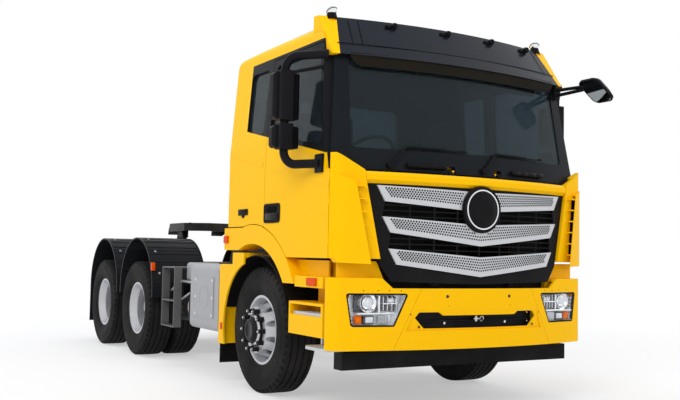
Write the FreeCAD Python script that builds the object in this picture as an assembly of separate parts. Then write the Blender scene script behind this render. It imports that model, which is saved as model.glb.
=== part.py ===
"""Heavy three-axle tractor unit: tilting cab over the front axle, twin-wheel tandem, fifth wheel.

All lengths are millimetres. +Z is up, the front looks along -Y and the truck's right side is -X.
Everything is worked out from the front axle, and each piece is then moved so that the origin
lies on the ground under the middle of the whole vehicle.
"""
import FreeCAD
import Part
import math
import os

# Whole vehicle
WHEELBASE = 3190.0
BOGIE_SPREAD = 1350.0
FRONT_REACH = 1720.0
TAIL_REACH = 5300.0
TYRE_RADIUS = 540.0
TYRE_WIDTH = 300.0
FRONT_TRACK_HALF = 1020.0
OUTER_TWIN_X = 1105.0
INNER_TWIN_X = 755.0
SEAT_GAP = 0.3
OVERCUT = 40.0

MID_AXLE_Y = WHEELBASE
REAR_AXLE_Y = WHEELBASE + BOGIE_SPREAD
BOGIE_Y = WHEELBASE + BOGIE_SPREAD / 2
AXLE_Z = TYRE_RADIUS
FRONT_AXLE_Y = -(TAIL_REACH - FRONT_REACH) / 2

# Cab body
CAB_HALF = 1245.0
CAB_REAR_Y = 520.0
CAB_FRONT_WALL_Y = -1400.0
SILL_Z = 1170.0
REAR_FLOOR_Z = 1430.0
ARCH_CUT_RADIUS = 908.0
ROOF_REAR_Z = 2955.0
ROOF_FRONT_Z = 3025.0
ROOF_PEAK_Y = -900.0
ROOF_CORNER_RADIUS = 90.0
HEADER_Y = -1240.0
HEADER_Z = 2800.0
WALL = 50.0
BELT_Z = 2080.0
ROOF_SIDE_X = 1172.0
ROOF_SIDE_Z = 2870.0
ROOF_EDGE_RADIUS = 100.0
ROOF_CROWN = 25.0
ROOF_JOIN_Z = 2828.0
REAR_JOIN_Y = 462.0
FRONT_JOIN_Y = -1060.0
SIDE_JOIN_X = 1115.0
ARCH_JOIN_Y = -690.0
TUNNEL_HALF = 440.0
PANEL_GAP = 7.0

CHAMFER_X = 1085.0
CREASE_FRONT_Z = 1687.0
CREASE_RISE_SHARE = 0.2127
CREASE_LEAN_SHARE = 0.03
CREASE_REACH = 1500.0

# Curved front, a large arc seen from above
FRONT_Y = -1567.0
PLAN_RADIUS = 4460.0
SWEEP_SHARE = 1.2
GLASS_LOW_Y = -1455.0
GLASS_LOW_Z = 2000.0
GLASS_TOP_Y = -1340.0
GLASS_TOP_Z = 2680.0
COWL_Z = 1832.0
COWL_Y = -1492.0
FRAME_WALL = 38.0
FRAME_TOP_Z = 2775.0
CORNER_RADIUS = 110.0
GLASS_WALL = 6.0

# Chassis
RAIL_OUTER_X = 430.0
RAIL_WIDTH = 80.0
RAIL_WALL = 10.0
RAIL_LOW_Z = 760.0
RAIL_TOP_Z = 1060.0
RAIL_FRONT_Y = -1330.0
CAB_PIVOT_Y = -1468.0
CAB_PIVOT_Z = 1000.0


def point(x, y, z):
    return FreeCAD.Vector(x, y, z)


def box(x0, x1, y0, y1, z0, z1):
    return Part.makeBox(x1 - x0, y1 - y0, z1 - z0, point(x0, y0, z0))


def rod(start, end, radius):
    run = end - start
    return Part.makeCylinder(radius, run.Length, start, run)


def tube(start, end, radius, bore):
    return rod(start, end, radius).cut(rod(start, end, bore))


def rounded_face(corners, radii):
    """A flat face through corners, each rounded by its own radius; a single radius serves all."""
    count = len(corners)
    if not isinstance(radii, (list, tuple)):
        radii = [radii] * count
    spans = []
    for index, corner in enumerate(corners):
        radius = radii[index]
        if radius == 0:
            spans.append((corner, None, corner))
            continue
        back = (corners[index - 1] - corner).normalize()
        ahead = (corners[(index + 1) % count] - corner).normalize()
        half = back.getAngle(ahead) / 2
        reach = radius / math.tan(half)
        middle = (back + ahead).normalize() * (radius / math.sin(half) - radius)
        spans.append((corner + back * reach, corner + middle, corner + ahead * reach))
    edges = []
    for index, (start, middle, end) in enumerate(spans):
        if middle is not None:
            edges.append(Part.Arc(start, middle, end).toShape())
        following = spans[(index + 1) % count][0]
        if (following - end).Length > 0:
            edges.append(Part.LineSegment(end, following).toShape())
    return Part.Face(Part.Wire(edges))


def side_prism(outline, x0, x1, radii=0):
    """Extrudes an outline of (y, z) points across the vehicle."""
    face = rounded_face([point(x0, y, z) for y, z in outline], radii)
    return face.extrude(point(x1 - x0, 0, 0))


def front_prism(outline, y0, y1, radii=0):
    """Extrudes an outline of (x, z) points along the vehicle."""
    face = rounded_face([point(x, y0, z) for x, z in outline], radii)
    return face.extrude(point(0, y1 - y0, 0))


def plan_prism(outline, z0, z1, radii=0):
    """Extrudes an outline of (x, y) points upwards."""
    face = rounded_face([point(x, y, z0) for x, y in outline], radii)
    return face.extrude(point(0, 0, z1 - z0))


def turned(outline, y, z, radii=0):
    """Turns an outline of (x, radius) points about the cross axis at (y, z)."""
    face = rounded_face([point(x, y, z + radius) for x, radius in outline], radii)
    return face.revolve(point(0, y, z), point(1, 0, 0), 360)


def mirrored(shape):
    return shape.mirror(point(0, 0, 0), point(1, 0, 0))


def pair(shape):
    return Part.makeCompound([shape, mirrored(shape)])


def both_sides(outline):
    """Closes a half outline, listed top to bottom at positive x, with its mirror image."""
    return list(outline) + [(-x, z) for x, z in reversed(outline)]


def fused(*shapes):
    return shapes[0].fuse(list(shapes[1:])).removeSplitter()


def cut(shape, *tools):
    return shape.cut(list(tools))


def swept(profile, half_x=CAB_HALF):
    """Turns a (y, z) profile, taken on the centre line, along the front's large plan arc."""
    centre = point(0, FRONT_Y + PLAN_RADIUS, 0)
    half_angle = math.degrees(math.asin(SWEEP_SHARE * half_x / PLAN_RADIUS))
    face = rounded_face([point(0, y, z) for y, z in profile], 0)
    face.rotate(centre, point(0, 0, 1), -half_angle)
    return face.revolve(centre, point(0, 0, 1), 2 * half_angle)


def plan_body(half_x, front_y, back_y, corner, z0, z1):
    """The front's plan outline, arc and rounded corners, as an upright block."""
    drop = half_x * half_x / (2 * PLAN_RADIUS)
    arc = Part.Arc(point(-half_x, front_y + drop, z0), point(0, front_y, z0),
                   point(half_x, front_y + drop, z0)).toShape()
    sides = Part.makePolygon([point(half_x, front_y + drop, z0), point(half_x, back_y, z0),
                              point(-half_x, back_y, z0), point(-half_x, front_y + drop, z0)])
    block = Part.Face(Part.Wire([arc] + sides.Edges)).extrude(point(0, 0, z1 - z0))
    if corner == 0:
        return block
    upright = [edge for edge in block.Edges
               if abs(edge.BoundBox.ZLength - (z1 - z0)) < SEAT_GAP
               and edge.BoundBox.YMax < front_y + drop + SEAT_GAP]
    return block.makeFillet(corner, upright)


def export(name, shape):
    placed = shape.translated(point(0, FRONT_AXLE_Y, 0))
    placed.exportStep("parts/" + name + ".step")


# Cab body: one hollow form that the shell, doors and glass are all cut from

DOOR_FRONT_Y = -1333.0
DOOR_REAR_Y = -215.0
DOOR_TOP_FRONT_Y = -1125.0
DOOR_TOP_Z = 2838.0
DOOR_SHOULDER_Z = 1950.0
DOOR_REAR_TOP_Y = -243.0
WINDOW_FRAME = 62.0
WINDOW_SILL_FRONT_Z = 2010.0
WINDOW_SILL_REAR_Z = 2205.0
WINDOW_RADIUS = 60.0
QUARTER_REAR_Y = 190.0
QUARTER_SILL_REAR_Z = 2262.0
QUARTER_TOP_Z = 2835.0
REAR_WINDOW_HALF = 560.0
REAR_WINDOW_LOW_Z = 2150.0
REAR_WINDOW_TOP_Z = 2650.0
SCREEN_LOW_HALF = 1062.0
SCREEN_LOW_Z = 2005.0
SCREEN_TOP_HALF = 1030.0
SCREEN_TOP_Z = 2690.0
SCREEN_RADIUS = 45.0
HANDLE_PULL_REAR_Y = -300.0
HANDLE_PULL_FRONT_Y = -455.0
HANDLE_PULL_LOW_Z = 1448.0
HANDLE_PULL_TOP_Z = 1611.0
HANDLE_PULL_DEPTH = 26.0
HANDLE_PULL_RADIUS = 22.0
PADDLE_SET_BACK = 4.0
PADDLE_WALL = 8.0
DOOR_HINGES_Z = (1260.0, 1560.0)
BARREL_RADIUS = 8.0
BARREL_LENGTH = 42.0
BARREL_GAP = 2.0
BARREL_ROOM = 5.0
FRAME_LOW_HALF = 1215.0
FRAME_BELT_HALF = 1205.0
FRAME_TOP_HALF = 1125.0
HANDLE_SPANS = ((-640.0, -300.0), (367.0, 741.0))
HANDLE_Y = -1481.0
HANDLE_Z = 1888.0
HANDLE_STAND = 28.0
HANDLE_RADIUS = 9.0
HANDLE_FOOT_SHARE = 0.08


def plan_drop(x):
    """How far the curved front falls back at a distance x from the centre line."""
    return x * x / (2 * PLAN_RADIUS)


def lean_y(z):
    """Where the windscreen's leaning surface stands at a height z on the centre line."""
    rise = GLASS_TOP_Z - GLASS_LOW_Z
    return GLASS_LOW_Y + (GLASS_TOP_Y - GLASS_LOW_Y) * (z - GLASS_LOW_Z) / rise


def cab_section(inset):
    """The cab's cross section, drawn in by inset and run from front to back."""
    half = both_sides([(ROOF_SIDE_X - 2 * ROOF_EDGE_RADIUS, ROOF_FRONT_Z + ROOF_CROWN - inset),
                       (ROOF_SIDE_X - inset, ROOF_SIDE_Z + ROOF_EDGE_RADIUS - inset),
                       (CAB_HALF - inset, BELT_Z),
                       (CAB_HALF - inset, SILL_Z - OVERCUT)])
    edge = ROOF_EDGE_RADIUS - min(inset, WALL)
    return front_prism(half, CAB_FRONT_WALL_Y - OVERCUT, CAB_REAR_Y + OVERCUT,
                       [0, edge, 0, 0, 0, 0, edge, 0])


def cab_form(inset):
    """The closed cab body, drawn in from its outer skin by inset."""
    lean_top = (HEADER_Y + inset, HEADER_Z - inset)
    outline = [(CAB_FRONT_WALL_Y + inset, SILL_Z + inset),
               (CAB_FRONT_WALL_Y + inset, COWL_Z),
               (GLASS_LOW_Y + FRAME_WALL + SEAT_GAP + inset, GLASS_LOW_Z),
               (GLASS_TOP_Y + FRAME_WALL + SEAT_GAP + inset, GLASS_TOP_Z),
               lean_top,
               (ROOF_PEAK_Y, ROOF_FRONT_Z - inset),
               (CAB_REAR_Y - inset, ROOF_REAR_Z - inset),
               (CAB_REAR_Y - inset, SILL_Z + inset)]
    rear_corner = ROOF_CORNER_RADIUS - min(inset, WALL)
    body = side_prism(outline, -CAB_HALF, CAB_HALF, [0, 0, 0, 0, 0, 0, rear_corner, 0])
    section = cab_section(inset)
    ahead = swept([(COWL_Y + FRAME_WALL + SEAT_GAP + inset, COWL_Z),
                   (GLASS_LOW_Y + FRAME_WALL + SEAT_GAP + inset, GLASS_LOW_Z),
                   (lean_y(FRAME_TOP_Z) + FRAME_WALL + SEAT_GAP + inset, FRAME_TOP_Z),
                   (HEADER_Y + inset, ROOF_FRONT_Z + OVERCUT),
                   (FRONT_Y - OVERCUT, ROOF_FRONT_Z + OVERCUT), (FRONT_Y - OVERCUT, COWL_Z)])
    step_y = DOOR_FRONT_Y + inset
    nose = [(CAB_HALF - inset, CAB_REAR_Y), (CAB_HALF - inset, step_y), (CHAMFER_X + WALL, step_y),
            (CHAMFER_X - inset / 2, CAB_FRONT_WALL_Y - OVERCUT)]
    chamfer = plan_prism(both_sides(nose), SILL_Z - OVERCUT, ROOF_FRONT_Z + OVERCUT)
    body = body.common(section).common(chamfer).cut(ahead)
    arch = rod(point(-CAB_HALF, 0, AXLE_Z), point(CAB_HALF, 0, AXLE_Z), ARCH_CUT_RADIUS + inset)
    rear = box(-CAB_HALF, CAB_HALF, 0, CAB_REAR_Y, SILL_Z, REAR_FLOOR_Z + inset)
    tunnel = box(-TUNNEL_HALF - inset, TUNNEL_HALF + inset, CAB_FRONT_WALL_Y - OVERCUT, CAB_REAR_Y,
                 SILL_Z - OVERCUT, REAR_FLOOR_Z + inset)
    return cut(body, arch, rear, tunnel)


def door_outline(gap):
    """Door edge seen from the side; gap draws it in all round."""
    return [(DOOR_FRONT_Y + gap, SILL_Z - OVERCUT),
            (DOOR_FRONT_Y + gap, DOOR_SHOULDER_Z),
            (DOOR_TOP_FRONT_Y + gap, DOOR_TOP_Z - gap),
            (DOOR_REAR_TOP_Y - gap, DOOR_TOP_Z - gap),
            (DOOR_REAR_Y - gap, SILL_Z - OVERCUT)]


def window_outline(fit):
    """Door glass seen from the side."""
    return [(DOOR_FRONT_Y + 2 * WINDOW_FRAME + fit, WINDOW_SILL_FRONT_Z + fit),
            (DOOR_TOP_FRONT_Y + WINDOW_FRAME + fit, DOOR_TOP_Z - WINDOW_FRAME - fit),
            (DOOR_REAR_TOP_Y - WINDOW_FRAME - fit, DOOR_TOP_Z - WINDOW_FRAME - fit),
            (DOOR_REAR_Y - WINDOW_FRAME - fit, WINDOW_SILL_REAR_Z + fit)]


def quarter_outline(fit):
    return [(DOOR_REAR_Y + WINDOW_FRAME + fit, WINDOW_SILL_REAR_Z + fit),
            (DOOR_REAR_TOP_Y + WINDOW_FRAME + fit, QUARTER_TOP_Z - WINDOW_FRAME - fit),
            (QUARTER_REAR_Y - fit, QUARTER_TOP_Z - WINDOW_FRAME - fit),
            (QUARTER_REAR_Y - fit, QUARTER_SILL_REAR_Z + fit)]


def right_prism(outline, radii=0):
    """An outline run through the right side wall and no further."""
    layer = cab_section(0).cut(cab_section(WALL))
    return layer.common(side_prism(outline, -CAB_HALF - OVERCUT, -ROOF_SIDE_X / 2, radii))


def screen_outline(fit):
    """Windscreen glass seen from the front, half of it."""
    return both_sides([(SCREEN_TOP_HALF - fit, SCREEN_TOP_Z - fit),
                       (SCREEN_LOW_HALF - fit, SCREEN_LOW_Z + fit)])


def crease_wedge(front_y, front_z, run):
    """What the left side loses above a crease that rises to the rear from the given point."""
    face = rounded_face([point(CAB_HALF, front_y, front_z),
                         point(CAB_HALF + OVERCUT, front_y, front_z),
                         point(CAB_HALF + OVERCUT, front_y, front_z + CREASE_REACH),
                         point(CAB_HALF - CREASE_LEAN_SHARE * CREASE_REACH, front_y,
                               front_z + CREASE_REACH)], 0)
    return face.extrude(point(0, run, run * CREASE_RISE_SHARE))


def cab_wall():
    wall = cab_form(0).cut(cab_form(WALL))
    wedge = crease_wedge(DOOR_FRONT_Y, CREASE_FRONT_Z, CAB_REAR_Y + OVERCUT - DOOR_FRONT_Y)
    return cut(wall, wedge, mirrored(wedge))


def cab_shell(wall):
    right_door = right_prism(door_outline(0))
    quarter = right_prism(quarter_outline(0), WINDOW_RADIUS)
    screen = front_prism(screen_outline(-WALL), FRONT_Y, ROOF_PEAK_Y, SCREEN_RADIUS)
    rear_window = front_prism(both_sides([(REAR_WINDOW_HALF, REAR_WINDOW_TOP_Z),
                                          (REAR_WINDOW_HALF, REAR_WINDOW_LOW_Z)]),
                              CAB_REAR_Y - 2 * WALL, CAB_REAR_Y + OVERCUT, WINDOW_RADIUS)
    openings = [right_door, mirrored(right_door), quarter, mirrored(quarter), screen, rear_window]
    return cut(wall, *openings)


def cab_panels(shell):
    """The shell parted where its pressings meet: roof, back, front, sides, tunnel and floors."""
    reach = CAB_HALF + OVERCUT
    front_y = FRONT_Y - OVERCUT
    rear_y = CAB_REAR_Y + OVERCUT
    top = ROOF_FRONT_Z + OVERCUT
    low = RAIL_LOW_Z
    floor_top = AXLE_Z + ARCH_CUT_RADIUS + WALL + PANEL_GAP
    tunnel_x = TUNNEL_HALF + WALL + PANEL_GAP
    rooms = [box(-reach, reach, front_y, rear_y, ROOF_JOIN_Z, top),
             box(-reach, reach, REAR_JOIN_Y, rear_y, low, ROOF_JOIN_Z),
             box(-reach, reach, front_y, FRONT_JOIN_Y, low, ROOF_JOIN_Z),
             box(-tunnel_x, tunnel_x, FRONT_JOIN_Y, REAR_JOIN_Y, low, floor_top),
             box(tunnel_x, reach, FRONT_JOIN_Y, ARCH_JOIN_Y, low, floor_top),
             box(tunnel_x, reach, ARCH_JOIN_Y, REAR_JOIN_Y, low, floor_top),
             box(SIDE_JOIN_X, reach, FRONT_JOIN_Y, REAR_JOIN_Y, floor_top, ROOF_JOIN_Z)]
    rooms += [mirrored(room) for room in rooms[4:]]
    solids = [solid for room in rooms for solid in shell.common(room).Solids]
    return Part.makeCompound(solids)


def hinge_barrels(start, end, radius):
    """Round barrels on the right door's axis, one at each hinge, from start to end above its foot."""
    return [rod(point(-CAB_HALF, DOOR_FRONT_Y, foot + start), point(-CAB_HALF, DOOR_FRONT_Y, foot + end),
                radius) for foot in DOOR_HINGES_Z]


def door(wall):
    """Right door: the wall inside its outline, with the window and the pull's recess cut."""
    panel = wall.common(right_prism(door_outline(PANEL_GAP)))
    recess = side_prism([(HANDLE_PULL_FRONT_Y, HANDLE_PULL_TOP_Z),
                         (HANDLE_PULL_REAR_Y, HANDLE_PULL_TOP_Z),
                         (HANDLE_PULL_REAR_Y, HANDLE_PULL_LOW_Z),
                         (HANDLE_PULL_FRONT_Y, HANDLE_PULL_LOW_Z)],
                        -CAB_HALF - OVERCUT, -CAB_HALF + HANDLE_PULL_DEPTH, HANDLE_PULL_RADIUS)
    middle_z = (HANDLE_PULL_LOW_Z + HANDLE_PULL_TOP_Z) / 2
    paddle = box(-CAB_HALF + PADDLE_SET_BACK, -CAB_HALF + PADDLE_SET_BACK + PADDLE_WALL,
                 HANDLE_PULL_FRONT_Y - PADDLE_WALL, HANDLE_PULL_REAR_Y + PADDLE_WALL,
                 middle_z - HANDLE_PULL_RADIUS, middle_z + HANDLE_PULL_RADIUS)
    leaves = [box(-CAB_HALF, -CAB_HALF + BARREL_RADIUS, DOOR_FRONT_Y, DOOR_FRONT_Y + 2 * PANEL_GAP,
                  foot, foot + BARREL_LENGTH) for foot in DOOR_HINGES_Z]
    room = hinge_barrels(BARREL_LENGTH, 2 * BARREL_LENGTH + 2 * BARREL_GAP,
                         BARREL_RADIUS + BARREL_ROOM)
    panel = cut(panel, right_prism(window_outline(0), WINDOW_RADIUS), recess, *room)
    return fused(panel, paddle, *leaves, *hinge_barrels(0, BARREL_LENGTH, BARREL_RADIUS))


def side_glass(outline):
    layer = cab_form((WALL - GLASS_WALL) / 2).cut(cab_form((WALL + GLASS_WALL) / 2))
    return layer.common(right_prism(outline, WINDOW_RADIUS - SEAT_GAP))


def screen_skin(start, wall):
    """A layer of the leaning windscreen surface, start behind its outer face."""
    low = COWL_Z + SEAT_GAP
    low_y = COWL_Y + start
    top = FRAME_TOP_Z
    top_y = lean_y(top) + start
    return swept([(low_y, low), (GLASS_LOW_Y + start, GLASS_LOW_Z), (top_y, top),
                  (top_y + wall, top), (GLASS_LOW_Y + start + wall, GLASS_LOW_Z),
                  (low_y + wall, low)])


def windscreen_frame():
    """Dark pillars, header and cowl round the windscreen, as one pressing."""
    outline = both_sides([(FRAME_TOP_HALF, FRAME_TOP_Z), (FRAME_BELT_HALF, GLASS_LOW_Z),
                          (FRAME_LOW_HALF, COWL_Z + PANEL_GAP)])
    panel = screen_skin(0, FRAME_WALL).common(front_prism(outline, FRONT_Y, 0))
    hole = front_prism(screen_outline(0), FRONT_Y, 0, SCREEN_RADIUS)
    notch = hinge_notch()
    frame = cut(panel, hole, notch, mirrored(notch))
    return fused(frame, *[grab_handle(start, end) for start, end in HANDLE_SPANS])


def grab_handle(start_x, end_x):
    """Round bar across the cowl on two short feet."""
    def place(x, stand):
        return point(x, HANDLE_Y + plan_drop(x) - stand, HANDLE_Z)
    inner_x = start_x + HANDLE_FOOT_SHARE * (end_x - start_x)
    outer_x = end_x - HANDLE_FOOT_SHARE * (end_x - start_x)
    bar = rod(place(start_x, HANDLE_STAND), place(end_x, HANDLE_STAND), HANDLE_RADIUS)
    feet = [rod(place(x, HANDLE_STAND), place(x, -FRAME_WALL / 2), HANDLE_RADIUS)
            for x in (inner_x, outer_x)]
    return fused(bar, *feet)


def windscreen():
    layer = screen_skin(FRAME_WALL / 4, GLASS_WALL)
    return layer.common(front_prism(screen_outline(SEAT_GAP), FRONT_Y, 0,
                                    SCREEN_RADIUS - SEAT_GAP))


def cab_glass():
    quarter = side_glass(quarter_outline(SEAT_GAP))
    pane = front_prism(both_sides([(REAR_WINDOW_HALF - SEAT_GAP, REAR_WINDOW_TOP_Z - SEAT_GAP),
                                   (REAR_WINDOW_HALF - SEAT_GAP, REAR_WINDOW_LOW_Z + SEAT_GAP)]),
                       CAB_REAR_Y - WALL / 2 - GLASS_WALL, CAB_REAR_Y - WALL / 2,
                       WINDOW_RADIUS - SEAT_GAP)
    return Part.makeCompound([windscreen(), quarter, mirrored(quarter), pane])


# Roof visor, its corner pieces and marker lamps

VISOR_LOW_Y = -1385.0
VISOR_LOW_Z = 2725.0
VISOR_KNEE_Y = -1318.0
VISOR_KNEE_Z = 2820.0
VISOR_TOP_Y = -1150.0
VISOR_TOP_Z = 3066.0
VISOR_BACK_Y = -1000.0
VISOR_BACK_Z = 3076.0
VISOR_HALF = 1118.0
VISOR_TOP_HALF = 1020.0
VISOR_LIP = 30.0
VISOR_SEAT = 2.0
CHEEK_BACK_Y = -905.0
CHEEK_WALL = 60.0
BEACON_X = 1059.0
BEACON_RADIUS = 34.0
BEACON_HEIGHT = 62.0
BEACON_BASE_HEIGHT = 26.0
DOME_SHARE = 0.8


def visor_block(inset):
    """Solid form between the visor's outer face and the roof and header behind it."""
    return swept([(VISOR_LOW_Y + inset, VISOR_LOW_Z), (VISOR_KNEE_Y + inset, VISOR_KNEE_Z - inset),
                  (VISOR_TOP_Y + inset, VISOR_TOP_Z - inset),
                  (CHEEK_BACK_Y + inset, VISOR_BACK_Z - inset),
                  (CHEEK_BACK_Y + inset, VISOR_LOW_Z)])


def roof_visor():
    outline = both_sides([(VISOR_TOP_HALF, VISOR_BACK_Z + OVERCUT), (VISOR_HALF, VISOR_LOW_Z)])
    block = visor_block(0).common(front_prism(outline, FRONT_Y, CHEEK_BACK_Y - CHEEK_WALL))
    lip = swept([(VISOR_LOW_Y + VISOR_LIP, VISOR_LOW_Z - OVERCUT),
                 (VISOR_KNEE_Y + VISOR_LIP, VISOR_KNEE_Z - VISOR_LIP),
                 (VISOR_KNEE_Y + 2 * VISOR_LIP, VISOR_LOW_Z - OVERCUT)])
    return block.cut([cab_form(-VISOR_SEAT), lip, frame_clearance()])


def frame_clearance():
    outline = both_sides([(FRAME_TOP_HALF + VISOR_SEAT, FRAME_TOP_Z + VISOR_SEAT),
                          (FRAME_BELT_HALF, GLASS_LOW_Z)])
    return screen_skin(-VISOR_SEAT, FRAME_WALL + VISOR_LIP).common(
        front_prism(outline, FRONT_Y, 0))


def roof_corners():
    """Painted cheeks at both ends of the visor, each with a marker lamp on a short base."""
    outline = [(VISOR_TOP_HALF + SEAT_GAP, VISOR_BACK_Z + OVERCUT),
               (ROOF_SIDE_X + SEAT_GAP, VISOR_BACK_Z + OVERCUT),
               (ROOF_SIDE_X + SEAT_GAP, VISOR_LOW_Z),
               (VISOR_HALF + SEAT_GAP, VISOR_LOW_Z)]
    cheek = visor_block(-VISOR_SEAT).common(front_prism(outline, FRONT_Y, CHEEK_BACK_Y))
    cheek = cheek.cut([cab_form(-VISOR_SEAT), frame_clearance()])
    cheek = max(cheek.Solids, key=lambda solid: solid.Volume)
    base = point(BEACON_X, VISOR_TOP_Y + plan_drop(BEACON_X) + BEACON_RADIUS,
                 VISOR_TOP_Z - BEACON_BASE_HEIGHT)
    foot = Part.makeCone(1.5 * BEACON_RADIUS, BEACON_RADIUS, 2 * BEACON_BASE_HEIGHT, base)
    neck = base + point(0, 0, 2 * BEACON_BASE_HEIGHT)
    dome = Part.makeCylinder(BEACON_RADIUS, BEACON_HEIGHT, neck)
    dome = dome.makeFillet(BEACON_RADIUS * DOME_SHARE, [dome.Edges[0]])
    visor = visor_block(-SEAT_GAP).common(front_prism(
        both_sides([(VISOR_TOP_HALF + SEAT_GAP, VISOR_BACK_Z + OVERCUT),
                    (VISOR_HALF + SEAT_GAP, VISOR_LOW_Z)]), FRONT_Y, CHEEK_BACK_Y))
    return pair(fused(cheek, foot.cut(visor), dome))


# Front corners of the cab and the flap between them

CORNER_LOW_Z = 1172.0
CORNER_SIDE_TOP_Z = 1950.0
FLAP_TOP_Z = 1822.0
FLAP_TOP_HALF = 1002.0
SURROUND_TOP_Z = 1733.0
SURROUND_TOP_HALF = 987.0
SURROUND_KNEE_Z = 1131.0
SURROUND_KNEE_HALF = 867.0
SURROUND_LOW_Z = 1004.0
SURROUND_LOW_HALF = 778.0
SURROUND_TIP_Z = 985.0
FLAP_WALL = 22.0
SURROUND_WALL = 16.0
SURROUND_INSET = 26.0
BAR_WALL = 14.0
CORNER_SKIN_GAP = 0.5
HINGE_Y = -1460.0
HINGE_Z = 1860.0
HINGE_X = 225.0
HINGE_ARM_WIDTH = 40.0
HINGE_BRACKET_WIDTH = 16.0
HINGE_ARM_GAP = 7.0
HINGE_EYE = 12.0
HINGE_PIN = 6.0
HINGE_ROOM = 6.0
LOUVRE_LOW_Z = 1262.0
LOUVRE_TOP_Z = 1757.0
LOUVRE_INNER_X = 1170.0
LOUVRE_OUTER_X = 1222.0
LOUVRE_DEPTH = 16.0
LOUVRE_RIB = 14.0
LOUVRE_TAPER = 40.0
LOUVRE_COUNT = 5
BAR_TOPS_Z = (1720.0, 1488.0, 1250.0)
BAR_HALVES = (906.0, 861.0, 809.0)
BAR_TIPS_Z = (1548.0, 1283.0, 1044.0)
BAR_MIDS_Z = (1704.0, 1446.0, 1196.0)
BAR_DEPTH = 118.0
BAR_END_RUN = 64.0
BAR_LAP = 6.0
SLAT_WALL = 9.0
SLAT_PITCH = 42.0
RIB_WALL = 12.0
RIB_PITCH = 210.0
SLAT_SET = 4.0
RIB_SIDE_COUNT = 3
BADGE_Z = 1564.0
BADGE_RADIUS = 160.0
BADGE_STAND = 8.0


def corner_panels():
    """Painted corners from the flap round to the doors."""
    skin = plan_body(CAB_HALF, FRONT_Y, 0, CORNER_RADIUS, CORNER_LOW_Z, CORNER_SIDE_TOP_Z)
    skin = skin.common(box(-CAB_HALF, CAB_HALF, FRONT_Y, DOOR_FRONT_Y - PANEL_GAP / 2,
                           CORNER_LOW_Z, CORNER_SIDE_TOP_Z))
    step_y = DOOR_FRONT_Y - CORNER_SKIN_GAP
    front = CAB_FRONT_WALL_Y - OVERCUT
    body = plan_prism(both_sides([(CAB_HALF, DOOR_FRONT_Y + WALL), (CAB_HALF, step_y),
                                  (CHAMFER_X + WALL + CORNER_SKIN_GAP, step_y),
                                  (CHAMFER_X + CORNER_SKIN_GAP, front)]),
                      CORNER_LOW_Z - OVERCUT, CORNER_SIDE_TOP_Z + OVERCUT)
    body = body.cut(box(-CAB_HALF, CAB_HALF, front - OVERCUT, CAB_FRONT_WALL_Y - CORNER_SKIN_GAP,
                        CORNER_LOW_Z - OVERCUT, CORNER_SIDE_TOP_Z + OVERCUT))
    edge = [(CAB_HALF + OVERCUT, CORNER_SIDE_TOP_Z + OVERCUT),
            (FLAP_TOP_HALF + PANEL_GAP, FLAP_TOP_Z + PANEL_GAP),
            (SURROUND_TOP_HALF + PANEL_GAP, SURROUND_TOP_Z),
            (SURROUND_KNEE_HALF + PANEL_GAP, CORNER_LOW_Z - OVERCUT),
            (CAB_HALF + OVERCUT, CORNER_LOW_Z - OVERCUT)]
    right = skin.cut([body]).common(front_prism(edge, FRONT_Y - OVERCUT, 0))
    right = right.cut([screen_skin(-CORNER_SKIN_GAP, 2 * WALL), *corner_louvre()])
    room = [mirrored(barrel) for barrel in hinge_barrels(-BARREL_GAP, BARREL_LENGTH + BARREL_GAP,
                                                         BARREL_RADIUS + BARREL_ROOM)]
    barrels = [mirrored(barrel) for barrel in hinge_barrels(
        BARREL_LENGTH + BARREL_GAP, 2 * BARREL_LENGTH + BARREL_GAP, BARREL_RADIUS)]
    right = max(right.cut(room).Solids, key=lambda solid: solid.Volume)
    return pair(fused(right, *barrels))


def corner_louvre():
    """The row of air cells let into the outer edge of a corner panel."""
    floor = plan_body(CAB_HALF - LOUVRE_DEPTH, FRONT_Y + LOUVRE_DEPTH, 0,
                      CORNER_RADIUS - LOUVRE_DEPTH, LOUVRE_LOW_Z - OVERCUT,
                      LOUVRE_TOP_Z + OVERCUT)
    pitch = (LOUVRE_TOP_Z - LOUVRE_LOW_Z) / LOUVRE_COUNT
    cells = []
    for index in range(LOUVRE_COUNT):
        low = LOUVRE_LOW_Z + index * pitch
        lean = LOUVRE_TAPER if index == 0 else 0
        cell = front_prism([(LOUVRE_INNER_X, low + lean), (LOUVRE_OUTER_X, low),
                            (LOUVRE_OUTER_X, low + pitch - LOUVRE_RIB),
                            (LOUVRE_INNER_X, low + pitch - LOUVRE_RIB)],
                           FRONT_Y, DOOR_FRONT_Y - LOUVRE_RIB)
        cells.append(cell.cut(floor))
    return cells


def flap_piece(profile, outline):
    return swept(profile).common(front_prism(outline, FRONT_Y - 2 * WALL, 0))


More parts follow.
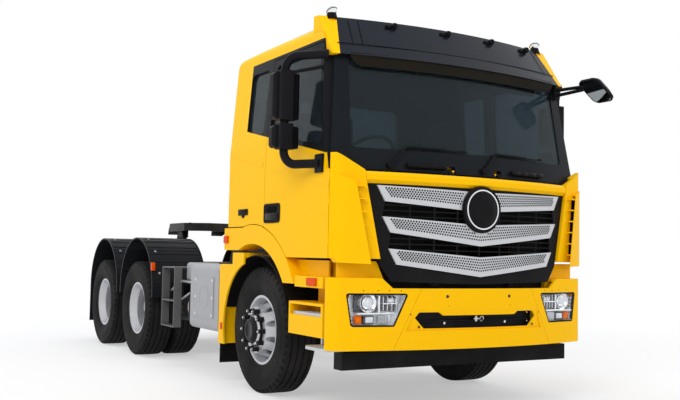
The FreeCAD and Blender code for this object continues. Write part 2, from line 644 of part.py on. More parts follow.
def front_flap():
    """Painted upper strip that carries the hinges and the black surround below it."""
    skin = [(FRONT_Y + SURROUND_INSET, SURROUND_TOP_Z), (FRONT_Y, SURROUND_TOP_Z + SURROUND_INSET),
            (FRONT_Y, FLAP_TOP_Z - SURROUND_INSET), (FRONT_Y + SURROUND_INSET, FLAP_TOP_Z),
            (FRONT_Y + SURROUND_INSET + FLAP_WALL, FLAP_TOP_Z),
            (FRONT_Y + SURROUND_INSET + FLAP_WALL, SURROUND_TOP_Z)]
    outline = both_sides([(FLAP_TOP_HALF, FLAP_TOP_Z + OVERCUT), (FLAP_TOP_HALF, FLAP_TOP_Z),
                          (SURROUND_TOP_HALF, SURROUND_TOP_Z - OVERCUT)])
    arm = side_prism([(HINGE_Y - HINGE_EYE, HINGE_Z), (HINGE_Y + HINGE_EYE, HINGE_Z),
                      (FRONT_Y + SURROUND_INSET + 2 * FLAP_WALL, FLAP_TOP_Z - FLAP_WALL),
                      (FRONT_Y + SURROUND_INSET + FLAP_WALL / 2, FLAP_TOP_Z - FLAP_WALL),
                      (FRONT_Y + SURROUND_INSET + FLAP_WALL / 2, FLAP_TOP_Z - SEAT_GAP)],
                     HINGE_X, HINGE_X + HINGE_ARM_WIDTH)
    eye = rod(point(HINGE_X, HINGE_Y, HINGE_Z), point(HINGE_X + HINGE_ARM_WIDTH, HINGE_Y, HINGE_Z),
              HINGE_EYE)
    bore = rod(point(0, HINGE_Y, HINGE_Z), point(2 * HINGE_X, HINGE_Y, HINGE_Z),
               HINGE_PIN + SEAT_GAP)
    arm = fused(arm, eye).cut(bore)
    return fused(flap_piece(skin, outline), arm, mirrored(arm))


def flap_hinge():
    """Bracket on the cab's front wall with the pin of one flap hinge."""
    start = HINGE_X - HINGE_ARM_GAP - HINGE_BRACKET_WIDTH
    plate = box(start, start + HINGE_BRACKET_WIDTH, HINGE_Y, CAB_FRONT_WALL_Y + WALL / 2,
                HINGE_Z - HINGE_EYE, HINGE_Z + HINGE_EYE)
    eye = rod(point(start, HINGE_Y, HINGE_Z), point(start + HINGE_BRACKET_WIDTH, HINGE_Y, HINGE_Z),
              HINGE_EYE)
    pin = rod(point(start, HINGE_Y, HINGE_Z), point(HINGE_X + HINGE_ARM_WIDTH, HINGE_Y, HINGE_Z),
              HINGE_PIN)
    return fused(plate, eye, pin)


def hinge_notch():
    """Room in the cowl's lower edge for one hinge."""
    return box(HINGE_X - HINGE_ARM_GAP - HINGE_BRACKET_WIDTH - HINGE_ROOM,
               HINGE_X + HINGE_ARM_WIDTH + HINGE_ROOM, FRONT_Y, CAB_FRONT_WALL_Y,
               COWL_Z - OVERCUT, HINGE_Z + HINGE_EYE + 4 * HINGE_ROOM)


def bar_outline(level):
    """One silver bar seen from the front: a shallow V with cut-back ends."""
    top = BAR_TOPS_Z[level]
    half = BAR_HALVES[level]
    return both_sides([(0, BAR_MIDS_Z[level]), (half, top), (half - BAR_END_RUN, top - BAR_DEPTH),
                       (0, BAR_TIPS_Z[level])])


def surround_outline():
    return both_sides([(SURROUND_TOP_HALF, SURROUND_TOP_Z - SEAT_GAP),
                       (SURROUND_KNEE_HALF, SURROUND_KNEE_Z), (SURROUND_LOW_HALF, SURROUND_LOW_Z),
                       (0, SURROUND_TIP_Z)])


def vent_outline(level, grow):
    """The opening between a bar and the next one down."""
    under = level + 1
    return both_sides([(0, BAR_TIPS_Z[level] + BAR_LAP + grow),
                       (BAR_HALVES[level] - BAR_END_RUN - BAR_LAP + grow,
                        BAR_TOPS_Z[level] - BAR_DEPTH + BAR_LAP + grow),
                       (BAR_HALVES[under] - BAR_LAP + grow, BAR_TOPS_Z[under] - BAR_LAP - grow),
                       (0, BAR_MIDS_Z[under] - BAR_LAP - grow)])


def vent_slats(level, face):
    """Level slats and upright ribs that fill one opening of the surround."""
    layer = swept([(face + SLAT_SET, SURROUND_TIP_Z), (face + SLAT_SET, SURROUND_TOP_Z),
                   (face + SURROUND_WALL, SURROUND_TOP_Z), (face + SURROUND_WALL, SURROUND_TIP_Z)])
    half = BAR_HALVES[level]
    strips = []
    z = BAR_MIDS_Z[level + 1]
    while z < BAR_TOPS_Z[level] - BAR_DEPTH:
        strips.append(box(-half, half, FRONT_Y, 0, z, z + SLAT_WALL))
        z += SLAT_PITCH
    for index in range(-RIB_SIDE_COUNT, RIB_SIDE_COUNT + 1):
        x = index * RIB_PITCH
        strips.append(box(x - RIB_WALL / 2, x + RIB_WALL / 2, FRONT_Y, 0, SURROUND_TIP_Z,
                          SURROUND_TOP_Z))
    grid = fused(*strips).common(front_prism(vent_outline(level, BAR_LAP), FRONT_Y, 0))
    return layer.common(grid)


def grille_surround():
    """Black panel behind the bars, opened between them and filled with slats."""
    face = FRONT_Y + SURROUND_INSET
    panel = flap_piece([(face, SURROUND_TIP_Z - OVERCUT), (face, SURROUND_TOP_Z),
                        (face + SURROUND_WALL, SURROUND_TOP_Z),
                        (face + SURROUND_WALL, SURROUND_TIP_Z - OVERCUT)], surround_outline())
    levels = range(len(BAR_TOPS_Z) - 1)
    vents = [front_prism(vent_outline(level, 0), FRONT_Y, 0) for level in levels]
    return fused(panel.cut(vents), *[vent_slats(level, face) for level in levels])


def grille_bars():
    front = FRONT_Y + SURROUND_INSET - BAR_WALL
    bars = []
    for level in range(len(BAR_TOPS_Z)):
        bars.append(flap_piece([(front, SURROUND_TIP_Z), (front, SURROUND_TOP_Z),
                                (front + BAR_WALL - SEAT_GAP, SURROUND_TOP_Z),
                                (front + BAR_WALL - SEAT_GAP, SURROUND_TIP_Z)],
                               bar_outline(level)))
    centre = point(0, FRONT_Y - BADGE_STAND, BADGE_Z)
    badge = rod(centre, centre + point(0, BADGE_STAND + SURROUND_INSET - 2 * SEAT_GAP, 0),
                BADGE_RADIUS)
    return fused(*bars, badge)


# Wheel arches on the cab, mudguards and steps on the chassis

ARCH_OUTER_RADIUS = 898.0
ARCH_INNER_RADIUS = 738.0
ARCH_INNER_X = 1060.0
ARCH_REAR_Y = 600.0
ARCH_REAR_LOW_Z = 1222.0
ARCH_TOP_Z = 1420.0
ARCH_LEG_Z = 965.0
ARCH_LEG_FRONT_Y = -790.0
ARCH_SKIN = 30.0
LINER_RADIUS = 640.0
LINER_WALL = 8.0
LINER_INNER_X = 600.0
LINER_OUTER_X = 1200.0
LINER_LOW_Z = 700.0
STAY_HALF = 30.0
GUARD_REAR_Y = 690.0
GUARD_FRONT_LOW_Y = 500.0
GUARD_LOW_Z = 370.0
GUARD_TOP_Z = 1094.0
GUARD_NECK_TOP_Z = 1200.0
GUARD_NECK_REAR_Y = 400.0
GUARD_NECK_FRONT_Y = 160.0
GUARD_LIP_RADIUS = 585.0
GUARD_WALL = 16.0
GUARD_INNER_X = 700.0
GUARD_STAY_Z = 900.0
FLAP_LOW_Z = 190.0
MUD_FLAP_WALL = 10.0
STEP_FRONT_Y = -1262.0
STEP_REAR_Y = -815.0
STEP_INNER_X = 1030.0
FASCIA_LOW_Z = 945.0
FASCIA_TOP_Z = 1030.0
RISER_TOP_Z = 1150.0
RISER_X = 1095.0
BOX_LOW_Z = 580.0
BOX_TOP_Z = 830.0
BOX_REAR_Y = -725.0
LOW_STEP_Z = 480.0
LOW_STEP_WALL = 24.0
LOW_STEP_RADIUS = 70.0
BOX_FACE = 150.0
LOW_STEP_FRONT_Y = -1290.0
LOW_STEP_REAR_Y = -960.0
STEP_SKIN = 20.0


def cab_arches():
    """Painted arch panels under the cab sides."""
    ring = side_prism([(-ARCH_OUTER_RADIUS, ARCH_LEG_Z), (-ARCH_OUTER_RADIUS, ARCH_TOP_Z),
                       (ARCH_REAR_Y, ARCH_TOP_Z), (ARCH_REAR_Y, ARCH_REAR_LOW_Z),
                       (0, ARCH_REAR_LOW_Z), (0, ARCH_LEG_Z)], ARCH_INNER_X, CAB_HALF)
    centre = point(ARCH_INNER_X - OVERCUT, 0, AXLE_Z)
    far = point(CAB_HALF + OVERCUT, 0, AXLE_Z)
    disc = rod(centre, far, ARCH_OUTER_RADIUS)
    rear = box(ARCH_INNER_X, CAB_HALF, 0, ARCH_REAR_Y, ARCH_REAR_LOW_Z, ARCH_TOP_Z)
    ahead = box(ARCH_INNER_X, CAB_HALF, -ARCH_OUTER_RADIUS, ARCH_LEG_FRONT_Y, ARCH_LEG_Z - OVERCUT,
                CORNER_LOW_Z)
    body = ring.common(fused(disc, rear)).cut([rod(centre, far, ARCH_INNER_RADIUS), ahead])
    pocket = body.common(box(ARCH_INNER_X, CAB_HALF - ARCH_SKIN, -ARCH_OUTER_RADIUS, ARCH_REAR_Y,
                             ARCH_LEG_Z - OVERCUT, ARCH_TOP_Z - ARCH_SKIN))
    hollow = pocket.common(rod(centre, far, ARCH_OUTER_RADIUS - ARCH_SKIN))
    hollow = hollow.cut(rod(centre, far, ARCH_INNER_RADIUS + ARCH_SKIN))
    hollow = hollow.common(box(ARCH_INNER_X, CAB_HALF, -ARCH_OUTER_RADIUS, ARCH_REAR_Y - ARCH_SKIN,
                               ARCH_LEG_Z + ARCH_SKIN, ARCH_TOP_Z))
    lip = tube(centre, far, ARCH_CUT_RADIUS - SEAT_GAP, ARCH_OUTER_RADIUS - ARCH_SKIN / 2)
    lip = lip.common(box(ARCH_INNER_X, ARCH_INNER_X + ARCH_SKIN, -ARCH_CUT_RADIUS, 0,
                         SILL_Z + OVERCUT, REAR_FLOOR_Z - SEAT_GAP))
    ledge = box(ARCH_INNER_X, ARCH_INNER_X + ARCH_SKIN, 0, CAB_REAR_Y - WALL, ARCH_TOP_Z - ARCH_SKIN / 2,
                REAR_FLOOR_Z - SEAT_GAP)
    return pair(fused(body.cut(hollow), lip, ledge))


def arch_liners():
    """Black half-round liners over the front wheels, and the rubber flaps behind them."""
    centre = point(LINER_INNER_X, 0, AXLE_Z)
    far = point(LINER_OUTER_X, 0, AXLE_Z)
    ring = tube(centre, far, LINER_RADIUS, LINER_RADIUS - LINER_WALL)
    keep = box(LINER_INNER_X, LINER_OUTER_X, -LINER_RADIUS, LINER_RADIUS, LINER_LOW_Z,
               AXLE_Z + LINER_RADIUS)
    stay_z = AXLE_Z + LINER_RADIUS - LINER_WALL / 2
    stay = box(RAIL_OUTER_X, LINER_INNER_X + OVERCUT, -STAY_HALF, STAY_HALF, stay_z - OVERCUT,
               stay_z)
    web = box(RAIL_OUTER_X, RAIL_OUTER_X + LINER_WALL, -STAY_HALF, STAY_HALF,
              RAIL_TOP_Z - OVERCUT, stay_z)
    rubber = mud_flap(GUARD_INNER_X + GUARD_WALL, CAB_HALF - GUARD_WALL - SEAT_GAP,
                      GUARD_REAR_Y - LINER_WALL - MUD_FLAP_WALL - SEAT_GAP, FLAP_LOW_Z,
                      GUARD_LOW_Z + RAIL_WIDTH)
    liner = fused(ring.common(keep), stay, web)
    return Part.makeCompound([*pair(liner).Solids, *pair(rubber).Solids])


def guard_outline(fit):
    """A front guard seen from the side, drawn in by fit; the arc towards the wheel is cut later."""
    low = GUARD_LOW_Z - (OVERCUT if fit else 0)
    return [(GUARD_FRONT_LOW_Y, low), (GUARD_REAR_Y - fit, low),
            (GUARD_REAR_Y - fit, GUARD_TOP_Z - fit), (GUARD_NECK_REAR_Y - fit, GUARD_TOP_Z - fit),
            (GUARD_NECK_REAR_Y - fit, GUARD_NECK_TOP_Z - fit),
            (GUARD_NECK_FRONT_Y + fit, GUARD_NECK_TOP_Z - fit),
            (GUARD_NECK_FRONT_Y + fit, ARCH_LEG_Z)]


def front_mudguards():
    """Painted guards that close the arch behind the front wheels, hollow on their inner side."""
    def wheel_room(radius):
        return rod(point(0, 0, AXLE_Z), point(CAB_HALF + OVERCUT, 0, AXLE_Z), radius)
    corners = [0, 0, MOUNT_WALL * 3, MOUNT_WALL, MOUNT_WALL, 0, 0]
    shell = side_prism(guard_outline(0), GUARD_INNER_X, CAB_HALF, corners)
    hollow = side_prism(guard_outline(LINER_WALL), GUARD_INNER_X - OVERCUT, CAB_HALF - GUARD_WALL)
    lip = shell.common(box(CAB_HALF - GUARD_WALL, CAB_HALF, 0, CAB_HALF, 0, CAB_HALF))
    shell = shell.cut([hollow.cut(wheel_room(LINER_RADIUS + LINER_WALL)),
                       wheel_room(LINER_RADIUS + SEAT_GAP)])
    stay = box(RAIL_OUTER_X, GUARD_INNER_X + LINER_WALL, GUARD_REAR_Y - STAY_HALF, GUARD_REAR_Y,
               GUARD_STAY_Z, GUARD_STAY_Z + RAIL_WIDTH)
    return pair(fused(shell, lip.cut(wheel_room(GUARD_LIP_RADIUS)), stay))


def mud_flap(x0, x1, y, z0, z1):
    return box(x0, x1, y, y + MUD_FLAP_WALL, z0, z1)


def side_steps():
    """Painted step fairings between the bumper and the front wheels."""
    fascia = box(STEP_INNER_X, CAB_HALF, STEP_FRONT_Y, STEP_REAR_Y, FASCIA_LOW_Z, FASCIA_TOP_Z)
    riser = box(RISER_X - STEP_SKIN, RISER_X, STEP_FRONT_Y, STEP_REAR_Y, FASCIA_TOP_Z - STEP_SKIN,
                RISER_TOP_Z)
    well = box(STEP_INNER_X, CAB_HALF - STEP_SKIN, STEP_FRONT_Y + STEP_SKIN, STEP_REAR_Y - STEP_SKIN,
               FASCIA_LOW_Z - OVERCUT, FASCIA_TOP_Z - STEP_SKIN)
    lower = box(STEP_INNER_X, CAB_HALF, LOW_STEP_FRONT_Y + STEP_SKIN, BOX_REAR_Y, BOX_LOW_Z,
                BOX_TOP_Z)
    bin_space = box(STEP_INNER_X + STEP_SKIN, CAB_HALF + OVERCUT, STEP_FRONT_Y + STEP_SKIN,
                    BOX_REAR_Y - STEP_SKIN, BOX_LOW_Z + BOX_FACE, BOX_TOP_Z - STEP_SKIN)
    back = box(STEP_INNER_X - STEP_SKIN, STEP_INNER_X, STEP_FRONT_Y, STEP_REAR_Y, BOX_LOW_Z,
               FASCIA_TOP_Z)
    arm = box(RAIL_OUTER_X, STEP_INNER_X, (STEP_FRONT_Y + STEP_REAR_Y) / 2 - STAY_HALF,
              (STEP_FRONT_Y + STEP_REAR_Y) / 2 + STAY_HALF, FASCIA_LOW_Z, FASCIA_TOP_Z - STEP_SKIN)
    return pair(fused(fascia.cut(well), riser, lower.cut(bin_space), back, arm))


def step_treads():
    """Light metal treads: one on each step bin and one low step on its hangers."""
    low = plan_prism([(STEP_INNER_X, LOW_STEP_FRONT_Y), (CAB_HALF, LOW_STEP_FRONT_Y),
                      (CAB_HALF, LOW_STEP_REAR_Y), (STEP_INNER_X, LOW_STEP_REAR_Y)], LOW_STEP_Z,
                     LOW_STEP_Z + LOW_STEP_WALL, [0, LOW_STEP_RADIUS, LOW_STEP_RADIUS, 0])
    hangers = [box(STEP_INNER_X + STEP_SKIN, STEP_INNER_X + 3 * STEP_SKIN, y, y + LOW_STEP_WALL,
                   LOW_STEP_Z + LOW_STEP_WALL - SEAT_GAP, BOX_LOW_Z)
               for y in (LOW_STEP_FRONT_Y + 2 * STEP_SKIN, LOW_STEP_REAR_Y - 2 * STEP_SKIN)]
    tread = box(STEP_INNER_X + 2 * STEP_SKIN, CAB_HALF - STEP_SKIN, STEP_FRONT_Y + 2 * STEP_SKIN,
                BOX_REAR_Y - 2 * STEP_SKIN, BOX_LOW_Z + BOX_FACE,
                BOX_LOW_Z + BOX_FACE + LOW_STEP_WALL)
    return Part.makeCompound([*pair(fused(low, *hangers)).Solids, *pair(tread).Solids])


# Bumper, lamps and under-run bar

BUMPER_TOP_Z = 955.0
BUMPER_LOW_Z = 498.0
BUMPER_SIDE_TOP_Z = 1030.0
BUMPER_BACK_Y = -1300.0
BUMPER_WALL = 22.0
SEAM_TOP_HALF = 540.0
SEAM_LOW_HALF = 790.0
SEAM_GAP = 3.0
LAMP_TOP_Z = 918.0
LAMP_LOW_Z = 672.0
LAMP_INNER_TOP = 648.0
LAMP_INNER_LOW = 763.0
LAMP_OUTER_TOP = 1140.0
LAMP_OUTER_LOW = 1100.0
LAMP_DEPTH = 90.0
LAMP_FIT = 2.0
INTAKE_TOP_Z = 777.0
INTAKE_STEP_Z = 752.0
INTAKE_TIP_Z = 735.0
INTAKE_LOW_Z = 655.0
INTAKE_TOP_HALF = 595.0
INTAKE_LOW_HALF = 515.0
INTAKE_STEP_HALF = 385.0
INTAKE_STEP = 35.0
RECESS_TOP_Z = 800.0
RECESS_DEPTH = 13.0
RECESS_TOP_HALF = 600.0
RECESS_LOW_HALF = 668.0
SHELF_Z = 640.0
LAMP_RADIUS = 18.0
PLATE_HOLE_X = 303.0
PLATE_HOLES_Z = (824.0, 894.0)
PLATE_HOLE_RADIUS = 5.0
BAR_FRONT_Y = -1331.0
BAR_BACK_Y = -1215.0
UNDER_BAR_HALF = 1110.0
UNDER_BAR_LOW_Z = 346.0
UNDER_BAR_TOP_Z = 473.0
BEAM_LOW_Z = 560.0
BEAM_TOP_Z = 630.0
BEAM_DEPTH = 40.0
INSERT_TOP_Z = 800.0
INSERT_WALL = 6.0
INSERT_LEDGE = 24.0
INSERT_LEDGE_Z = 712.0


def lamp_outline(fit):
    return [(LAMP_INNER_TOP + fit, LAMP_TOP_Z - fit), (LAMP_OUTER_TOP - fit, LAMP_TOP_Z - fit),
            (LAMP_OUTER_LOW - fit, LAMP_LOW_Z + fit), (LAMP_INNER_LOW + fit, LAMP_LOW_Z + fit)]


def bumper_skin():
    outer = plan_body(CAB_HALF, FRONT_Y, BUMPER_BACK_Y, CORNER_RADIUS, BUMPER_LOW_Z,
                      BUMPER_SIDE_TOP_Z)
    inner = plan_body(CAB_HALF - BUMPER_WALL, FRONT_Y + BUMPER_WALL, BUMPER_BACK_Y + OVERCUT,
                      CORNER_RADIUS - BUMPER_WALL, BUMPER_LOW_Z - OVERCUT,
                      BUMPER_SIDE_TOP_Z - BUMPER_WALL)
    skin = outer.cut(inner)
    lid = front_prism(both_sides([(SURROUND_KNEE_HALF, BUMPER_SIDE_TOP_Z + OVERCUT),
                                  (SURROUND_KNEE_HALF, BUMPER_SIDE_TOP_Z),
                                  (SURROUND_LOW_HALF, BUMPER_TOP_Z)]),
                      FRONT_Y - OVERCUT, 0)
    return skin.cut(lid)


def bumper():
    """Three painted pieces: a centre with the lower opening, and two corners round the lamps."""
    skin = bumper_skin()
    seam = both_sides([(SEAM_TOP_HALF, BUMPER_SIDE_TOP_Z + OVERCUT),
                       (SEAM_TOP_HALF, BUMPER_TOP_Z), (SEAM_LOW_HALF, BUMPER_LOW_Z - OVERCUT)])
    wide = [(x + math.copysign(SEAM_GAP, x), z) for x, z in seam]
    middle = skin.common(front_prism(seam, FRONT_Y - OVERCUT, 0))
    intake = front_prism(both_sides([(INTAKE_STEP_HALF - INTAKE_STEP, INTAKE_STEP_Z),
                                     (INTAKE_STEP_HALF, INTAKE_TOP_Z),
                                     (INTAKE_TOP_HALF - INTAKE_STEP, INTAKE_TOP_Z),
                                     (INTAKE_TOP_HALF, INTAKE_TIP_Z),
                                     (INTAKE_LOW_HALF, INTAKE_LOW_Z)]), FRONT_Y - OVERCUT, 0)
    recess = swept([(FRONT_Y - OVERCUT, RECESS_TOP_Z), (FRONT_Y, RECESS_TOP_Z),
                    (FRONT_Y + RECESS_DEPTH, SHELF_Z), (FRONT_Y - OVERCUT, SHELF_Z)]).common(
        front_prism(both_sides([(RECESS_TOP_HALF, RECESS_TOP_Z), (RECESS_LOW_HALF, SHELF_Z)]),
                    FRONT_Y - WALL - OVERCUT, 0))
    holes = [rod(point(x, FRONT_Y - OVERCUT, z), point(x, FRONT_Y + 2 * WALL, z), PLATE_HOLE_RADIUS)
             for x in (-PLATE_HOLE_X, PLATE_HOLE_X) for z in PLATE_HOLES_Z]
    middle = middle.cut([intake, recess, *holes])
    ends = skin.cut(front_prism(wide, FRONT_Y - OVERCUT, 0))
    lamp = front_prism(lamp_outline(0), FRONT_Y - OVERCUT, BUMPER_BACK_Y - WALL / 2, LAMP_RADIUS)
    ends = ends.cut([lamp, mirrored(lamp)])
    return Part.makeCompound(middle.Solids + ends.Solids)


def headlamps():
    lamp = plan_body(CAB_HALF - SEAT_GAP, FRONT_Y + SEAT_GAP, BUMPER_BACK_Y, CORNER_RADIUS,
                     LAMP_LOW_Z, LAMP_TOP_Z)
    back = swept([(FRONT_Y + LAMP_DEPTH, LAMP_LOW_Z - OVERCUT),
                  (FRONT_Y + LAMP_DEPTH, LAMP_TOP_Z + OVERCUT), (0, LAMP_TOP_Z + OVERCUT),
                  (0, LAMP_LOW_Z - OVERCUT)])
    lens = front_prism(lamp_outline(SEAT_GAP), FRONT_Y - OVERCUT, 0, LAMP_RADIUS - SEAT_GAP)
    return pair(lamp.cut(back).common(lens))


def underrun_bar():
    """Curved beam that the bumper is bolted to, and the square bar below it, on arms from the rails."""
    bar = box(-UNDER_BAR_HALF, UNDER_BAR_HALF, BAR_FRONT_Y, BAR_BACK_Y, UNDER_BAR_LOW_Z,
              UNDER_BAR_TOP_Z)
    set_back = BUMPER_WALL + SEAT_GAP
    beam = plan_body(CAB_HALF - set_back, FRONT_Y + set_back, BUMPER_BACK_Y, CORNER_RADIUS - set_back,
                     BEAM_LOW_Z, BEAM_TOP_Z)
    beam = beam.cut(plan_body(CAB_HALF - set_back - BEAM_DEPTH, FRONT_Y + set_back + BEAM_DEPTH,
                              BUMPER_BACK_Y + OVERCUT, 0, BEAM_LOW_Z - OVERCUT,
                              BEAM_TOP_Z + OVERCUT))
    back_y = FRONT_Y + set_back + BEAM_DEPTH
    insert = swept([(back_y, BEAM_LOW_Z), (back_y, INSERT_TOP_Z),
                    (back_y + INSERT_WALL, INSERT_TOP_Z), (back_y + INSERT_WALL, BEAM_LOW_Z)])
    ledge = swept([(back_y - INSERT_LEDGE, INSERT_LEDGE_Z), (back_y, INSERT_LEDGE_Z),
                   (back_y, INSERT_LEDGE_Z - INSERT_WALL),
                   (back_y - INSERT_LEDGE, INSERT_LEDGE_Z - INSERT_WALL)])
    insert = fused(insert, ledge).common(
        front_prism(both_sides([(INTAKE_TOP_HALF, INSERT_TOP_Z), (INTAKE_TOP_HALF, BEAM_LOW_Z)]),
                    FRONT_Y, 0))
    arm = box(RAIL_OUTER_X - RAIL_WIDTH, RAIL_OUTER_X, BAR_BACK_Y, BAR_BACK_Y + RAIL_WIDTH,
              UNDER_BAR_LOW_Z, RAIL_LOW_Z)
    horn = box(RAIL_OUTER_X - RAIL_WIDTH, RAIL_OUTER_X, FRONT_Y + set_back + BEAM_DEPTH,
               BAR_BACK_Y + SEAT_GAP, BEAM_LOW_Z, BEAM_TOP_Z)
    return fused(bar, beam, insert, arm, mirrored(arm), horn, mirrored(horn))


# Chassis

CROSS_Y_SHARES = (0.0, 0.47, 0.66, 0.835, 1.0)
CROSS_WALL = 10.0
CROSS_HEIGHT = 220.0
RAIL_REAR_Y = 5230.0
PIVOT_BOSS_RADIUS = 28.0
PIVOT_PIN_RADIUS = 14.0
PIVOT_WIDTH = 60.0
PIVOT_GAP = 5.0
MOUNT_WALL = 14.0
REST_Y = 440.0
REST_PAD_Z = 1340.0


def frame_rails():
    """Two channels, open towards each other."""
    outline = [(RAIL_OUTER_X, RAIL_LOW_Z), (RAIL_OUTER_X, RAIL_TOP_Z),
               (RAIL_OUTER_X - RAIL_WIDTH, RAIL_TOP_Z),
               (RAIL_OUTER_X - RAIL_WIDTH, RAIL_TOP_Z - RAIL_WALL),
               (RAIL_OUTER_X - RAIL_WALL, RAIL_TOP_Z - RAIL_WALL),
               (RAIL_OUTER_X - RAIL_WALL, RAIL_LOW_Z + RAIL_WALL),
               (RAIL_OUTER_X - RAIL_WIDTH, RAIL_LOW_Z + RAIL_WALL),
               (RAIL_OUTER_X - RAIL_WIDTH, RAIL_LOW_Z)]
    return pair(front_prism(outline, RAIL_FRONT_Y, RAIL_REAR_Y))


def channel_cross(y):
    """One channel cross member between the rails' webs."""
    web_x = RAIL_OUTER_X - RAIL_WALL
    low = RAIL_LOW_Z + RAIL_WALL
    high = RAIL_TOP_Z - RAIL_WALL
    body = box(-web_x, web_x, y, y + RAIL_WIDTH, low, high)
    return body.cut(box(-web_x, web_x, y + CROSS_WALL, y + RAIL_WIDTH, low + CROSS_WALL,
                        high - CROSS_WALL))


def crossmembers():
    run = RAIL_REAR_Y - RAIL_FRONT_Y - RAIL_WIDTH
    members = [channel_cross(RAIL_FRONT_Y + share * run) for share in CROSS_Y_SHARES]
    return Part.makeCompound(members)


def cab_mounts():
    """Front pivot brackets on the rails and the rear rests that the lowered cab lies on."""
    inner = RAIL_OUTER_X - RAIL_WIDTH
    pivot = point(inner, CAB_PIVOT_Y, CAB_PIVOT_Z)
    boss = rod(pivot, pivot + point(PIVOT_WIDTH, 0, 0), PIVOT_BOSS_RADIUS)
    plate = box(inner, inner + PIVOT_WIDTH, CAB_PIVOT_Y, RAIL_FRONT_Y, CAB_PIVOT_Z - PIVOT_BOSS_RADIUS,
                CAB_PIVOT_Z + PIVOT_BOSS_RADIUS)
    flange = box(inner, RAIL_OUTER_X, RAIL_FRONT_Y - MOUNT_WALL, RAIL_FRONT_Y, RAIL_LOW_Z, RAIL_TOP_Z)
    pin_hole = rod(pivot - point(OVERCUT, 0, 0), pivot + point(PIVOT_WIDTH + OVERCUT, 0, 0),
                   PIVOT_PIN_RADIUS + SEAT_GAP)
    front = fused(boss, plate, flange).cut(pin_hole)
    post = box(inner, RAIL_OUTER_X, REST_Y, REST_Y + PIVOT_WIDTH, RAIL_TOP_Z, REST_PAD_Z)
    return Part.makeCompound([*pair(front).Solids, *pair(post).Solids])


def cab_pivot_arms():
    """Arms under the cab's front wall that reach forward to the pivots."""
    inner = RAIL_OUTER_X - RAIL_WIDTH + PIVOT_WIDTH + PIVOT_GAP
    pivot = point(inner, CAB_PIVOT_Y, CAB_PIVOT_Z)
    eye = rod(pivot, pivot + point(MOUNT_WALL * 2, 0, 0), PIVOT_BOSS_RADIUS)
    arm = side_prism([(CAB_PIVOT_Y - PIVOT_BOSS_RADIUS, CAB_PIVOT_Z),
                      (CAB_PIVOT_Y + PIVOT_BOSS_RADIUS, CAB_PIVOT_Z),
                      (CAB_FRONT_WALL_Y + 2 * WALL, SILL_Z + OVERCUT / 2),
                      (CAB_FRONT_WALL_Y, SILL_Z + OVERCUT / 2)], inner, inner + 2 * MOUNT_WALL)
    pin = rod(pivot - point(PIVOT_WIDTH + 2 * PIVOT_GAP, 0, 0), pivot, PIVOT_PIN_RADIUS)
    foot = box(inner, TUNNEL_HALF + WALL, CAB_FRONT_WALL_Y, CAB_FRONT_WALL_Y + 2 * WALL, SILL_Z,
               SILL_Z + OVERCUT / 2)
    return fused(eye, arm, pin, foot)


def rear_cab_rests():
    """Pads under the rear floor, above the chassis rests."""
    inner = RAIL_OUTER_X - RAIL_WIDTH
    return box(inner, RAIL_OUTER_X, REST_Y, REST_Y + PIVOT_WIDTH, REST_PAD_Z + SEAT_GAP,
               REAR_FLOOR_Z)


# Front axle, steering and springs

KINGPIN_X = 870.0
KINGPIN_RADIUS = 24.0
BEAM_HALF_HEIGHT = 60.0
BEAM_HALF_WIDTH = 50.0
BEAM_WEB = 24.0
BEAM_CENTRE_Z = 430.0
BEAM_DROP_X = 560.0
EYE_RADIUS = 55.0
EYE_HALF_HEIGHT = 70.0
KNUCKLE_GAP = 1.0
FORK_WALL = 40.0
SPINDLE_RADIUS = 45.0
SPRING_X = 475.0
SPRING_WIDTH = 90.0
SPRING_LEAF = 18.0
SPRING_LEAVES = 3
SPRING_HALF_LENGTH = 800.0
SPRING_SEAT_Z = 560.0
SPRING_END_Z = 660.0
ARM_Y = 170.0
TIE_Z = 380.0
TIE_RADIUS = 20.0
TIE_BALL_RADIUS = 30.0
SPINDLE_END_X = 1180.0
LEAF_STEP_SHARE = 0.22


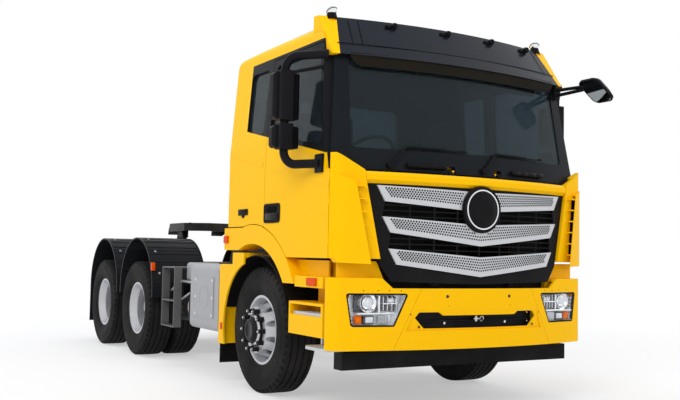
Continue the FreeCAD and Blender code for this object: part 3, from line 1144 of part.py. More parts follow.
def front_axle():
    """Dropped I-beam with a kingpin eye at each end."""
    low = BEAM_CENTRE_Z - BEAM_HALF_HEIGHT
    high = BEAM_CENTRE_Z + BEAM_HALF_HEIGHT
    rise = AXLE_Z - BEAM_CENTRE_Z
    outline = [(-BEAM_DROP_X, low), (BEAM_DROP_X, low),
               (KINGPIN_X - EYE_RADIUS / 2, low + rise), (KINGPIN_X - EYE_RADIUS / 2, high + rise),
               (BEAM_DROP_X - 2 * EYE_RADIUS, high), (-BEAM_DROP_X + 2 * EYE_RADIUS, high),
               (-KINGPIN_X + EYE_RADIUS / 2, high + rise), (-KINGPIN_X + EYE_RADIUS / 2, low + rise)]
    beam = front_prism(outline, -BEAM_HALF_WIDTH, BEAM_HALF_WIDTH)
    web_space = front_prism([(-BEAM_DROP_X + EYE_RADIUS, low + BEAM_WEB),
                             (BEAM_DROP_X - EYE_RADIUS, low + BEAM_WEB),
                             (KINGPIN_X - 3 * EYE_RADIUS, low + rise),
                             (KINGPIN_X - 3 * EYE_RADIUS, high + rise - 2 * BEAM_WEB),
                             (BEAM_DROP_X - 3 * EYE_RADIUS, high - BEAM_WEB),
                             (-BEAM_DROP_X + 3 * EYE_RADIUS, high - BEAM_WEB),
                             (-KINGPIN_X + 3 * EYE_RADIUS, high + rise - 2 * BEAM_WEB),
                             (-KINGPIN_X + 3 * EYE_RADIUS, low + rise)], BEAM_WEB / 2,
                            BEAM_HALF_WIDTH)
    beam = beam.cut([web_space, web_space.mirror(point(0, 0, 0), point(0, 1, 0))])
    eye = rod(point(KINGPIN_X, 0, AXLE_Z - EYE_HALF_HEIGHT), point(KINGPIN_X, 0, AXLE_Z + EYE_HALF_HEIGHT),
              EYE_RADIUS)
    pin = rod(point(KINGPIN_X, 0, AXLE_Z - EYE_HALF_HEIGHT - FORK_WALL),
              point(KINGPIN_X, 0, AXLE_Z + EYE_HALF_HEIGHT + FORK_WALL), KINGPIN_RADIUS)
    pads = box(SPRING_X - SPRING_WIDTH / 2, SPRING_X + SPRING_WIDTH / 2, -BEAM_HALF_WIDTH,
               BEAM_HALF_WIDTH, high - BEAM_WEB, SPRING_SEAT_Z)
    return fused(beam, eye, mirrored(eye), pin, mirrored(pin), pads, mirrored(pads))


def knuckle():
    """Fork round the axle eye with its wheel spindle and a rearward steering arm, left side."""
    bottom = AXLE_Z - EYE_HALF_HEIGHT - KNUCKLE_GAP - FORK_WALL
    top = AXLE_Z + EYE_HALF_HEIGHT + KNUCKLE_GAP
    tines = [rod(point(KINGPIN_X, 0, z), point(KINGPIN_X, 0, z + FORK_WALL), EYE_RADIUS)
             for z in (bottom, top)]
    back = KINGPIN_X + EYE_RADIUS + KNUCKLE_GAP
    links = [box(KINGPIN_X, back + FORK_WALL, -EYE_RADIUS, EYE_RADIUS, z, z + FORK_WALL)
             for z in (bottom, top)]
    plate = box(back, back + FORK_WALL, -EYE_RADIUS, EYE_RADIUS, bottom, top + FORK_WALL)
    spindle = rod(point(back, 0, AXLE_Z), point(SPINDLE_END_X, 0, AXLE_Z), SPINDLE_RADIUS)
    body = fused(*tines, *links, plate, spindle)
    ball = point(KINGPIN_X, ARM_Y, TIE_Z)
    arm = box(KINGPIN_X - TIE_BALL_RADIUS, KINGPIN_X + TIE_BALL_RADIUS, 0, ARM_Y, bottom,
              bottom + TIE_BALL_RADIUS)
    boss = rod(ball + point(0, 0, TIE_BALL_RADIUS + SEAT_GAP),
               point(KINGPIN_X, ARM_Y, bottom + TIE_BALL_RADIUS), TIE_BALL_RADIUS)
    hole = rod(point(KINGPIN_X, 0, bottom - OVERCUT), point(KINGPIN_X, 0, top + 2 * FORK_WALL),
               KINGPIN_RADIUS + SEAT_GAP)
    return fused(body, arm, boss).cut(hole)


def tie_rod():
    span = rod(point(-KINGPIN_X, ARM_Y, TIE_Z), point(KINGPIN_X, ARM_Y, TIE_Z), TIE_RADIUS)
    ends = [rod(point(side * KINGPIN_X, ARM_Y, TIE_Z - TIE_BALL_RADIUS),
                point(side * KINGPIN_X, ARM_Y, TIE_Z + TIE_BALL_RADIUS), TIE_BALL_RADIUS)
            for side in (-1, 1)]
    return fused(span, *ends)


def leaf(y_half, z, end_z, x, width, wall):
    """One curved leaf of a spring, from end to end."""
    low = Part.Arc(point(x - width / 2, -y_half, end_z), point(x - width / 2, 0, z),
                   point(x - width / 2, y_half, end_z)).toShape()
    high = low.translated(point(0, 0, wall))
    sides = [Part.LineSegment(a.Point, b.Point).toShape()
             for a, b in zip(low.Vertexes, high.Vertexes)]
    face = Part.Face(Part.Wire(Part.__sortEdges__([low, high] + sides)))
    return face.extrude(point(width, 0, 0))


def front_springs():
    leaves = []
    for index in range(SPRING_LEAVES):
        share = 1 - LEAF_STEP_SHARE * index
        rise = (SPRING_END_Z - SPRING_SEAT_Z) * share * share
        z = SPRING_SEAT_Z + (SPRING_LEAVES - 1 - index) * SPRING_LEAF
        leaves.append(leaf(SPRING_HALF_LENGTH * share, z, z + rise, SPRING_X, SPRING_WIDTH,
                           SPRING_LEAF))
    eyes = []
    for side in (-1, 1):
        y = side * SPRING_HALF_LENGTH
        z = SPRING_END_Z + SPRING_LEAVES * SPRING_LEAF
        eyes.append(rod(point(SPRING_X - SPRING_WIDTH / 2, y, z), point(SPRING_X + SPRING_WIDTH / 2, y, z),
                        2 * SPRING_LEAF))
        eyes.append(box(SPRING_X - SPRING_WIDTH / 2, SPRING_X + SPRING_WIDTH / 2, y - 2 * SPRING_LEAF,
                        y + 2 * SPRING_LEAF, z, RAIL_LOW_Z + RAIL_WIDTH))
    clamp = box(SPRING_X - SPRING_WIDTH / 2, SPRING_X + SPRING_WIDTH / 2, -BEAM_HALF_WIDTH,
                BEAM_HALF_WIDTH, SPRING_SEAT_Z, SPRING_SEAT_Z + (SPRING_LEAVES + 1) * SPRING_LEAF)
    return pair(fused(*leaves, *eyes, clamp))


# Wheels and tyres

BEAD_RADIUS = 285.0
FLANGE_RADIUS = 303.0
RIM_HALF_WIDTH = 115.0
RIM_WALL = 9.0
WELL_RADIUS = 248.0
DISC_OFFSET = 165.0
DISC_WALL = 14.0
BOLT_FACE_RADIUS = 195.0
BOLT_CIRCLE_RADIUS = 167.5
BOLT_COUNT = 10
HUB_RADIUS = 118.0
HUB_REACH = 66.0
HAND_HOLE_RADIUS = 26.0
HAND_HOLE_CIRCLE = 222.0
NUT_RADIUS = 17.0
NUT_REACH = 62.0
DRUM_RADIUS = 205.0
DRUM_INNER_X = 960.0
DRUM_WALL = 22.0
SHOULDER = 34.0
BEAD_FIT = 0.3
HOLE_TURN_SHARE = 0.5
HUB_STEP_SHARE = 0.3
HUB_NOSE_SHARE = 0.72
HUB_FIT = 1.0
MATE_X = (OUTER_TWIN_X + INNER_TWIN_X) / 2
REAR_HUB_RADIUS = 110.0
REAR_HUB_REACH = 130.0
AXLE_TUBE_RADIUS = 62.0
AXLE_END_X = 1010.0


def tyre(x, y):
    """Closed tyre carcass with straight shoulders, seated on the rim's beads."""
    half = TYRE_WIDTH / 2
    bead = RIM_HALF_WIDTH - RIM_WALL
    outline = [(x - bead + BEAD_FIT, BEAD_RADIUS), (x + bead - BEAD_FIT, BEAD_RADIUS),
               (x + bead - BEAD_FIT, FLANGE_RADIUS + RIM_WALL), (x + half, (TYRE_RADIUS + BEAD_RADIUS) / 2),
               (x + half - SHOULDER / 3, TYRE_RADIUS - SHOULDER), (x + half - SHOULDER, TYRE_RADIUS),
               (x - half + SHOULDER, TYRE_RADIUS), (x - half + SHOULDER / 3, TYRE_RADIUS - SHOULDER),
               (x - half, (TYRE_RADIUS + BEAD_RADIUS) / 2), (x - bead + BEAD_FIT, FLANGE_RADIUS + RIM_WALL)]
    return turned(outline, y, AXLE_Z)


def rim(x, y, way):
    """Rim barrel with flanges and the dished disc; way is +1 where the disc stands out along +X."""
    half = RIM_HALF_WIDTH
    low = BEAD_RADIUS - BEAD_FIT
    outer = [(-half, FLANGE_RADIUS), (-half + RIM_WALL, FLANGE_RADIUS), (-half + RIM_WALL, low),
             (-half / 3, WELL_RADIUS), (half / 3, WELL_RADIUS), (half - RIM_WALL, low),
             (half - RIM_WALL, FLANGE_RADIUS), (half, FLANGE_RADIUS)]
    inner = [(half, low - RIM_WALL), (half / 3, WELL_RADIUS - RIM_WALL),
             (-half / 3, WELL_RADIUS - RIM_WALL), (-half, low - RIM_WALL)]
    barrel = turned([(x + way * a, r) for a, r in outer + inner], y, AXLE_Z)
    disc = [(half / 3, WELL_RADIUS - RIM_WALL / 2), (half / 3 + DISC_WALL, WELL_RADIUS - RIM_WALL / 2),
            (DISC_OFFSET, BOLT_FACE_RADIUS), (DISC_OFFSET, HUB_RADIUS), (DISC_OFFSET - DISC_WALL, HUB_RADIUS),
            (DISC_OFFSET - DISC_WALL, BOLT_FACE_RADIUS - DISC_WALL)]
    dish = turned([(x + way * a, r) for a, r in disc], y, AXLE_Z)
    holes = []
    for index in range(BOLT_COUNT):
        turn = math.radians(360 * (index + HOLE_TURN_SHARE) / BOLT_COUNT)
        centre = point(x, y + HAND_HOLE_CIRCLE * math.cos(turn), AXLE_Z + HAND_HOLE_CIRCLE * math.sin(turn))
        holes.append(rod(centre, centre + point(way * (DISC_OFFSET + OVERCUT), 0, 0), HAND_HOLE_RADIUS))
    return fused(barrel, dish.cut(holes))


def nuts(face_x, y, way):
    """Ring of wheel nuts on the bolt circle."""
    ring = []
    for index in range(BOLT_COUNT):
        turn = math.radians(360 * index / BOLT_COUNT)
        start = point(face_x, y + BOLT_CIRCLE_RADIUS * math.cos(turn),
                      AXLE_Z + BOLT_CIRCLE_RADIUS * math.sin(turn))
        ring.append(rod(start, start + point(way * NUT_REACH, 0, 0), NUT_RADIUS))
    return ring


def front_wheel():
    """Left front wheel: rim, hub with nuts, and the brake drum behind the disc."""
    x = FRONT_TRACK_HALF
    face = x + DISC_OFFSET
    hub = turned([(face - OVERCUT, 0), (face - OVERCUT, HUB_RADIUS + DISC_WALL),
                  (face + HUB_REACH * HUB_STEP_SHARE, HUB_RADIUS + DISC_WALL),
                  (face + HUB_REACH, HUB_RADIUS * HUB_NOSE_SHARE), (face + HUB_REACH, 0)], 0,
                 AXLE_Z)
    drum = turned([(DRUM_INNER_X, DRUM_RADIUS - DRUM_WALL), (DRUM_INNER_X, DRUM_RADIUS),
                   (face - DISC_WALL + SEAT_GAP, DRUM_RADIUS - DRUM_WALL),
                   (face - DISC_WALL + SEAT_GAP, SPINDLE_RADIUS + DRUM_WALL),
                   (face - DISC_WALL - DRUM_WALL, SPINDLE_RADIUS + DRUM_WALL),
                   (face - DISC_WALL - DRUM_WALL, DRUM_RADIUS - 2 * DRUM_WALL)], 0, AXLE_Z)
    bore = rod(point(DRUM_INNER_X, 0, AXLE_Z), point(SPINDLE_END_X + HUB_FIT, 0, AXLE_Z),
               SPINDLE_RADIUS + HUB_FIT)
    sleeve = tube(point(DRUM_INNER_X + DRUM_WALL, 0, AXLE_Z), point(face, 0, AXLE_Z),
                  SPINDLE_RADIUS + DRUM_WALL + HUB_FIT, SPINDLE_RADIUS + HUB_FIT)
    return fused(rim(x, 0, 1), hub, drum, sleeve, *nuts(face - SEAT_GAP, 0, 1)).cut(bore)


def twin_wheel(y):
    """Left pair of rear wheels, disc to disc, with hub, nuts and drum."""
    outer = rim(OUTER_TWIN_X, y, -1)
    inner = rim(INNER_TWIN_X, y, 1)
    start = MATE_X - DRUM_WALL
    hub = rod(point(start, y, AXLE_Z), point(MATE_X + REAR_HUB_REACH, y, AXLE_Z), REAR_HUB_RADIUS)
    flange = rod(point(start, y, AXLE_Z), point(OUTER_TWIN_X - DISC_OFFSET, y, AXLE_Z),
                 BOLT_FACE_RADIUS - SEAT_GAP)
    drum = tube(point(INNER_TWIN_X - RIM_HALF_WIDTH, y, AXLE_Z),
                point(MATE_X - DRUM_WALL / 2, y, AXLE_Z), DRUM_RADIUS, DRUM_RADIUS - DRUM_WALL)
    drum_end = rod(point(start - DRUM_WALL, y, AXLE_Z), point(start, y, AXLE_Z), DRUM_RADIUS)
    drum = drum.common(rod(point(0, y, AXLE_Z), point(start, y, AXLE_Z), DRUM_RADIUS))
    bore = rod(point(0, y, AXLE_Z), point(AXLE_END_X + HUB_FIT, y, AXLE_Z), AXLE_TUBE_RADIUS + HUB_FIT)
    body = fused(outer, inner, hub, flange, drum, drum_end, *nuts(OUTER_TWIN_X - DISC_OFFSET, y, 1))
    return body.cut(bore)


# Drive axles, bogie and drive line

BANJO_RADIUS = 240.0
BANJO_HALF = 150.0
PINION_RADIUS = 110.0
PINION_REACH = 330.0
SADDLE_Z = 640.0
BOGIE_SPRING_X = 505.0
BOGIE_SPRING_WIDTH = 90.0
BOGIE_SPRING_HEIGHT = 120.0
TRUNNION_Z = 470.0
TRUNNION_RADIUS = 55.0
SHAFT_RADIUS = 55.0
BANJO_SHARE = 0.6
PINION_Z = 600.0
SHAFT_Z = 745.0
GEARBOX_REAR_Y = 1250.0
SPRING_TIP = 90.0
ENGINE_HALF = 330.0
ENGINE_FRONT_Y = -980.0
ENGINE_REAR_Y = 330.0
ENGINE_LOW_Z = 620.0
ENGINE_TOP_Z = 1380.0
GEARBOX_RADIUS = 240.0
ENGINE_MOUNT_Y = -700.0
GEARBOX_SHARE = 0.6


def drive_axle(y):
    """Axle casing: tube, round banjo and pinion housing."""
    casing = rod(point(-AXLE_END_X, y, AXLE_Z), point(AXLE_END_X, y, AXLE_Z), AXLE_TUBE_RADIUS)
    thick = rod(point(-BOGIE_SPRING_X - BOGIE_SPRING_WIDTH / 2, y, AXLE_Z),
                point(BOGIE_SPRING_X + BOGIE_SPRING_WIDTH / 2, y, AXLE_Z), AXLE_TUBE_RADIUS + DRUM_WALL)
    banjo = turned([(-BANJO_HALF, 0), (-BANJO_HALF, BANJO_RADIUS * BANJO_SHARE),
                    (-BANJO_HALF * BANJO_SHARE, BANJO_RADIUS),
                    (BANJO_HALF * BANJO_SHARE, BANJO_RADIUS),
                    (BANJO_HALF, BANJO_RADIUS * BANJO_SHARE), (BANJO_HALF, 0)], y, AXLE_Z)
    pinion = rod(point(0, y, PINION_Z), point(0, y - PINION_REACH, PINION_Z), PINION_RADIUS)
    return fused(casing, thick, banjo, pinion)


def drive_axles():
    return Part.makeCompound([drive_axle(MID_AXLE_Y), drive_axle(REAR_AXLE_Y)])


def propshafts():
    """Shafts from the gearbox to the first axle and on to the second."""
    pinion_y = MID_AXLE_Y - PINION_REACH
    first = rod(point(0, GEARBOX_REAR_Y, SHAFT_Z), point(0, pinion_y, PINION_Z), SHAFT_RADIUS)
    first = first.common(box(-SHAFT_RADIUS, SHAFT_RADIUS, GEARBOX_REAR_Y + SEAT_GAP,
                             pinion_y - SEAT_GAP, AXLE_Z, RAIL_TOP_Z))
    second = rod(point(0, MID_AXLE_Y + BANJO_RADIUS - OVERCUT, PINION_Z),
                 point(0, REAR_AXLE_Y - PINION_REACH - SEAT_GAP, PINION_Z), SHAFT_RADIUS)
    second = second.cut(turned([(-BANJO_HALF, 0), (-BANJO_HALF, BANJO_RADIUS + SEAT_GAP),
                                (BANJO_HALF, BANJO_RADIUS + SEAT_GAP), (BANJO_HALF, 0)], MID_AXLE_Y, AXLE_Z))
    return Part.makeCompound([first, second])


def bogie_suspension():
    """Rocking leaf packs on a trunnion, with rods to the axles."""
    half = BOGIE_SPREAD / 2
    low_z = AXLE_Z + AXLE_TUBE_RADIUS + DRUM_WALL + SEAT_GAP
    pack = side_prism([(BOGIE_Y - half - SPRING_TIP, low_z), (BOGIE_Y - half + SPRING_TIP, low_z),
                       (BOGIE_Y - SPRING_TIP, low_z), (BOGIE_Y + SPRING_TIP, low_z),
                       (BOGIE_Y + half - SPRING_TIP, low_z), (BOGIE_Y + half + SPRING_TIP, low_z),
                       (BOGIE_Y + half + SPRING_TIP, low_z + SPRING_LEAF * 2),
                       (BOGIE_Y + SPRING_TIP, low_z + BOGIE_SPRING_HEIGHT),
                       (BOGIE_Y - SPRING_TIP, low_z + BOGIE_SPRING_HEIGHT),
                       (BOGIE_Y - half - SPRING_TIP, low_z + SPRING_LEAF * 2)],
                      BOGIE_SPRING_X - BOGIE_SPRING_WIDTH / 2, BOGIE_SPRING_X + BOGIE_SPRING_WIDTH / 2)
    saddle = box(BOGIE_SPRING_X - BOGIE_SPRING_WIDTH / 2, BOGIE_SPRING_X + BOGIE_SPRING_WIDTH / 2,
                 BOGIE_Y - TRUNNION_RADIUS, BOGIE_Y + TRUNNION_RADIUS, TRUNNION_Z - TRUNNION_RADIUS, low_z)
    trunnion = rod(point(-BOGIE_SPRING_X - BOGIE_SPRING_WIDTH / 2, BOGIE_Y, TRUNNION_Z),
                   point(BOGIE_SPRING_X + BOGIE_SPRING_WIDTH / 2, BOGIE_Y, TRUNNION_Z), TRUNNION_RADIUS)
    hanger = box(RAIL_OUTER_X - RAIL_WIDTH, RAIL_OUTER_X + MOUNT_WALL, BOGIE_Y - 2 * TRUNNION_RADIUS,
                 BOGIE_Y + 2 * TRUNNION_RADIUS, TRUNNION_Z - TRUNNION_RADIUS, RAIL_LOW_Z)
    return fused(pack, mirrored(pack), saddle, mirrored(saddle), trunnion, hanger, mirrored(hanger))


def powertrain():
    """Engine as a plain block with the gearbox behind it."""
    block = box(-ENGINE_HALF, ENGINE_HALF, ENGINE_FRONT_Y, ENGINE_REAR_Y, ENGINE_LOW_Z, ENGINE_TOP_Z)
    gearbox = Part.makeCone(GEARBOX_RADIUS, GEARBOX_RADIUS * GEARBOX_SHARE,
                            GEARBOX_REAR_Y - ENGINE_REAR_Y,
                            point(0, ENGINE_REAR_Y, SHAFT_Z + OVERCUT), point(0, 1, 0))
    mount = box(ENGINE_HALF, RAIL_OUTER_X - RAIL_WALL, ENGINE_MOUNT_Y, ENGINE_MOUNT_Y + RAIL_WIDTH,
                RAIL_LOW_Z + RAIL_WALL + SEAT_GAP, RAIL_LOW_Z + RAIL_WIDTH)
    return fused(block, gearbox, mount, mirrored(mount))


# What hangs on the rails between the axles

EXHAUST_FRONT_Y = 775.0
EXHAUST_REAR_Y = 1500.0
EXHAUST_LOW_Z = 450.0
EXHAUST_TOP_Z = 1080.0
EXHAUST_OUTER_X = 1215.0
EXHAUST_INNER_X = 530.0
TANK_FRONT_Y = 775.0
TANK_REAR_Y = 2480.0
TANK_LOW_Z = 430.0
TANK_TOP_Z = 1060.0
TANK_OUTER_X = 1215.0
TANK_INNER_X = 530.0
TANK_CORNER = 120.0
STRAP_WIDTH = 60.0
STRAP_WALL = 6.0
STRAP_Y_SHARES = (0.16, 0.5, 0.84)
AIR_TANK_RADIUS = 130.0
AIR_TANK_X = 1010.0
AIR_TANK_Z = 600.0
AIR_TANK_FRONT_Y = 1540.0
AIR_TANK_REAR_Y = 2330.0
AIR_TANK_DOME = 60.0
LADDER_X = 1150.0
LADDER_FRONT_Y = 1930.0
LADDER_REAR_Y = 2310.0
LADDER_TREADS_Z = (680.0, 410.0)
LADDER_RAIL = 12.0
DECK_Z = 1040.0


def hung_box(x0, x1, y0, y1, z0, z1, corner):
    """Box with its four long edges rounded, at positive x."""
    return front_prism([(x0, z0), (x1, z0), (x1, z1), (x0, z1)], y0, y1, corner)


def exhaust_box():
    """Silencer and catalyst housing on the right side, with its bracket to the rail."""
    case = mirrored(hung_box(EXHAUST_INNER_X, EXHAUST_OUTER_X, EXHAUST_FRONT_Y, EXHAUST_REAR_Y,
                             EXHAUST_LOW_Z, EXHAUST_TOP_Z, TANK_CORNER / 2))
    plate = box(-EXHAUST_OUTER_X - STRAP_WALL, -EXHAUST_OUTER_X, EXHAUST_FRONT_Y + 2 * STRAP_WIDTH,
                EXHAUST_REAR_Y - 2 * STRAP_WIDTH, EXHAUST_LOW_Z + 2 * STRAP_WIDTH,
                EXHAUST_TOP_Z - 2 * STRAP_WIDTH)
    stay = box(-EXHAUST_INNER_X - OVERCUT, -RAIL_OUTER_X, EXHAUST_FRONT_Y + 2 * STRAP_WIDTH,
               EXHAUST_REAR_Y - STRAP_WIDTH, RAIL_LOW_Z, RAIL_LOW_Z + RAIL_WIDTH)
    return fused(case, plate, stay)


def fuel_tank():
    """Aluminium tank on the left side, held by three straps and brackets."""
    body = hung_box(TANK_INNER_X, TANK_OUTER_X, TANK_FRONT_Y, TANK_REAR_Y, TANK_LOW_Z, TANK_TOP_Z,
                    TANK_CORNER)
    straps = []
    for share in STRAP_Y_SHARES:
        y = TANK_FRONT_Y + share * (TANK_REAR_Y - TANK_FRONT_Y)
        straps.append(hung_box(TANK_INNER_X - STRAP_WALL, TANK_OUTER_X + STRAP_WALL, y - STRAP_WIDTH / 2,
                               y + STRAP_WIDTH / 2, TANK_LOW_Z - STRAP_WALL, TANK_TOP_Z + STRAP_WALL,
                               TANK_CORNER + STRAP_WALL))
        straps.append(box(RAIL_OUTER_X, TANK_INNER_X + OVERCUT, y - STRAP_WIDTH / 2, y + STRAP_WIDTH / 2,
                          RAIL_LOW_Z, RAIL_TOP_Z - OVERCUT))
    cap = rod(point(TANK_OUTER_X - 2 * TANK_CORNER, TANK_FRONT_Y + 2 * TANK_CORNER, TANK_TOP_Z),
              point(TANK_OUTER_X - 2 * TANK_CORNER, TANK_FRONT_Y + 2 * TANK_CORNER,
                    TANK_TOP_Z + OVERCUT), TANK_CORNER / 2)
    return fused(body, *straps, cap)


def air_tanks():
    """Long air reservoir on the right side and its bracket."""
    tank = rod(point(-AIR_TANK_X, AIR_TANK_FRONT_Y, AIR_TANK_Z),
               point(-AIR_TANK_X, AIR_TANK_REAR_Y, AIR_TANK_Z), AIR_TANK_RADIUS)
    tank = tank.makeFillet(AIR_TANK_DOME, [edge for edge in tank.Edges if edge.Closed])
    stays = [box(-AIR_TANK_X, -RAIL_OUTER_X, y, y + MOUNT_WALL, RAIL_LOW_Z, RAIL_LOW_Z + RAIL_WIDTH)
             for y in (AIR_TANK_FRONT_Y + 2 * STRAP_WIDTH, AIR_TANK_REAR_Y - 2 * STRAP_WIDTH)]
    posts = [box(-AIR_TANK_X - MOUNT_WALL, -AIR_TANK_X + MOUNT_WALL, y, y + MOUNT_WALL, AIR_TANK_Z,
                 RAIL_LOW_Z + RAIL_WIDTH)
             for y in (AIR_TANK_FRONT_Y + 2 * STRAP_WIDTH, AIR_TANK_REAR_Y - 2 * STRAP_WIDTH)]
    return fused(tank, *stays, *posts)


def deck_ladder():
    """Two-tread ladder up to the deck on the right side."""
    treads = [box(-CAB_HALF + LADDER_RAIL, -LADDER_X, LADDER_FRONT_Y, LADDER_REAR_Y, z, z + LADDER_RAIL)
              for z in LADDER_TREADS_Z]
    sides = [box(-CAB_HALF + LADDER_RAIL, -LADDER_X, y, y + LADDER_RAIL, LADDER_TREADS_Z[1],
                 DECK_Z)
             for y in (LADDER_FRONT_Y, LADDER_REAR_Y - LADDER_RAIL)]
    top = box(-CAB_HALF + LADDER_RAIL, -RAIL_OUTER_X, LADDER_FRONT_Y, LADDER_REAR_Y,
              DECK_Z - LADDER_RAIL, DECK_Z)
    return fused(*treads, *sides, top)


# Rear fenders and tail

FENDER_RADIUS = 602.0
FENDER_Z = 750.0
FENDER_WALL = 6.0
FENDER_INNER_X = 615.0
FENDER_OUTER_X = 1252.0
FENDER_LIP = 16.0
FENDER_DROP_Z = 690.0
REAR_FLAP_LOW_Z = 260.0
FENDER_STAY_Y = 536.0
FENDER_RIB_COUNT = 9
FENDER_RIB_RADIUS = 8.0
TAIL_BEAM_HALF = 1180.0
TAIL_BEAM_Z = 620.0
TAIL_BEAM_HEIGHT = 90.0
TAIL_LAMP_HALF = 190.0
TAIL_LAMP_X = 930.0
TAIL_LAMP_WALL = 50.0


def fender(y):
    """Half-round fender over one twin wheel, with a rolled edge on both sides."""
    def arch(x0, x1, radius, wall):
        upper = tube(point(x0, y, FENDER_Z), point(x1, y, FENDER_Z), radius, radius - wall)
        upper = upper.common(box(x0, x1, y - radius, y + radius, FENDER_Z, FENDER_Z + radius))
        legs = [box(x0, x1, y - radius, y - radius + wall, FENDER_DROP_Z, FENDER_Z),
                box(x0, x1, y + radius - wall, y + radius, FENDER_DROP_Z, FENDER_Z)]
        return [upper, *legs]
    skin = arch(FENDER_INNER_X, FENDER_OUTER_X, FENDER_RADIUS, FENDER_WALL)
    lips = arch(FENDER_OUTER_X - FENDER_LIP, FENDER_OUTER_X, FENDER_RADIUS + FENDER_WALL, FENDER_LIP)
    inner_lips = arch(FENDER_INNER_X, FENDER_INNER_X + FENDER_LIP, FENDER_RADIUS + FENDER_WALL, FENDER_LIP)
    stays = [rod(point(RAIL_OUTER_X, y + side * FENDER_STAY_Y, RAIL_TOP_Z - RAIL_WIDTH),
                 point(FENDER_OUTER_X - 2 * FENDER_LIP, y + side * FENDER_STAY_Y,
                       RAIL_TOP_Z - RAIL_WIDTH), FENDER_LIP) for side in (-1, 1)]
    ribs = []
    for index in range(FENDER_RIB_COUNT):
        turn = math.pi * (index + 0.5) / FENDER_RIB_COUNT
        rib_y = y + (FENDER_RADIUS - FENDER_WALL / 2) * math.cos(turn)
        rib_z = FENDER_Z + (FENDER_RADIUS - FENDER_WALL / 2) * math.sin(turn)
        ribs.append(rod(point(FENDER_INNER_X + FENDER_LIP, rib_y, rib_z),
                        point(FENDER_OUTER_X - FENDER_LIP, rib_y, rib_z), FENDER_RIB_RADIUS))
    return fused(*skin, *lips, *inner_lips, *stays, *ribs)


def drive_fenders():
    flaps = mud_flap(FENDER_INNER_X, FENDER_OUTER_X, REAR_AXLE_Y + FENDER_RADIUS - FENDER_WALL,
                     REAR_FLAP_LOW_Z, FENDER_DROP_Z)
    rear = fused(fender(REAR_AXLE_Y), flaps)
    middle = fender(MID_AXLE_Y)
    return Part.makeCompound([*pair(middle).Solids, *pair(rear).Solids])


def tail_beam():
    """Cross bar behind the rails that carries the tail lamps."""
    beam = box(-TAIL_BEAM_HALF, TAIL_BEAM_HALF, RAIL_REAR_Y, RAIL_REAR_Y + MOUNT_WALL, TAIL_BEAM_Z,
               TAIL_BEAM_Z + TAIL_BEAM_HEIGHT)
    plates = box(RAIL_OUTER_X - RAIL_WIDTH, RAIL_OUTER_X, RAIL_REAR_Y, RAIL_REAR_Y + MOUNT_WALL, TAIL_BEAM_Z,
                 RAIL_TOP_Z)
    return fused(beam, plates, mirrored(plates))


def tail_lamps():
    y = RAIL_REAR_Y + MOUNT_WALL
    lamp = box(TAIL_LAMP_X - TAIL_LAMP_HALF, TAIL_LAMP_X + TAIL_LAMP_HALF, y, TAIL_REACH, TAIL_BEAM_Z,
               TAIL_BEAM_Z + TAIL_BEAM_HEIGHT)
    return pair(lamp)


# Fifth wheel

PLATE_TOP_Z = 1570.0
PLATE_WALL = 42.0
PLATE_FRONT_Y = 3560.0
PLATE_REAR_Y = 4560.0
PLATE_HALF = 450.0
KINGPIN_Y = 3930.0
KINGPIN_BORE = 25.6
THROAT_HALF = 60.0
MOUTH_HALF = 230.0
PLATE_DROP_Z = 1470.0
SKIRT_DEPTH = 60.0
SKIRT_WALL = 16.0
TRUNNION_PLATE_Z = 1420.0
TRUNNION_PIN_RADIUS = 28.0
PEDESTAL_HALF = 130.0
PEDESTAL_WALL = 50.0
PEDESTAL_X = 380.0
SUBPLATE_WALL = 16.0
SUBPLATE_HALF = 470.0
SUBPLATE_FRONT_Y = 3300.0
SUBPLATE_REAR_Y = 4450.0
JAW_DEPTH = 90.0
TRUNNION_Y = 3990.0
EAR_WALL = 30.0
EAR_HALF = 70.0
PEDESTAL_GAP = 6.0


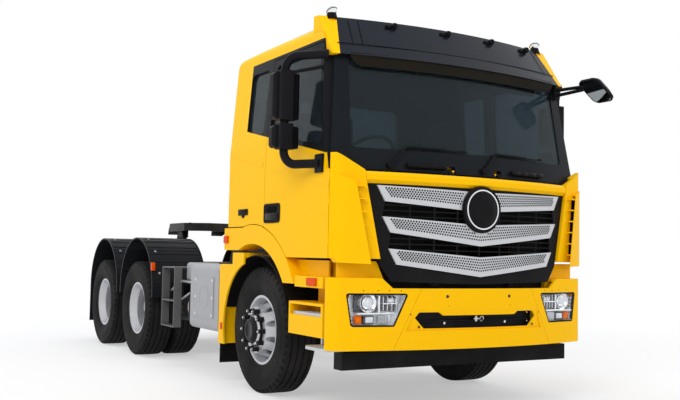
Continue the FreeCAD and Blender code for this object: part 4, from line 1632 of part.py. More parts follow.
def fifth_wheel_plate():
    """Coupling plate with its throat, ramps, skirt, jaw block and trunnion ears."""
    outline = [(-PLATE_HALF, PLATE_FRONT_Y + MOUTH_HALF), (-PLATE_HALF + MOUTH_HALF, PLATE_FRONT_Y),
               (PLATE_HALF - MOUTH_HALF, PLATE_FRONT_Y), (PLATE_HALF, PLATE_FRONT_Y + MOUTH_HALF),
               (PLATE_HALF, PLATE_REAR_Y - MOUTH_HALF), (PLATE_HALF - THROAT_HALF, PLATE_REAR_Y),
               (MOUTH_HALF, PLATE_REAR_Y), (THROAT_HALF, KINGPIN_Y + 2 * THROAT_HALF),
               (-THROAT_HALF, KINGPIN_Y + 2 * THROAT_HALF), (-MOUTH_HALF, PLATE_REAR_Y),
               (-PLATE_HALF + THROAT_HALF, PLATE_REAR_Y), (-PLATE_HALF, PLATE_REAR_Y - MOUTH_HALF)]
    slab = plan_prism(outline, PLATE_DROP_Z - SKIRT_DEPTH, PLATE_TOP_Z)
    level = side_prism([(PLATE_FRONT_Y, PLATE_TOP_Z), (PLATE_REAR_Y - MOUTH_HALF, PLATE_TOP_Z),
                        (PLATE_REAR_Y, PLATE_DROP_Z), (PLATE_REAR_Y, PLATE_DROP_Z - PLATE_WALL),
                        (PLATE_REAR_Y - MOUTH_HALF, PLATE_TOP_Z - PLATE_WALL),
                        (PLATE_FRONT_Y, PLATE_TOP_Z - PLATE_WALL)], -PLATE_HALF, PLATE_HALF)
    skirt = plan_prism(outline, PLATE_TOP_Z - PLATE_WALL - SKIRT_DEPTH, PLATE_TOP_Z - PLATE_WALL / 2)
    inner = plan_prism([(-PLATE_HALF + SKIRT_WALL, PLATE_FRONT_Y + MOUTH_HALF),
                        (-PLATE_HALF + MOUTH_HALF, PLATE_FRONT_Y + SKIRT_WALL),
                        (PLATE_HALF - MOUTH_HALF, PLATE_FRONT_Y + SKIRT_WALL),
                        (PLATE_HALF - SKIRT_WALL, PLATE_FRONT_Y + MOUTH_HALF),
                        (PLATE_HALF - SKIRT_WALL, PLATE_REAR_Y + OVERCUT),
                        (-PLATE_HALF + SKIRT_WALL, PLATE_REAR_Y + OVERCUT)],
                       PLATE_TOP_Z - PLATE_WALL - 2 * SKIRT_DEPTH, PLATE_TOP_Z)
    skirt = skirt.cut([inner,
                       box(-PLATE_HALF, PLATE_HALF, PLATE_REAR_Y - MOUTH_HALF, PLATE_REAR_Y,
                           PLATE_DROP_Z, PLATE_TOP_Z)])
    jaw = box(-2 * THROAT_HALF, 2 * THROAT_HALF, KINGPIN_Y - 2 * THROAT_HALF, KINGPIN_Y + 2 * THROAT_HALF,
              PLATE_TOP_Z - JAW_DEPTH, PLATE_TOP_Z - PLATE_WALL / 2)
    ears = [box(x0, x0 + EAR_WALL, TRUNNION_Y - EAR_HALF, TRUNNION_Y + EAR_HALF,
                TRUNNION_PLATE_Z - EAR_HALF / 2, PLATE_TOP_Z - PLATE_WALL / 2)
            for x0 in (PEDESTAL_X - PEDESTAL_GAP - EAR_WALL, -PEDESTAL_X + PEDESTAL_GAP)]
    pins = rod(point(-PEDESTAL_X - PEDESTAL_WALL, TRUNNION_Y, TRUNNION_PLATE_Z),
               point(-PEDESTAL_X + PEDESTAL_GAP + EAR_WALL, TRUNNION_Y, TRUNNION_PLATE_Z),
               TRUNNION_PIN_RADIUS)
    bore = rod(point(0, KINGPIN_Y, PLATE_TOP_Z - 2 * JAW_DEPTH), point(0, KINGPIN_Y, PLATE_TOP_Z + OVERCUT),
               KINGPIN_BORE)
    return fused(slab.common(level), skirt, jaw, *ears, pins, mirrored(pins)).cut(bore)


def fifth_wheel_base():
    """Mounting plate on the rails with two pedestals that take the trunnion pins."""
    plate = box(-SUBPLATE_HALF, SUBPLATE_HALF, SUBPLATE_FRONT_Y, SUBPLATE_REAR_Y, RAIL_TOP_Z,
                RAIL_TOP_Z + SUBPLATE_WALL)
    low = RAIL_TOP_Z + SUBPLATE_WALL - SEAT_GAP
    stand = side_prism([(TRUNNION_Y - 2 * PEDESTAL_HALF, low), (TRUNNION_Y + 2 * PEDESTAL_HALF, low),
                        (TRUNNION_Y + EAR_HALF, TRUNNION_PLATE_Z + TRUNNION_PIN_RADIUS * 2),
                        (TRUNNION_Y - EAR_HALF, TRUNNION_PLATE_Z + TRUNNION_PIN_RADIUS * 2)],
                       PEDESTAL_X, PEDESTAL_X + PEDESTAL_WALL)
    bore = rod(point(-PLATE_HALF - OVERCUT, TRUNNION_Y, TRUNNION_PLATE_Z),
               point(PLATE_HALF + OVERCUT, TRUNNION_Y, TRUNNION_PLATE_Z),
               TRUNNION_PIN_RADIUS + SEAT_GAP)
    return fused(plate, stand, mirrored(stand)).cut(bore)


# Mirrors

MIRROR_X = 1410.0
MIRROR_POST_Y = -900.0
MIRROR_ROOT_Y = -1180.0
MIRROR_POST_RADIUS = 34.0
MIRROR_UPPER_Z = 2725.0
MIRROR_LOWER_Z = 1880.0
MIRROR_BEND = 110.0
MIRROR_FOOT_HALF = 56.0
MIRROR_FOOT_HEIGHT = 70.0
HOUSING_DEPTH = 80.0
HOUSING_INNER_X = 1272.0
HOUSING_OUTER_X = 1502.0
HOUSING_SPANS = ((2235.0, 2600.0), (2010.0, 2185.0))
HOUSING_RADIUS = 30.0
COVER_HALF = 58.0
COVER_LAP = 12.0
COVER_RADIUS = 16.0
STRUT_SET = 40.0
STRUT_ROOT_Z = 2640.0
STRUT_END_Z = 2590.0
STRUT_RADIUS = 14.0
LOOKDOWN_X = 1105.0
LOOKDOWN_BASE_Y = -1180.0
LOOKDOWN_BASES_Z = (2686.0, 2636.0)
LOOKDOWN_END_Y = -1540.0
LOOKDOWN_ENDS_Z = (2668.0, 2642.0)
LOOKDOWN_TUBE = 15.0
LOOKDOWN_HEAD_LENGTH = 280.0
LOOKDOWN_HEAD_WIDTH = 225.0
LOOKDOWN_HEAD_DEPTH = 58.0
LOOKDOWN_HEAD_RADIUS = 60.0
LOOKDOWN_BACK_SHARE = 0.7
LOOKDOWN_TURN = 35.0
LOOKDOWN_HEAD_X = 1190.0
LOOKDOWN_HEAD_Z = 2628.0


def mirror():
    """Left mirror: a bent arm that runs back from the door, with two housings on its post."""
    root = point(ROOF_SIDE_X, MIRROR_ROOT_Y, MIRROR_UPPER_Z)
    seat = point(CAB_HALF + SEAT_GAP, MIRROR_ROOT_Y, MIRROR_LOWER_Z)
    top = point(MIRROR_X, MIRROR_POST_Y, MIRROR_UPPER_Z)
    low = point(MIRROR_X, MIRROR_POST_Y, MIRROR_LOWER_Z)
    down = point(0, 0, -MIRROR_BEND)
    arm = [*bent_end(root, top, down), *bent_end(seat, low, down * -1),
           rod(top + down, low - down, MIRROR_POST_RADIUS)]
    foot = box(seat.x - MOUNT_WALL, seat.x + MOUNT_WALL, MIRROR_ROOT_Y - MIRROR_FOOT_HALF,
               MIRROR_ROOT_Y + MIRROR_FOOT_HALF, MIRROR_LOWER_Z - MIRROR_FOOT_HEIGHT,
               MIRROR_LOWER_Z + MIRROR_FOOT_HEIGHT)
    heads = [mirror_head(low_z, top_z) for low_z, top_z in HOUSING_SPANS]
    strut = rod(point(root.x, MIRROR_ROOT_Y + STRUT_SET, STRUT_ROOT_Z),
                point(MIRROR_X, MIRROR_POST_Y, STRUT_END_Z), STRUT_RADIUS)
    upper_side = cab_section(-SEAT_GAP).common(
        box(0, CAB_HALF, CAB_FRONT_WALL_Y, CAB_REAR_Y, BELT_Z, ROOF_SIDE_Z))
    body = cut(fused(*arm, foot, strut, *heads), mirror_foot_room(), upper_side)
    return max(body.Solids, key=lambda solid: solid.Volume)


def bent_end(root, corner, along):
    """The level tube from the root and the square bend that turns it into the post."""
    back = (root - corner).normalize()
    start = corner + back * MIRROR_BEND
    ring = Part.Face(Part.Wire([Part.Circle(start, back, MIRROR_POST_RADIUS).toShape()]))
    bend = ring.revolve(start + along, along.cross(back), 90)
    return [rod(root, start, MIRROR_POST_RADIUS), bend]


def mirror_head(low, top):
    """One housing behind the post and the cover that wraps the post in front of it."""
    rear_y = MIRROR_POST_Y + HOUSING_DEPTH
    head = plan_prism([(HOUSING_INNER_X, MIRROR_POST_Y), (HOUSING_OUTER_X, MIRROR_POST_Y),
                       (HOUSING_OUTER_X, rear_y), (HOUSING_INNER_X, rear_y)], low, top,
                      [HOUSING_RADIUS, HOUSING_RADIUS, 0, 0])
    head = head.common(front_prism([(HOUSING_INNER_X, low), (HOUSING_OUTER_X, low),
                                    (HOUSING_OUTER_X, top), (HOUSING_INNER_X, top)],
                                   MIRROR_POST_Y - HOUSING_DEPTH, rear_y, HOUSING_RADIUS))
    cover = plan_prism([(MIRROR_X - COVER_HALF, MIRROR_POST_Y - COVER_HALF),
                        (MIRROR_X + COVER_HALF, MIRROR_POST_Y - COVER_HALF),
                        (MIRROR_X + COVER_HALF, MIRROR_POST_Y + HOUSING_DEPTH / 2),
                        (MIRROR_X - COVER_HALF, MIRROR_POST_Y + HOUSING_DEPTH / 2)],
                       low - COVER_LAP, top + COVER_LAP, [COVER_RADIUS, COVER_RADIUS, 0, 0])
    return fused(head, cover)


def mirror_foot_room():
    """The door's leaning outer face as the mirror's foot meets it."""
    side = box(CAB_HALF - WALL, CAB_HALF + SEAT_GAP, CAB_FRONT_WALL_Y, CAB_REAR_Y, SILL_Z,
               BELT_Z)
    wedge = crease_wedge(DOOR_FRONT_Y, CREASE_FRONT_Z, CAB_REAR_Y - DOOR_FRONT_Y)
    return side.cut(wedge.translated(point(SEAT_GAP, 0, 0)))


def lookdown_mirror():
    """Kerb-view mirror on a two-tube arm from the left end of the windscreen frame."""
    foot = box(LOOKDOWN_X - 2 * LOOKDOWN_TUBE, LOOKDOWN_X + 2 * LOOKDOWN_TUBE,
               LOOKDOWN_BASE_Y - 4 * LOOKDOWN_TUBE, LOOKDOWN_BASE_Y,
               LOOKDOWN_BASES_Z[1] - 2 * LOOKDOWN_TUBE, LOOKDOWN_BASES_Z[0] + 2 * LOOKDOWN_TUBE)
    tubes = [rod(point(LOOKDOWN_X, LOOKDOWN_BASE_Y, low), point(LOOKDOWN_X, LOOKDOWN_END_Y, high),
                 LOOKDOWN_TUBE) for low, high in zip(LOOKDOWN_BASES_Z, LOOKDOWN_ENDS_Z)]
    arm = fused(foot, *tubes).cut(screen_skin(-SEAT_GAP, 4 * FRAME_WALL))
    arm = max(arm.Solids, key=lambda solid: solid.Volume)
    centre_y = -FRONT_REACH + LOOKDOWN_HEAD_WIDTH / 2
    rings = []
    for share, depth in ((1.0, 0), (1.0, LOOKDOWN_HEAD_DEPTH / 3),
                         (LOOKDOWN_BACK_SHARE, LOOKDOWN_HEAD_DEPTH)):
        along = share * LOOKDOWN_HEAD_LENGTH / 2
        across = share * LOOKDOWN_HEAD_WIDTH / 2
        face = rounded_face([point(-along, -across, depth), point(along, -across, depth),
                             point(along, across, depth), point(-along, across, depth)],
                            share * LOOKDOWN_HEAD_RADIUS)
        rings.append(face.OuterWire)
    head = Part.makeLoft(rings, True, True)
    head.rotate(point(0, 0, 0), point(0, 1, 0), LOOKDOWN_TURN)
    head.translate(point(LOOKDOWN_HEAD_X, centre_y, LOOKDOWN_HEAD_Z))
    return fused(arm, head)


# Inside the cab

DASH_FRONT_Y = -1335.0
DASH_REAR_Y = -960.0
DASH_LOW_Z = 1700.0
DASH_TOP_Z = 1960.0
DASH_HALF = 1120.0
WHEEL_RING_RADIUS = 225.0
WHEEL_RING_WALL = 16.0
SPOKE_SHARE = 0.8
DRIVER_X = -620.0
WHEEL_HUB_Y = -860.0
WHEEL_HUB_Z = 1990.0
SEAT_HALF = 250.0
SEAT_FRONT_Y = -560.0
SEAT_REAR_Y = -50.0
SEAT_LOW_Z = 1480.0
SEAT_TOP_Z = 1800.0
SEAT_BACK_TOP_Z = 2420.0
SEAT_BACK_WALL = 150.0
WIPER_PIVOT_X = (-780.0, 70.0)
WIPER_PIVOT_Z = 1880.0
WIPER_ARM_RUN = 150.0
WIPER_BLADE_RUN = 700.0
WIPER_RADIUS = 9.0
WIPER_HUB_RADIUS = 22.0
WIPER_STAND = 22.0
WIPER_ELBOW_Z = 2030.0


def dashboard():
    """Instrument panel with the column and wheel on the right."""
    panel = side_prism([(DASH_FRONT_Y + WALL / 2, DASH_LOW_Z),
                        (DASH_FRONT_Y + WALL / 2, DASH_TOP_Z), (DASH_REAR_Y - WALL, DASH_TOP_Z),
                        (DASH_REAR_Y, DASH_TOP_Z - WALL), (DASH_REAR_Y - WALL, DASH_LOW_Z)],
                       -DASH_HALF, DASH_HALF)
    panel = panel.common(cab_form(WALL + SEAT_GAP))
    hub = point(DRIVER_X, WHEEL_HUB_Y, WHEEL_HUB_Z)
    section = [point(hub.x + WHEEL_RING_RADIUS + WHEEL_RING_WALL * math.cos(turn * math.pi / 4), hub.y,
                     hub.z + WHEEL_RING_WALL * math.sin(turn * math.pi / 4)) for turn in range(8)]
    ring = rounded_face(section, 0).revolve(hub, point(0, 0, 1), 360)
    ring.rotate(hub, point(1, 0, 0), -45)
    disc = rod(hub - point(0, WHEEL_RING_WALL, WHEEL_RING_WALL),
               hub + point(0, WHEEL_RING_WALL, WHEEL_RING_WALL), WHEEL_RING_RADIUS / 3)
    spoke = rod(hub - point(WHEEL_RING_RADIUS, 0, 0), hub + point(WHEEL_RING_RADIUS, 0, 0),
                WHEEL_RING_WALL * SPOKE_SHARE)
    column = rod(hub, hub - point(0, WHEEL_RING_RADIUS, WHEEL_RING_RADIUS), 2 * WHEEL_RING_WALL)
    return fused(panel, ring, disc, spoke, column)


def seats():
    """Two seats on pedestals on the rear floor."""
    base = box(-DRIVER_X - SEAT_HALF, -DRIVER_X + SEAT_HALF, SEAT_FRONT_Y + WALL, SEAT_REAR_Y,
               SEAT_LOW_Z, SEAT_TOP_Z - 2 * WALL)
    cushion = box(-DRIVER_X - SEAT_HALF, -DRIVER_X + SEAT_HALF, SEAT_FRONT_Y, SEAT_REAR_Y,
                  SEAT_TOP_Z - 3 * WALL, SEAT_TOP_Z)
    back = box(-DRIVER_X - SEAT_HALF, -DRIVER_X + SEAT_HALF, SEAT_REAR_Y - SEAT_BACK_WALL,
               SEAT_REAR_Y, SEAT_TOP_Z - SEAT_GAP, SEAT_BACK_TOP_Z)
    cushion = fused(cushion, back)
    return pair(fused(base.common(cab_form(WALL + SEAT_GAP)), cushion))


def wipers():
    """Two parked wipers, each with its pivot low at the right end of its blade."""
    pieces = []
    for x in WIPER_PIVOT_X:
        pivot = wiper_point(x, WIPER_PIVOT_Z)
        elbow = wiper_point(x + WIPER_ARM_RUN, WIPER_ELBOW_Z)
        tip = wiper_point(x + WIPER_BLADE_RUN, WIPER_ELBOW_Z)
        hub = rod(pivot, pivot + point(0, 2 * WIPER_STAND, 0), WIPER_HUB_RADIUS)
        hub = hub.cut(screen_skin(-SEAT_GAP, 3 * FRAME_WALL))
        hub = min(hub.Solids, key=lambda solid: solid.BoundBox.YMin)
        pieces.append(fused(hub, rod(pivot, elbow, WIPER_RADIUS), rod(elbow, tip, WIPER_RADIUS)))
    return Part.makeCompound(pieces)


def wiper_point(x, z):
    """A point that stands off the leaning screen."""
    cowl_share = max(0, (GLASS_LOW_Z - z) / (GLASS_LOW_Z - COWL_Z))
    face_y = max(lean_y(z), GLASS_LOW_Y) + cowl_share * (COWL_Y - GLASS_LOW_Y)
    return point(x, face_y + plan_drop(x) - WIPER_STAND, z)


def build():
    os.makedirs("parts", exist_ok=True)
    wall = cab_wall()
    arms = cab_pivot_arms()
    rests = rear_cab_rests()
    hinge = flap_hinge()
    shell = fused(cab_shell(wall), arms, mirrored(arms), rests, mirrored(rests), hinge,
                  mirrored(hinge))
    right_door = door(wall)
    right_glass = side_glass(window_outline(SEAT_GAP))
    left_mirror = mirror()
    left_knuckle = knuckle()
    left_wheel = front_wheel()
    left_tyre = tyre(FRONT_TRACK_HALF, 0)
    export("cab_shell", cab_panels(shell))
    export("door_right", right_door)
    export("door_left", mirrored(right_door))
    export("door_glass_right", right_glass)
    export("door_glass_left", mirrored(right_glass))
    export("windscreen_frame", windscreen_frame())
    export("cab_glass", cab_glass())
    export("roof_visor", roof_visor())
    export("roof_corners", roof_corners())
    export("corner_panels", corner_panels())
    export("front_flap", front_flap())
    export("grille_surround", grille_surround())
    export("grille_bars", grille_bars())
    export("cab_arches", cab_arches())
    export("arch_liners", arch_liners())
    export("front_mudguards", front_mudguards())
    export("side_steps", side_steps())
    export("step_treads", step_treads())
    export("bumper", bumper())
    export("headlamps", headlamps())
    export("underrun_bar", underrun_bar())
    export("frame_rails", frame_rails())
    export("crossmembers", crossmembers())
    export("cab_mounts", cab_mounts())
    export("front_axle", front_axle())
    export("front_springs", front_springs())
    export("knuckle_left", left_knuckle)
    export("knuckle_right", mirrored(left_knuckle))
    export("tie_rod", tie_rod())
    export("wheel_front_left", left_wheel)
    export("wheel_front_right", mirrored(left_wheel))
    export("tyre_front_left", left_tyre)
    export("tyre_front_right", mirrored(left_tyre))
    for name, y in (("mid", MID_AXLE_Y), ("rear", REAR_AXLE_Y)):
        wheels = twin_wheel(y)
        tyres = Part.makeCompound([tyre(OUTER_TWIN_X, y), tyre(INNER_TWIN_X, y)])
        export("wheels_" + name + "_left", wheels)
        export("wheels_" + name + "_right", mirrored(wheels))
        export("tyres_" + name + "_left", tyres)
        export("tyres_" + name + "_right", mirrored(tyres))
    export("drive_axles", drive_axles())
    export("propshafts", propshafts())
    export("bogie_suspension", bogie_suspension())
    export("powertrain", powertrain())
    export("exhaust_box", exhaust_box())
    export("fuel_tank", fuel_tank())
    export("air_tanks", air_tanks())
    export("deck_ladder", deck_ladder())
    export("drive_fenders", drive_fenders())
    export("tail_beam", tail_beam())
    export("tail_lamps", tail_lamps())
    export("fifth_wheel_plate", fifth_wheel_plate())
    export("fifth_wheel_base", fifth_wheel_base())
    export("mirror_left", left_mirror)
    export("mirror_right", mirrored(left_mirror))
    export("lookdown_mirror", lookdown_mirror())
    export("dashboard", dashboard())
    export("seats", seats())
    export("wipers", wipers())


build()
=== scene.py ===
"""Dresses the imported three-axle tractor unit: paint, tyres, lamps, glass and fittings.

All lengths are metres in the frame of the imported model: +Z is up, the truck looks along -Y and
its right side is -X. Places along the truck are given from the front axle, which lies at AXLE_Y.
"""

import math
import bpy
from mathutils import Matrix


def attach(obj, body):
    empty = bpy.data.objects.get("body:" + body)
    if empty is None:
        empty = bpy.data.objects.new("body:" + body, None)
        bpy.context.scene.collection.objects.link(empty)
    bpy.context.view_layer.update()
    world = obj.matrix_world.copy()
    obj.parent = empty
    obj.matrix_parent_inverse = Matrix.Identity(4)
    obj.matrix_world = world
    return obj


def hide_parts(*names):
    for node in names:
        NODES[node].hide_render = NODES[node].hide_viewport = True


bl_info = {
    "name": "Tractor unit dressing",
    "version": (1, 0, 0),
    "blender": (4, 5, 0),
    "location": "3D View > Sidebar > Tractor",
    "description": "Adds the finish and fittings of a three-axle tractor unit to its packed model",
    "category": "Object",
}

import bpy
from mathutils import Matrix, Vector

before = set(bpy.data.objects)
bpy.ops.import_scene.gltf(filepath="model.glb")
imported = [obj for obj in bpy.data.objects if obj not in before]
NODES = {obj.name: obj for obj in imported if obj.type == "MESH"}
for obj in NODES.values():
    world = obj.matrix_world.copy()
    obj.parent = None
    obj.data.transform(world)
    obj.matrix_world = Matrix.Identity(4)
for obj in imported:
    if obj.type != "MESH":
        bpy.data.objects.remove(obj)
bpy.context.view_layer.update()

AXLE_Y = -1.790
AXLE_Z = 0.540
WHEELBASE = 3.190
BOGIE_SPREAD = 1.350
DRIVE_AXLES = (("mid", WHEELBASE), ("rear", WHEELBASE + BOGIE_SPREAD))
FRONT = -1.567
PLAN_RADIUS = 4.460
FRONT_TRACK = 1.020
OUTER_TWIN = 1.105
INNER_TWIN = 0.755
CAB_SIDE = 1.2445
SKIN_OFF = 0.0006

# The photograph's camera
CAMERA_PLACE = (-4.4892, AXLE_Y - 7.0616, 1.1914)
CAMERA_YAW = 30.23
CAMERA_PITCH = 3.54
CAMERA_ROLL = 1.087
CAMERA_LENS = 47.49


class TruckSizes(bpy.types.PropertyGroup):
    """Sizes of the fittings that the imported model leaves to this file"""
    tyre_radius: bpy.props.FloatProperty(
        name="Tyre radius", description="From the wheel's centre to the tread",
        default=0.540, min=0.4, max=0.7, unit="LENGTH")
    tyre_width: bpy.props.FloatProperty(
        name="Tyre width", description="Across the sidewalls",
        default=0.300, min=0.2, max=0.4, unit="LENGTH")
    hole_radius: bpy.props.FloatProperty(
        name="Grille hole", description="Radius of the holes in the silver bars",
        default=0.0078, min=0.003, max=0.010, unit="LENGTH")
    hole_pitch: bpy.props.FloatProperty(
        name="Hole pitch", description="Distance between the holes of one row",
        default=0.0228, min=0.015, max=0.05, unit="LENGTH")
    hole_rows: bpy.props.IntProperty(
        name="Hole rows", description="Rows of holes in each silver bar", default=5, min=1, max=8)


class TruckColours(bpy.types.PropertyGroup):
    """Colours that a user would change"""
    paint: bpy.props.FloatVectorProperty(
        name="Cab paint", description="Paint of the cab, bumper and guards", subtype="COLOR",
        default=(0.930, 0.505, 0.001), min=0, max=1)
    visor: bpy.props.FloatVectorProperty(
        name="Visor", description="Paint of the roof visor", subtype="COLOR",
        default=(0.009, 0.012, 0.018), min=0, max=1)
    glass: bpy.props.FloatVectorProperty(
        name="Glass tint", description="Tint of the windows", subtype="COLOR",
        default=(0.105, 0.150, 0.172), min=0, max=1)
    bars: bpy.props.FloatVectorProperty(
        name="Grille bars", description="Finish of the grille bars", subtype="COLOR",
        default=(0.560, 0.570, 0.585), min=0, max=1)


def drop(x):
    """How far the curved front falls back at a distance x from the centre line."""
    return x * x / (2 * PLAN_RADIUS)


def at(x, y, z):
    """A point given from the front axle."""
    return Vector((x, AXLE_Y + y, z))


def on_front(x, behind, z):
    """A point a little behind the curve of the bumper's face."""
    return at(x, FRONT + behind + drop(x), z)


# Modelling helpers

def clear_selection():
    if bpy.context.object and bpy.context.object.mode != "OBJECT":
        bpy.ops.object.mode_set(mode="OBJECT")
    bpy.ops.object.select_all(action="DESELECT")


def activate(obj):
    clear_selection()
    obj.select_set(True)
    bpy.context.view_layer.objects.active = obj


def settled():
    """The piece that an operator has just added, its place now in its mesh."""
    bpy.ops.object.transform_apply(location=True, rotation=True, scale=True)
    return bpy.context.object


def edit(obj, mode="FACE", action="SELECT"):
    """Opens a piece in edit mode with all or none of it selected."""
    activate(obj)
    bpy.ops.object.mode_set(mode="EDIT")
    bpy.ops.mesh.select_mode(type=mode)
    bpy.ops.mesh.select_all(action=action)


def leave():
    bpy.ops.object.mode_set(mode="OBJECT")


def pick_faces(obj, test):
    """Opens a piece in edit mode with the faces selected whose centre and normal pass the test."""
    edit(obj, "FACE", "DESELECT")
    leave()
    for face in obj.data.polygons:
        face.select = test(face.center, face.normal)
    bpy.ops.object.mode_set(mode="EDIT")


def pick_edges(obj, test):
    """Opens a piece in edit mode with the edges selected whose two ends pass the test."""
    edit(obj, "EDGE", "DESELECT")
    leave()
    for edge in obj.data.edges:
        edge.select = test(*(obj.data.vertices[i].co for i in edge.vertices))
    bpy.ops.object.mode_set(mode="EDIT")


def push(step):
    """Extrudes the selection by the vector step."""
    bpy.ops.mesh.extrude_region_move(TRANSFORM_OT_translate={"value": step})


def bevel(radius, segments, clamp=True):
    """Rounds the selected edges and leaves edit mode."""
    bpy.ops.mesh.bevel(offset=radius, segments=segments, affect="EDGES", clamp_overlap=clamp)
    leave()


def face_outwards():
    bpy.ops.mesh.select_all(action="SELECT")
    bpy.ops.mesh.normals_make_consistent(inside=False)
    leave()


def block(low, high, radius=0.0, segments=2):
    """A box between two corners, its edges rounded by radius."""
    clear_selection()
    bpy.ops.mesh.primitive_cube_add(size=1, location=[(a + b) / 2 for a, b in zip(low, high)])
    bpy.context.object.scale = [abs(b - a) for a, b in zip(low, high)]
    obj = settled()
    if radius:
        edit(obj, "EDGE")
        bevel(radius, segments)
    return obj


def hollow(obj, test, wall, depth):
    """Insets the faces that pass the test and pushes them by the vector depth."""
    pick_faces(obj, test)
    bpy.ops.mesh.inset(thickness=wall, use_even_offset=True)
    push(depth)
    leave()
    return obj


def traced(points):
    """A line of edges through points, drawn by extruding one vertex from each to the next."""
    clear_selection()
    bpy.ops.mesh.primitive_plane_add(size=0.001, location=points[0])
    obj = settled()
    edit(obj, "VERT")
    bpy.ops.mesh.merge(type="CENTER")
    here = Vector(points[0])
    for point in points[1:]:
        push(Vector(point) - here)
        here = Vector(point)
    bpy.ops.mesh.select_all(action="SELECT")
    return obj


def slab(outline, depth):
    """A closed outline of points filled and pushed out by the vector depth."""
    obj = traced(outline)
    bpy.ops.mesh.edge_face_add()
    bpy.ops.mesh.select_all(action="SELECT")
    push(depth)
    face_outwards()
    return obj


def lathe(profile, centre, axis=(1, 0, 0), steps=48):
    """Spins a profile of (distance along the axis, radius) points round the axis at centre."""
    axis = Vector(axis).normalized()
    out = Vector((0, 0, 1)) if abs(axis.z) < 0.9 else Vector((0, 1, 0))
    out = (out - axis * out.dot(axis)).normalized()
    centre = Vector(centre)
    obj = traced([centre + axis * a + out * r for a, r in profile])
    bpy.ops.mesh.spin(steps=steps, angle=math.tau, center=centre, axis=axis)
    bpy.ops.mesh.select_all(action="SELECT")
    bpy.ops.mesh.remove_doubles(threshold=0.00005)
    face_outwards()
    return obj


def arc_strip(x0, x1, z0, z1, set_back, steps=10):
    """An upright strip that follows the front's plan arc, set_back behind the bumper's face."""
    behind = set_back if callable(set_back) else lambda x: set_back
    xs = [x0 + (x1 - x0) * index / steps for index in range(steps + 1)]
    obj = traced([on_front(x, behind(x), z0) for x in xs])
    push((0, 0, z1 - z0))
    face_outwards()
    return obj


def trim(obj, place, normal):
    """Cuts away what lies on the normal's side of a plane."""
    edit(obj)
    bpy.ops.mesh.bisect(plane_co=place, plane_no=normal, clear_outer=True)
    leave()
    return obj


def trim_outline(obj, outline):
    """Cuts a strip down to a convex (x, z) outline given clockwise as seen from the front."""
    for start, end in zip(outline, outline[1:] + outline[:1]):
        run = Vector((end[0] - start[0], 0, end[1] - start[1]))
        trim(obj, at(start[0], 0, start[1]), run.cross(Vector((0, 1, 0))))
    return obj


def eased(outline, radius):
    """An outline with four points in place of each corner, so that it reads as round."""
    points = []
    for index, corner in enumerate(outline):
        before, after = outline[index - 1], outline[(index + 1) % len(outline)]
        for near, far in ((1.0, 0.0), (0.36, 0.12), (0.12, 0.36), (0.0, 1.0)):
            point = Vector(corner)
            for share, other in ((near, before), (far, after)):
                point += (Vector(other) - Vector(corner)).normalized() * radius * share
            points.append((point.x, point.y))
    return points


def thicken(obj, wall):
    """Gives a sheet a wall behind its face."""
    activate(obj)
    modifier = obj.modifiers.new("wall", "SOLIDIFY")
    modifier.thickness = wall
    modifier.offset = -1.0
    modifier.use_even_offset = True
    bpy.ops.object.modifier_apply(modifier="wall")
    return obj


def bar(start, end, radius, end_radius=None, sides=12):
    """A round bar with eased ends between two points."""
    clear_selection()
    start, end = Vector(start), Vector(end)
    end_radius = end_radius or radius
    run = end - start
    turn = Vector((0, 0, 1)).rotation_difference(run).to_euler()
    bpy.ops.mesh.primitive_cone_add(vertices=sides, radius1=radius, radius2=end_radius,
                                    depth=run.length, location=(start + end) / 2, rotation=turn)
    obj = settled()
    pick_faces(obj, lambda centre, normal: abs(normal.dot(run.normalized())) > 0.99)
    bevel(min(radius, end_radius) * 0.25, 2)
    return obj


def pipe(points, radius, sides=10):
    """A rigid bent pipe: bars from point to point with a ball of the same radius in each bend."""
    pieces = [bar(a, b, radius, sides=sides) for a, b in zip(points, points[1:])]
    for point in points[1:-1]:
        clear_selection()
        bpy.ops.mesh.primitive_uv_sphere_add(segments=sides, ring_count=6, radius=radius,
                                             location=point)
        pieces.append(settled())
    return joined(pieces)


def ring(centre, radius, wall, axis, sides=40, wall_sides=10):
    clear_selection()
    turn = Vector((0, 0, 1)).rotation_difference(Vector(axis)).to_euler()
    bpy.ops.mesh.primitive_torus_add(major_radius=radius, minor_radius=wall, major_segments=sides,
                                     minor_segments=wall_sides, location=centre, rotation=turn)
    return settled()


def bolt(place, axis, radius, height):
    """A washer with a six-sided domed head."""
    washer = lathe(((0, radius * 1.5), (height * 0.25, radius * 1.5), (height * 0.3, radius),
                    (height * 0.3, 0)), place, axis, 16)
    head = lathe(((0, radius), (height * 0.8, radius), (height, radius * 0.7), (height, 0)),
                 place, axis, 6)
    return joined([washer, head])


def mapped(obj, place):
    """Moves a piece's mesh by a matrix, and turns its faces out again where that mirrors them."""
    obj.data.transform(place)
    if place.determinant() < 0:
        obj.data.flip_normals()
    return obj


def copied(obj, place):
    """A copy of a piece with its own mesh, moved by a matrix."""
    twin = obj.copy()
    twin.data = obj.data.copy()
    bpy.context.collection.objects.link(twin)
    return mapped(twin, place)


def copies(obj, places):
    """Copies of a piece, each moved by one matrix, joined in place of the first one."""
    made = [copied(obj, place) for place in places]
    bpy.data.objects.remove(obj, do_unlink=True)
    return joined(made)


def joined(objects):
    clear_selection()
    for obj in objects:
        obj.select_set(True)
    bpy.context.view_layer.objects.active = objects[0]
    if len(objects) > 1:
        bpy.ops.object.join()
    return bpy.context.object


def round_about(centre, count, turn=0.0):
    """Matrices that set count copies evenly round the X axis at centre."""
    there = Matrix.Translation(centre)
    return [there @ Matrix.Rotation(turn + math.tau * index / count, 4, "X") @ there.inverted()
            for index in range(count)]


ACROSS = Matrix.Scale(-1, 4, (1, 0, 0))


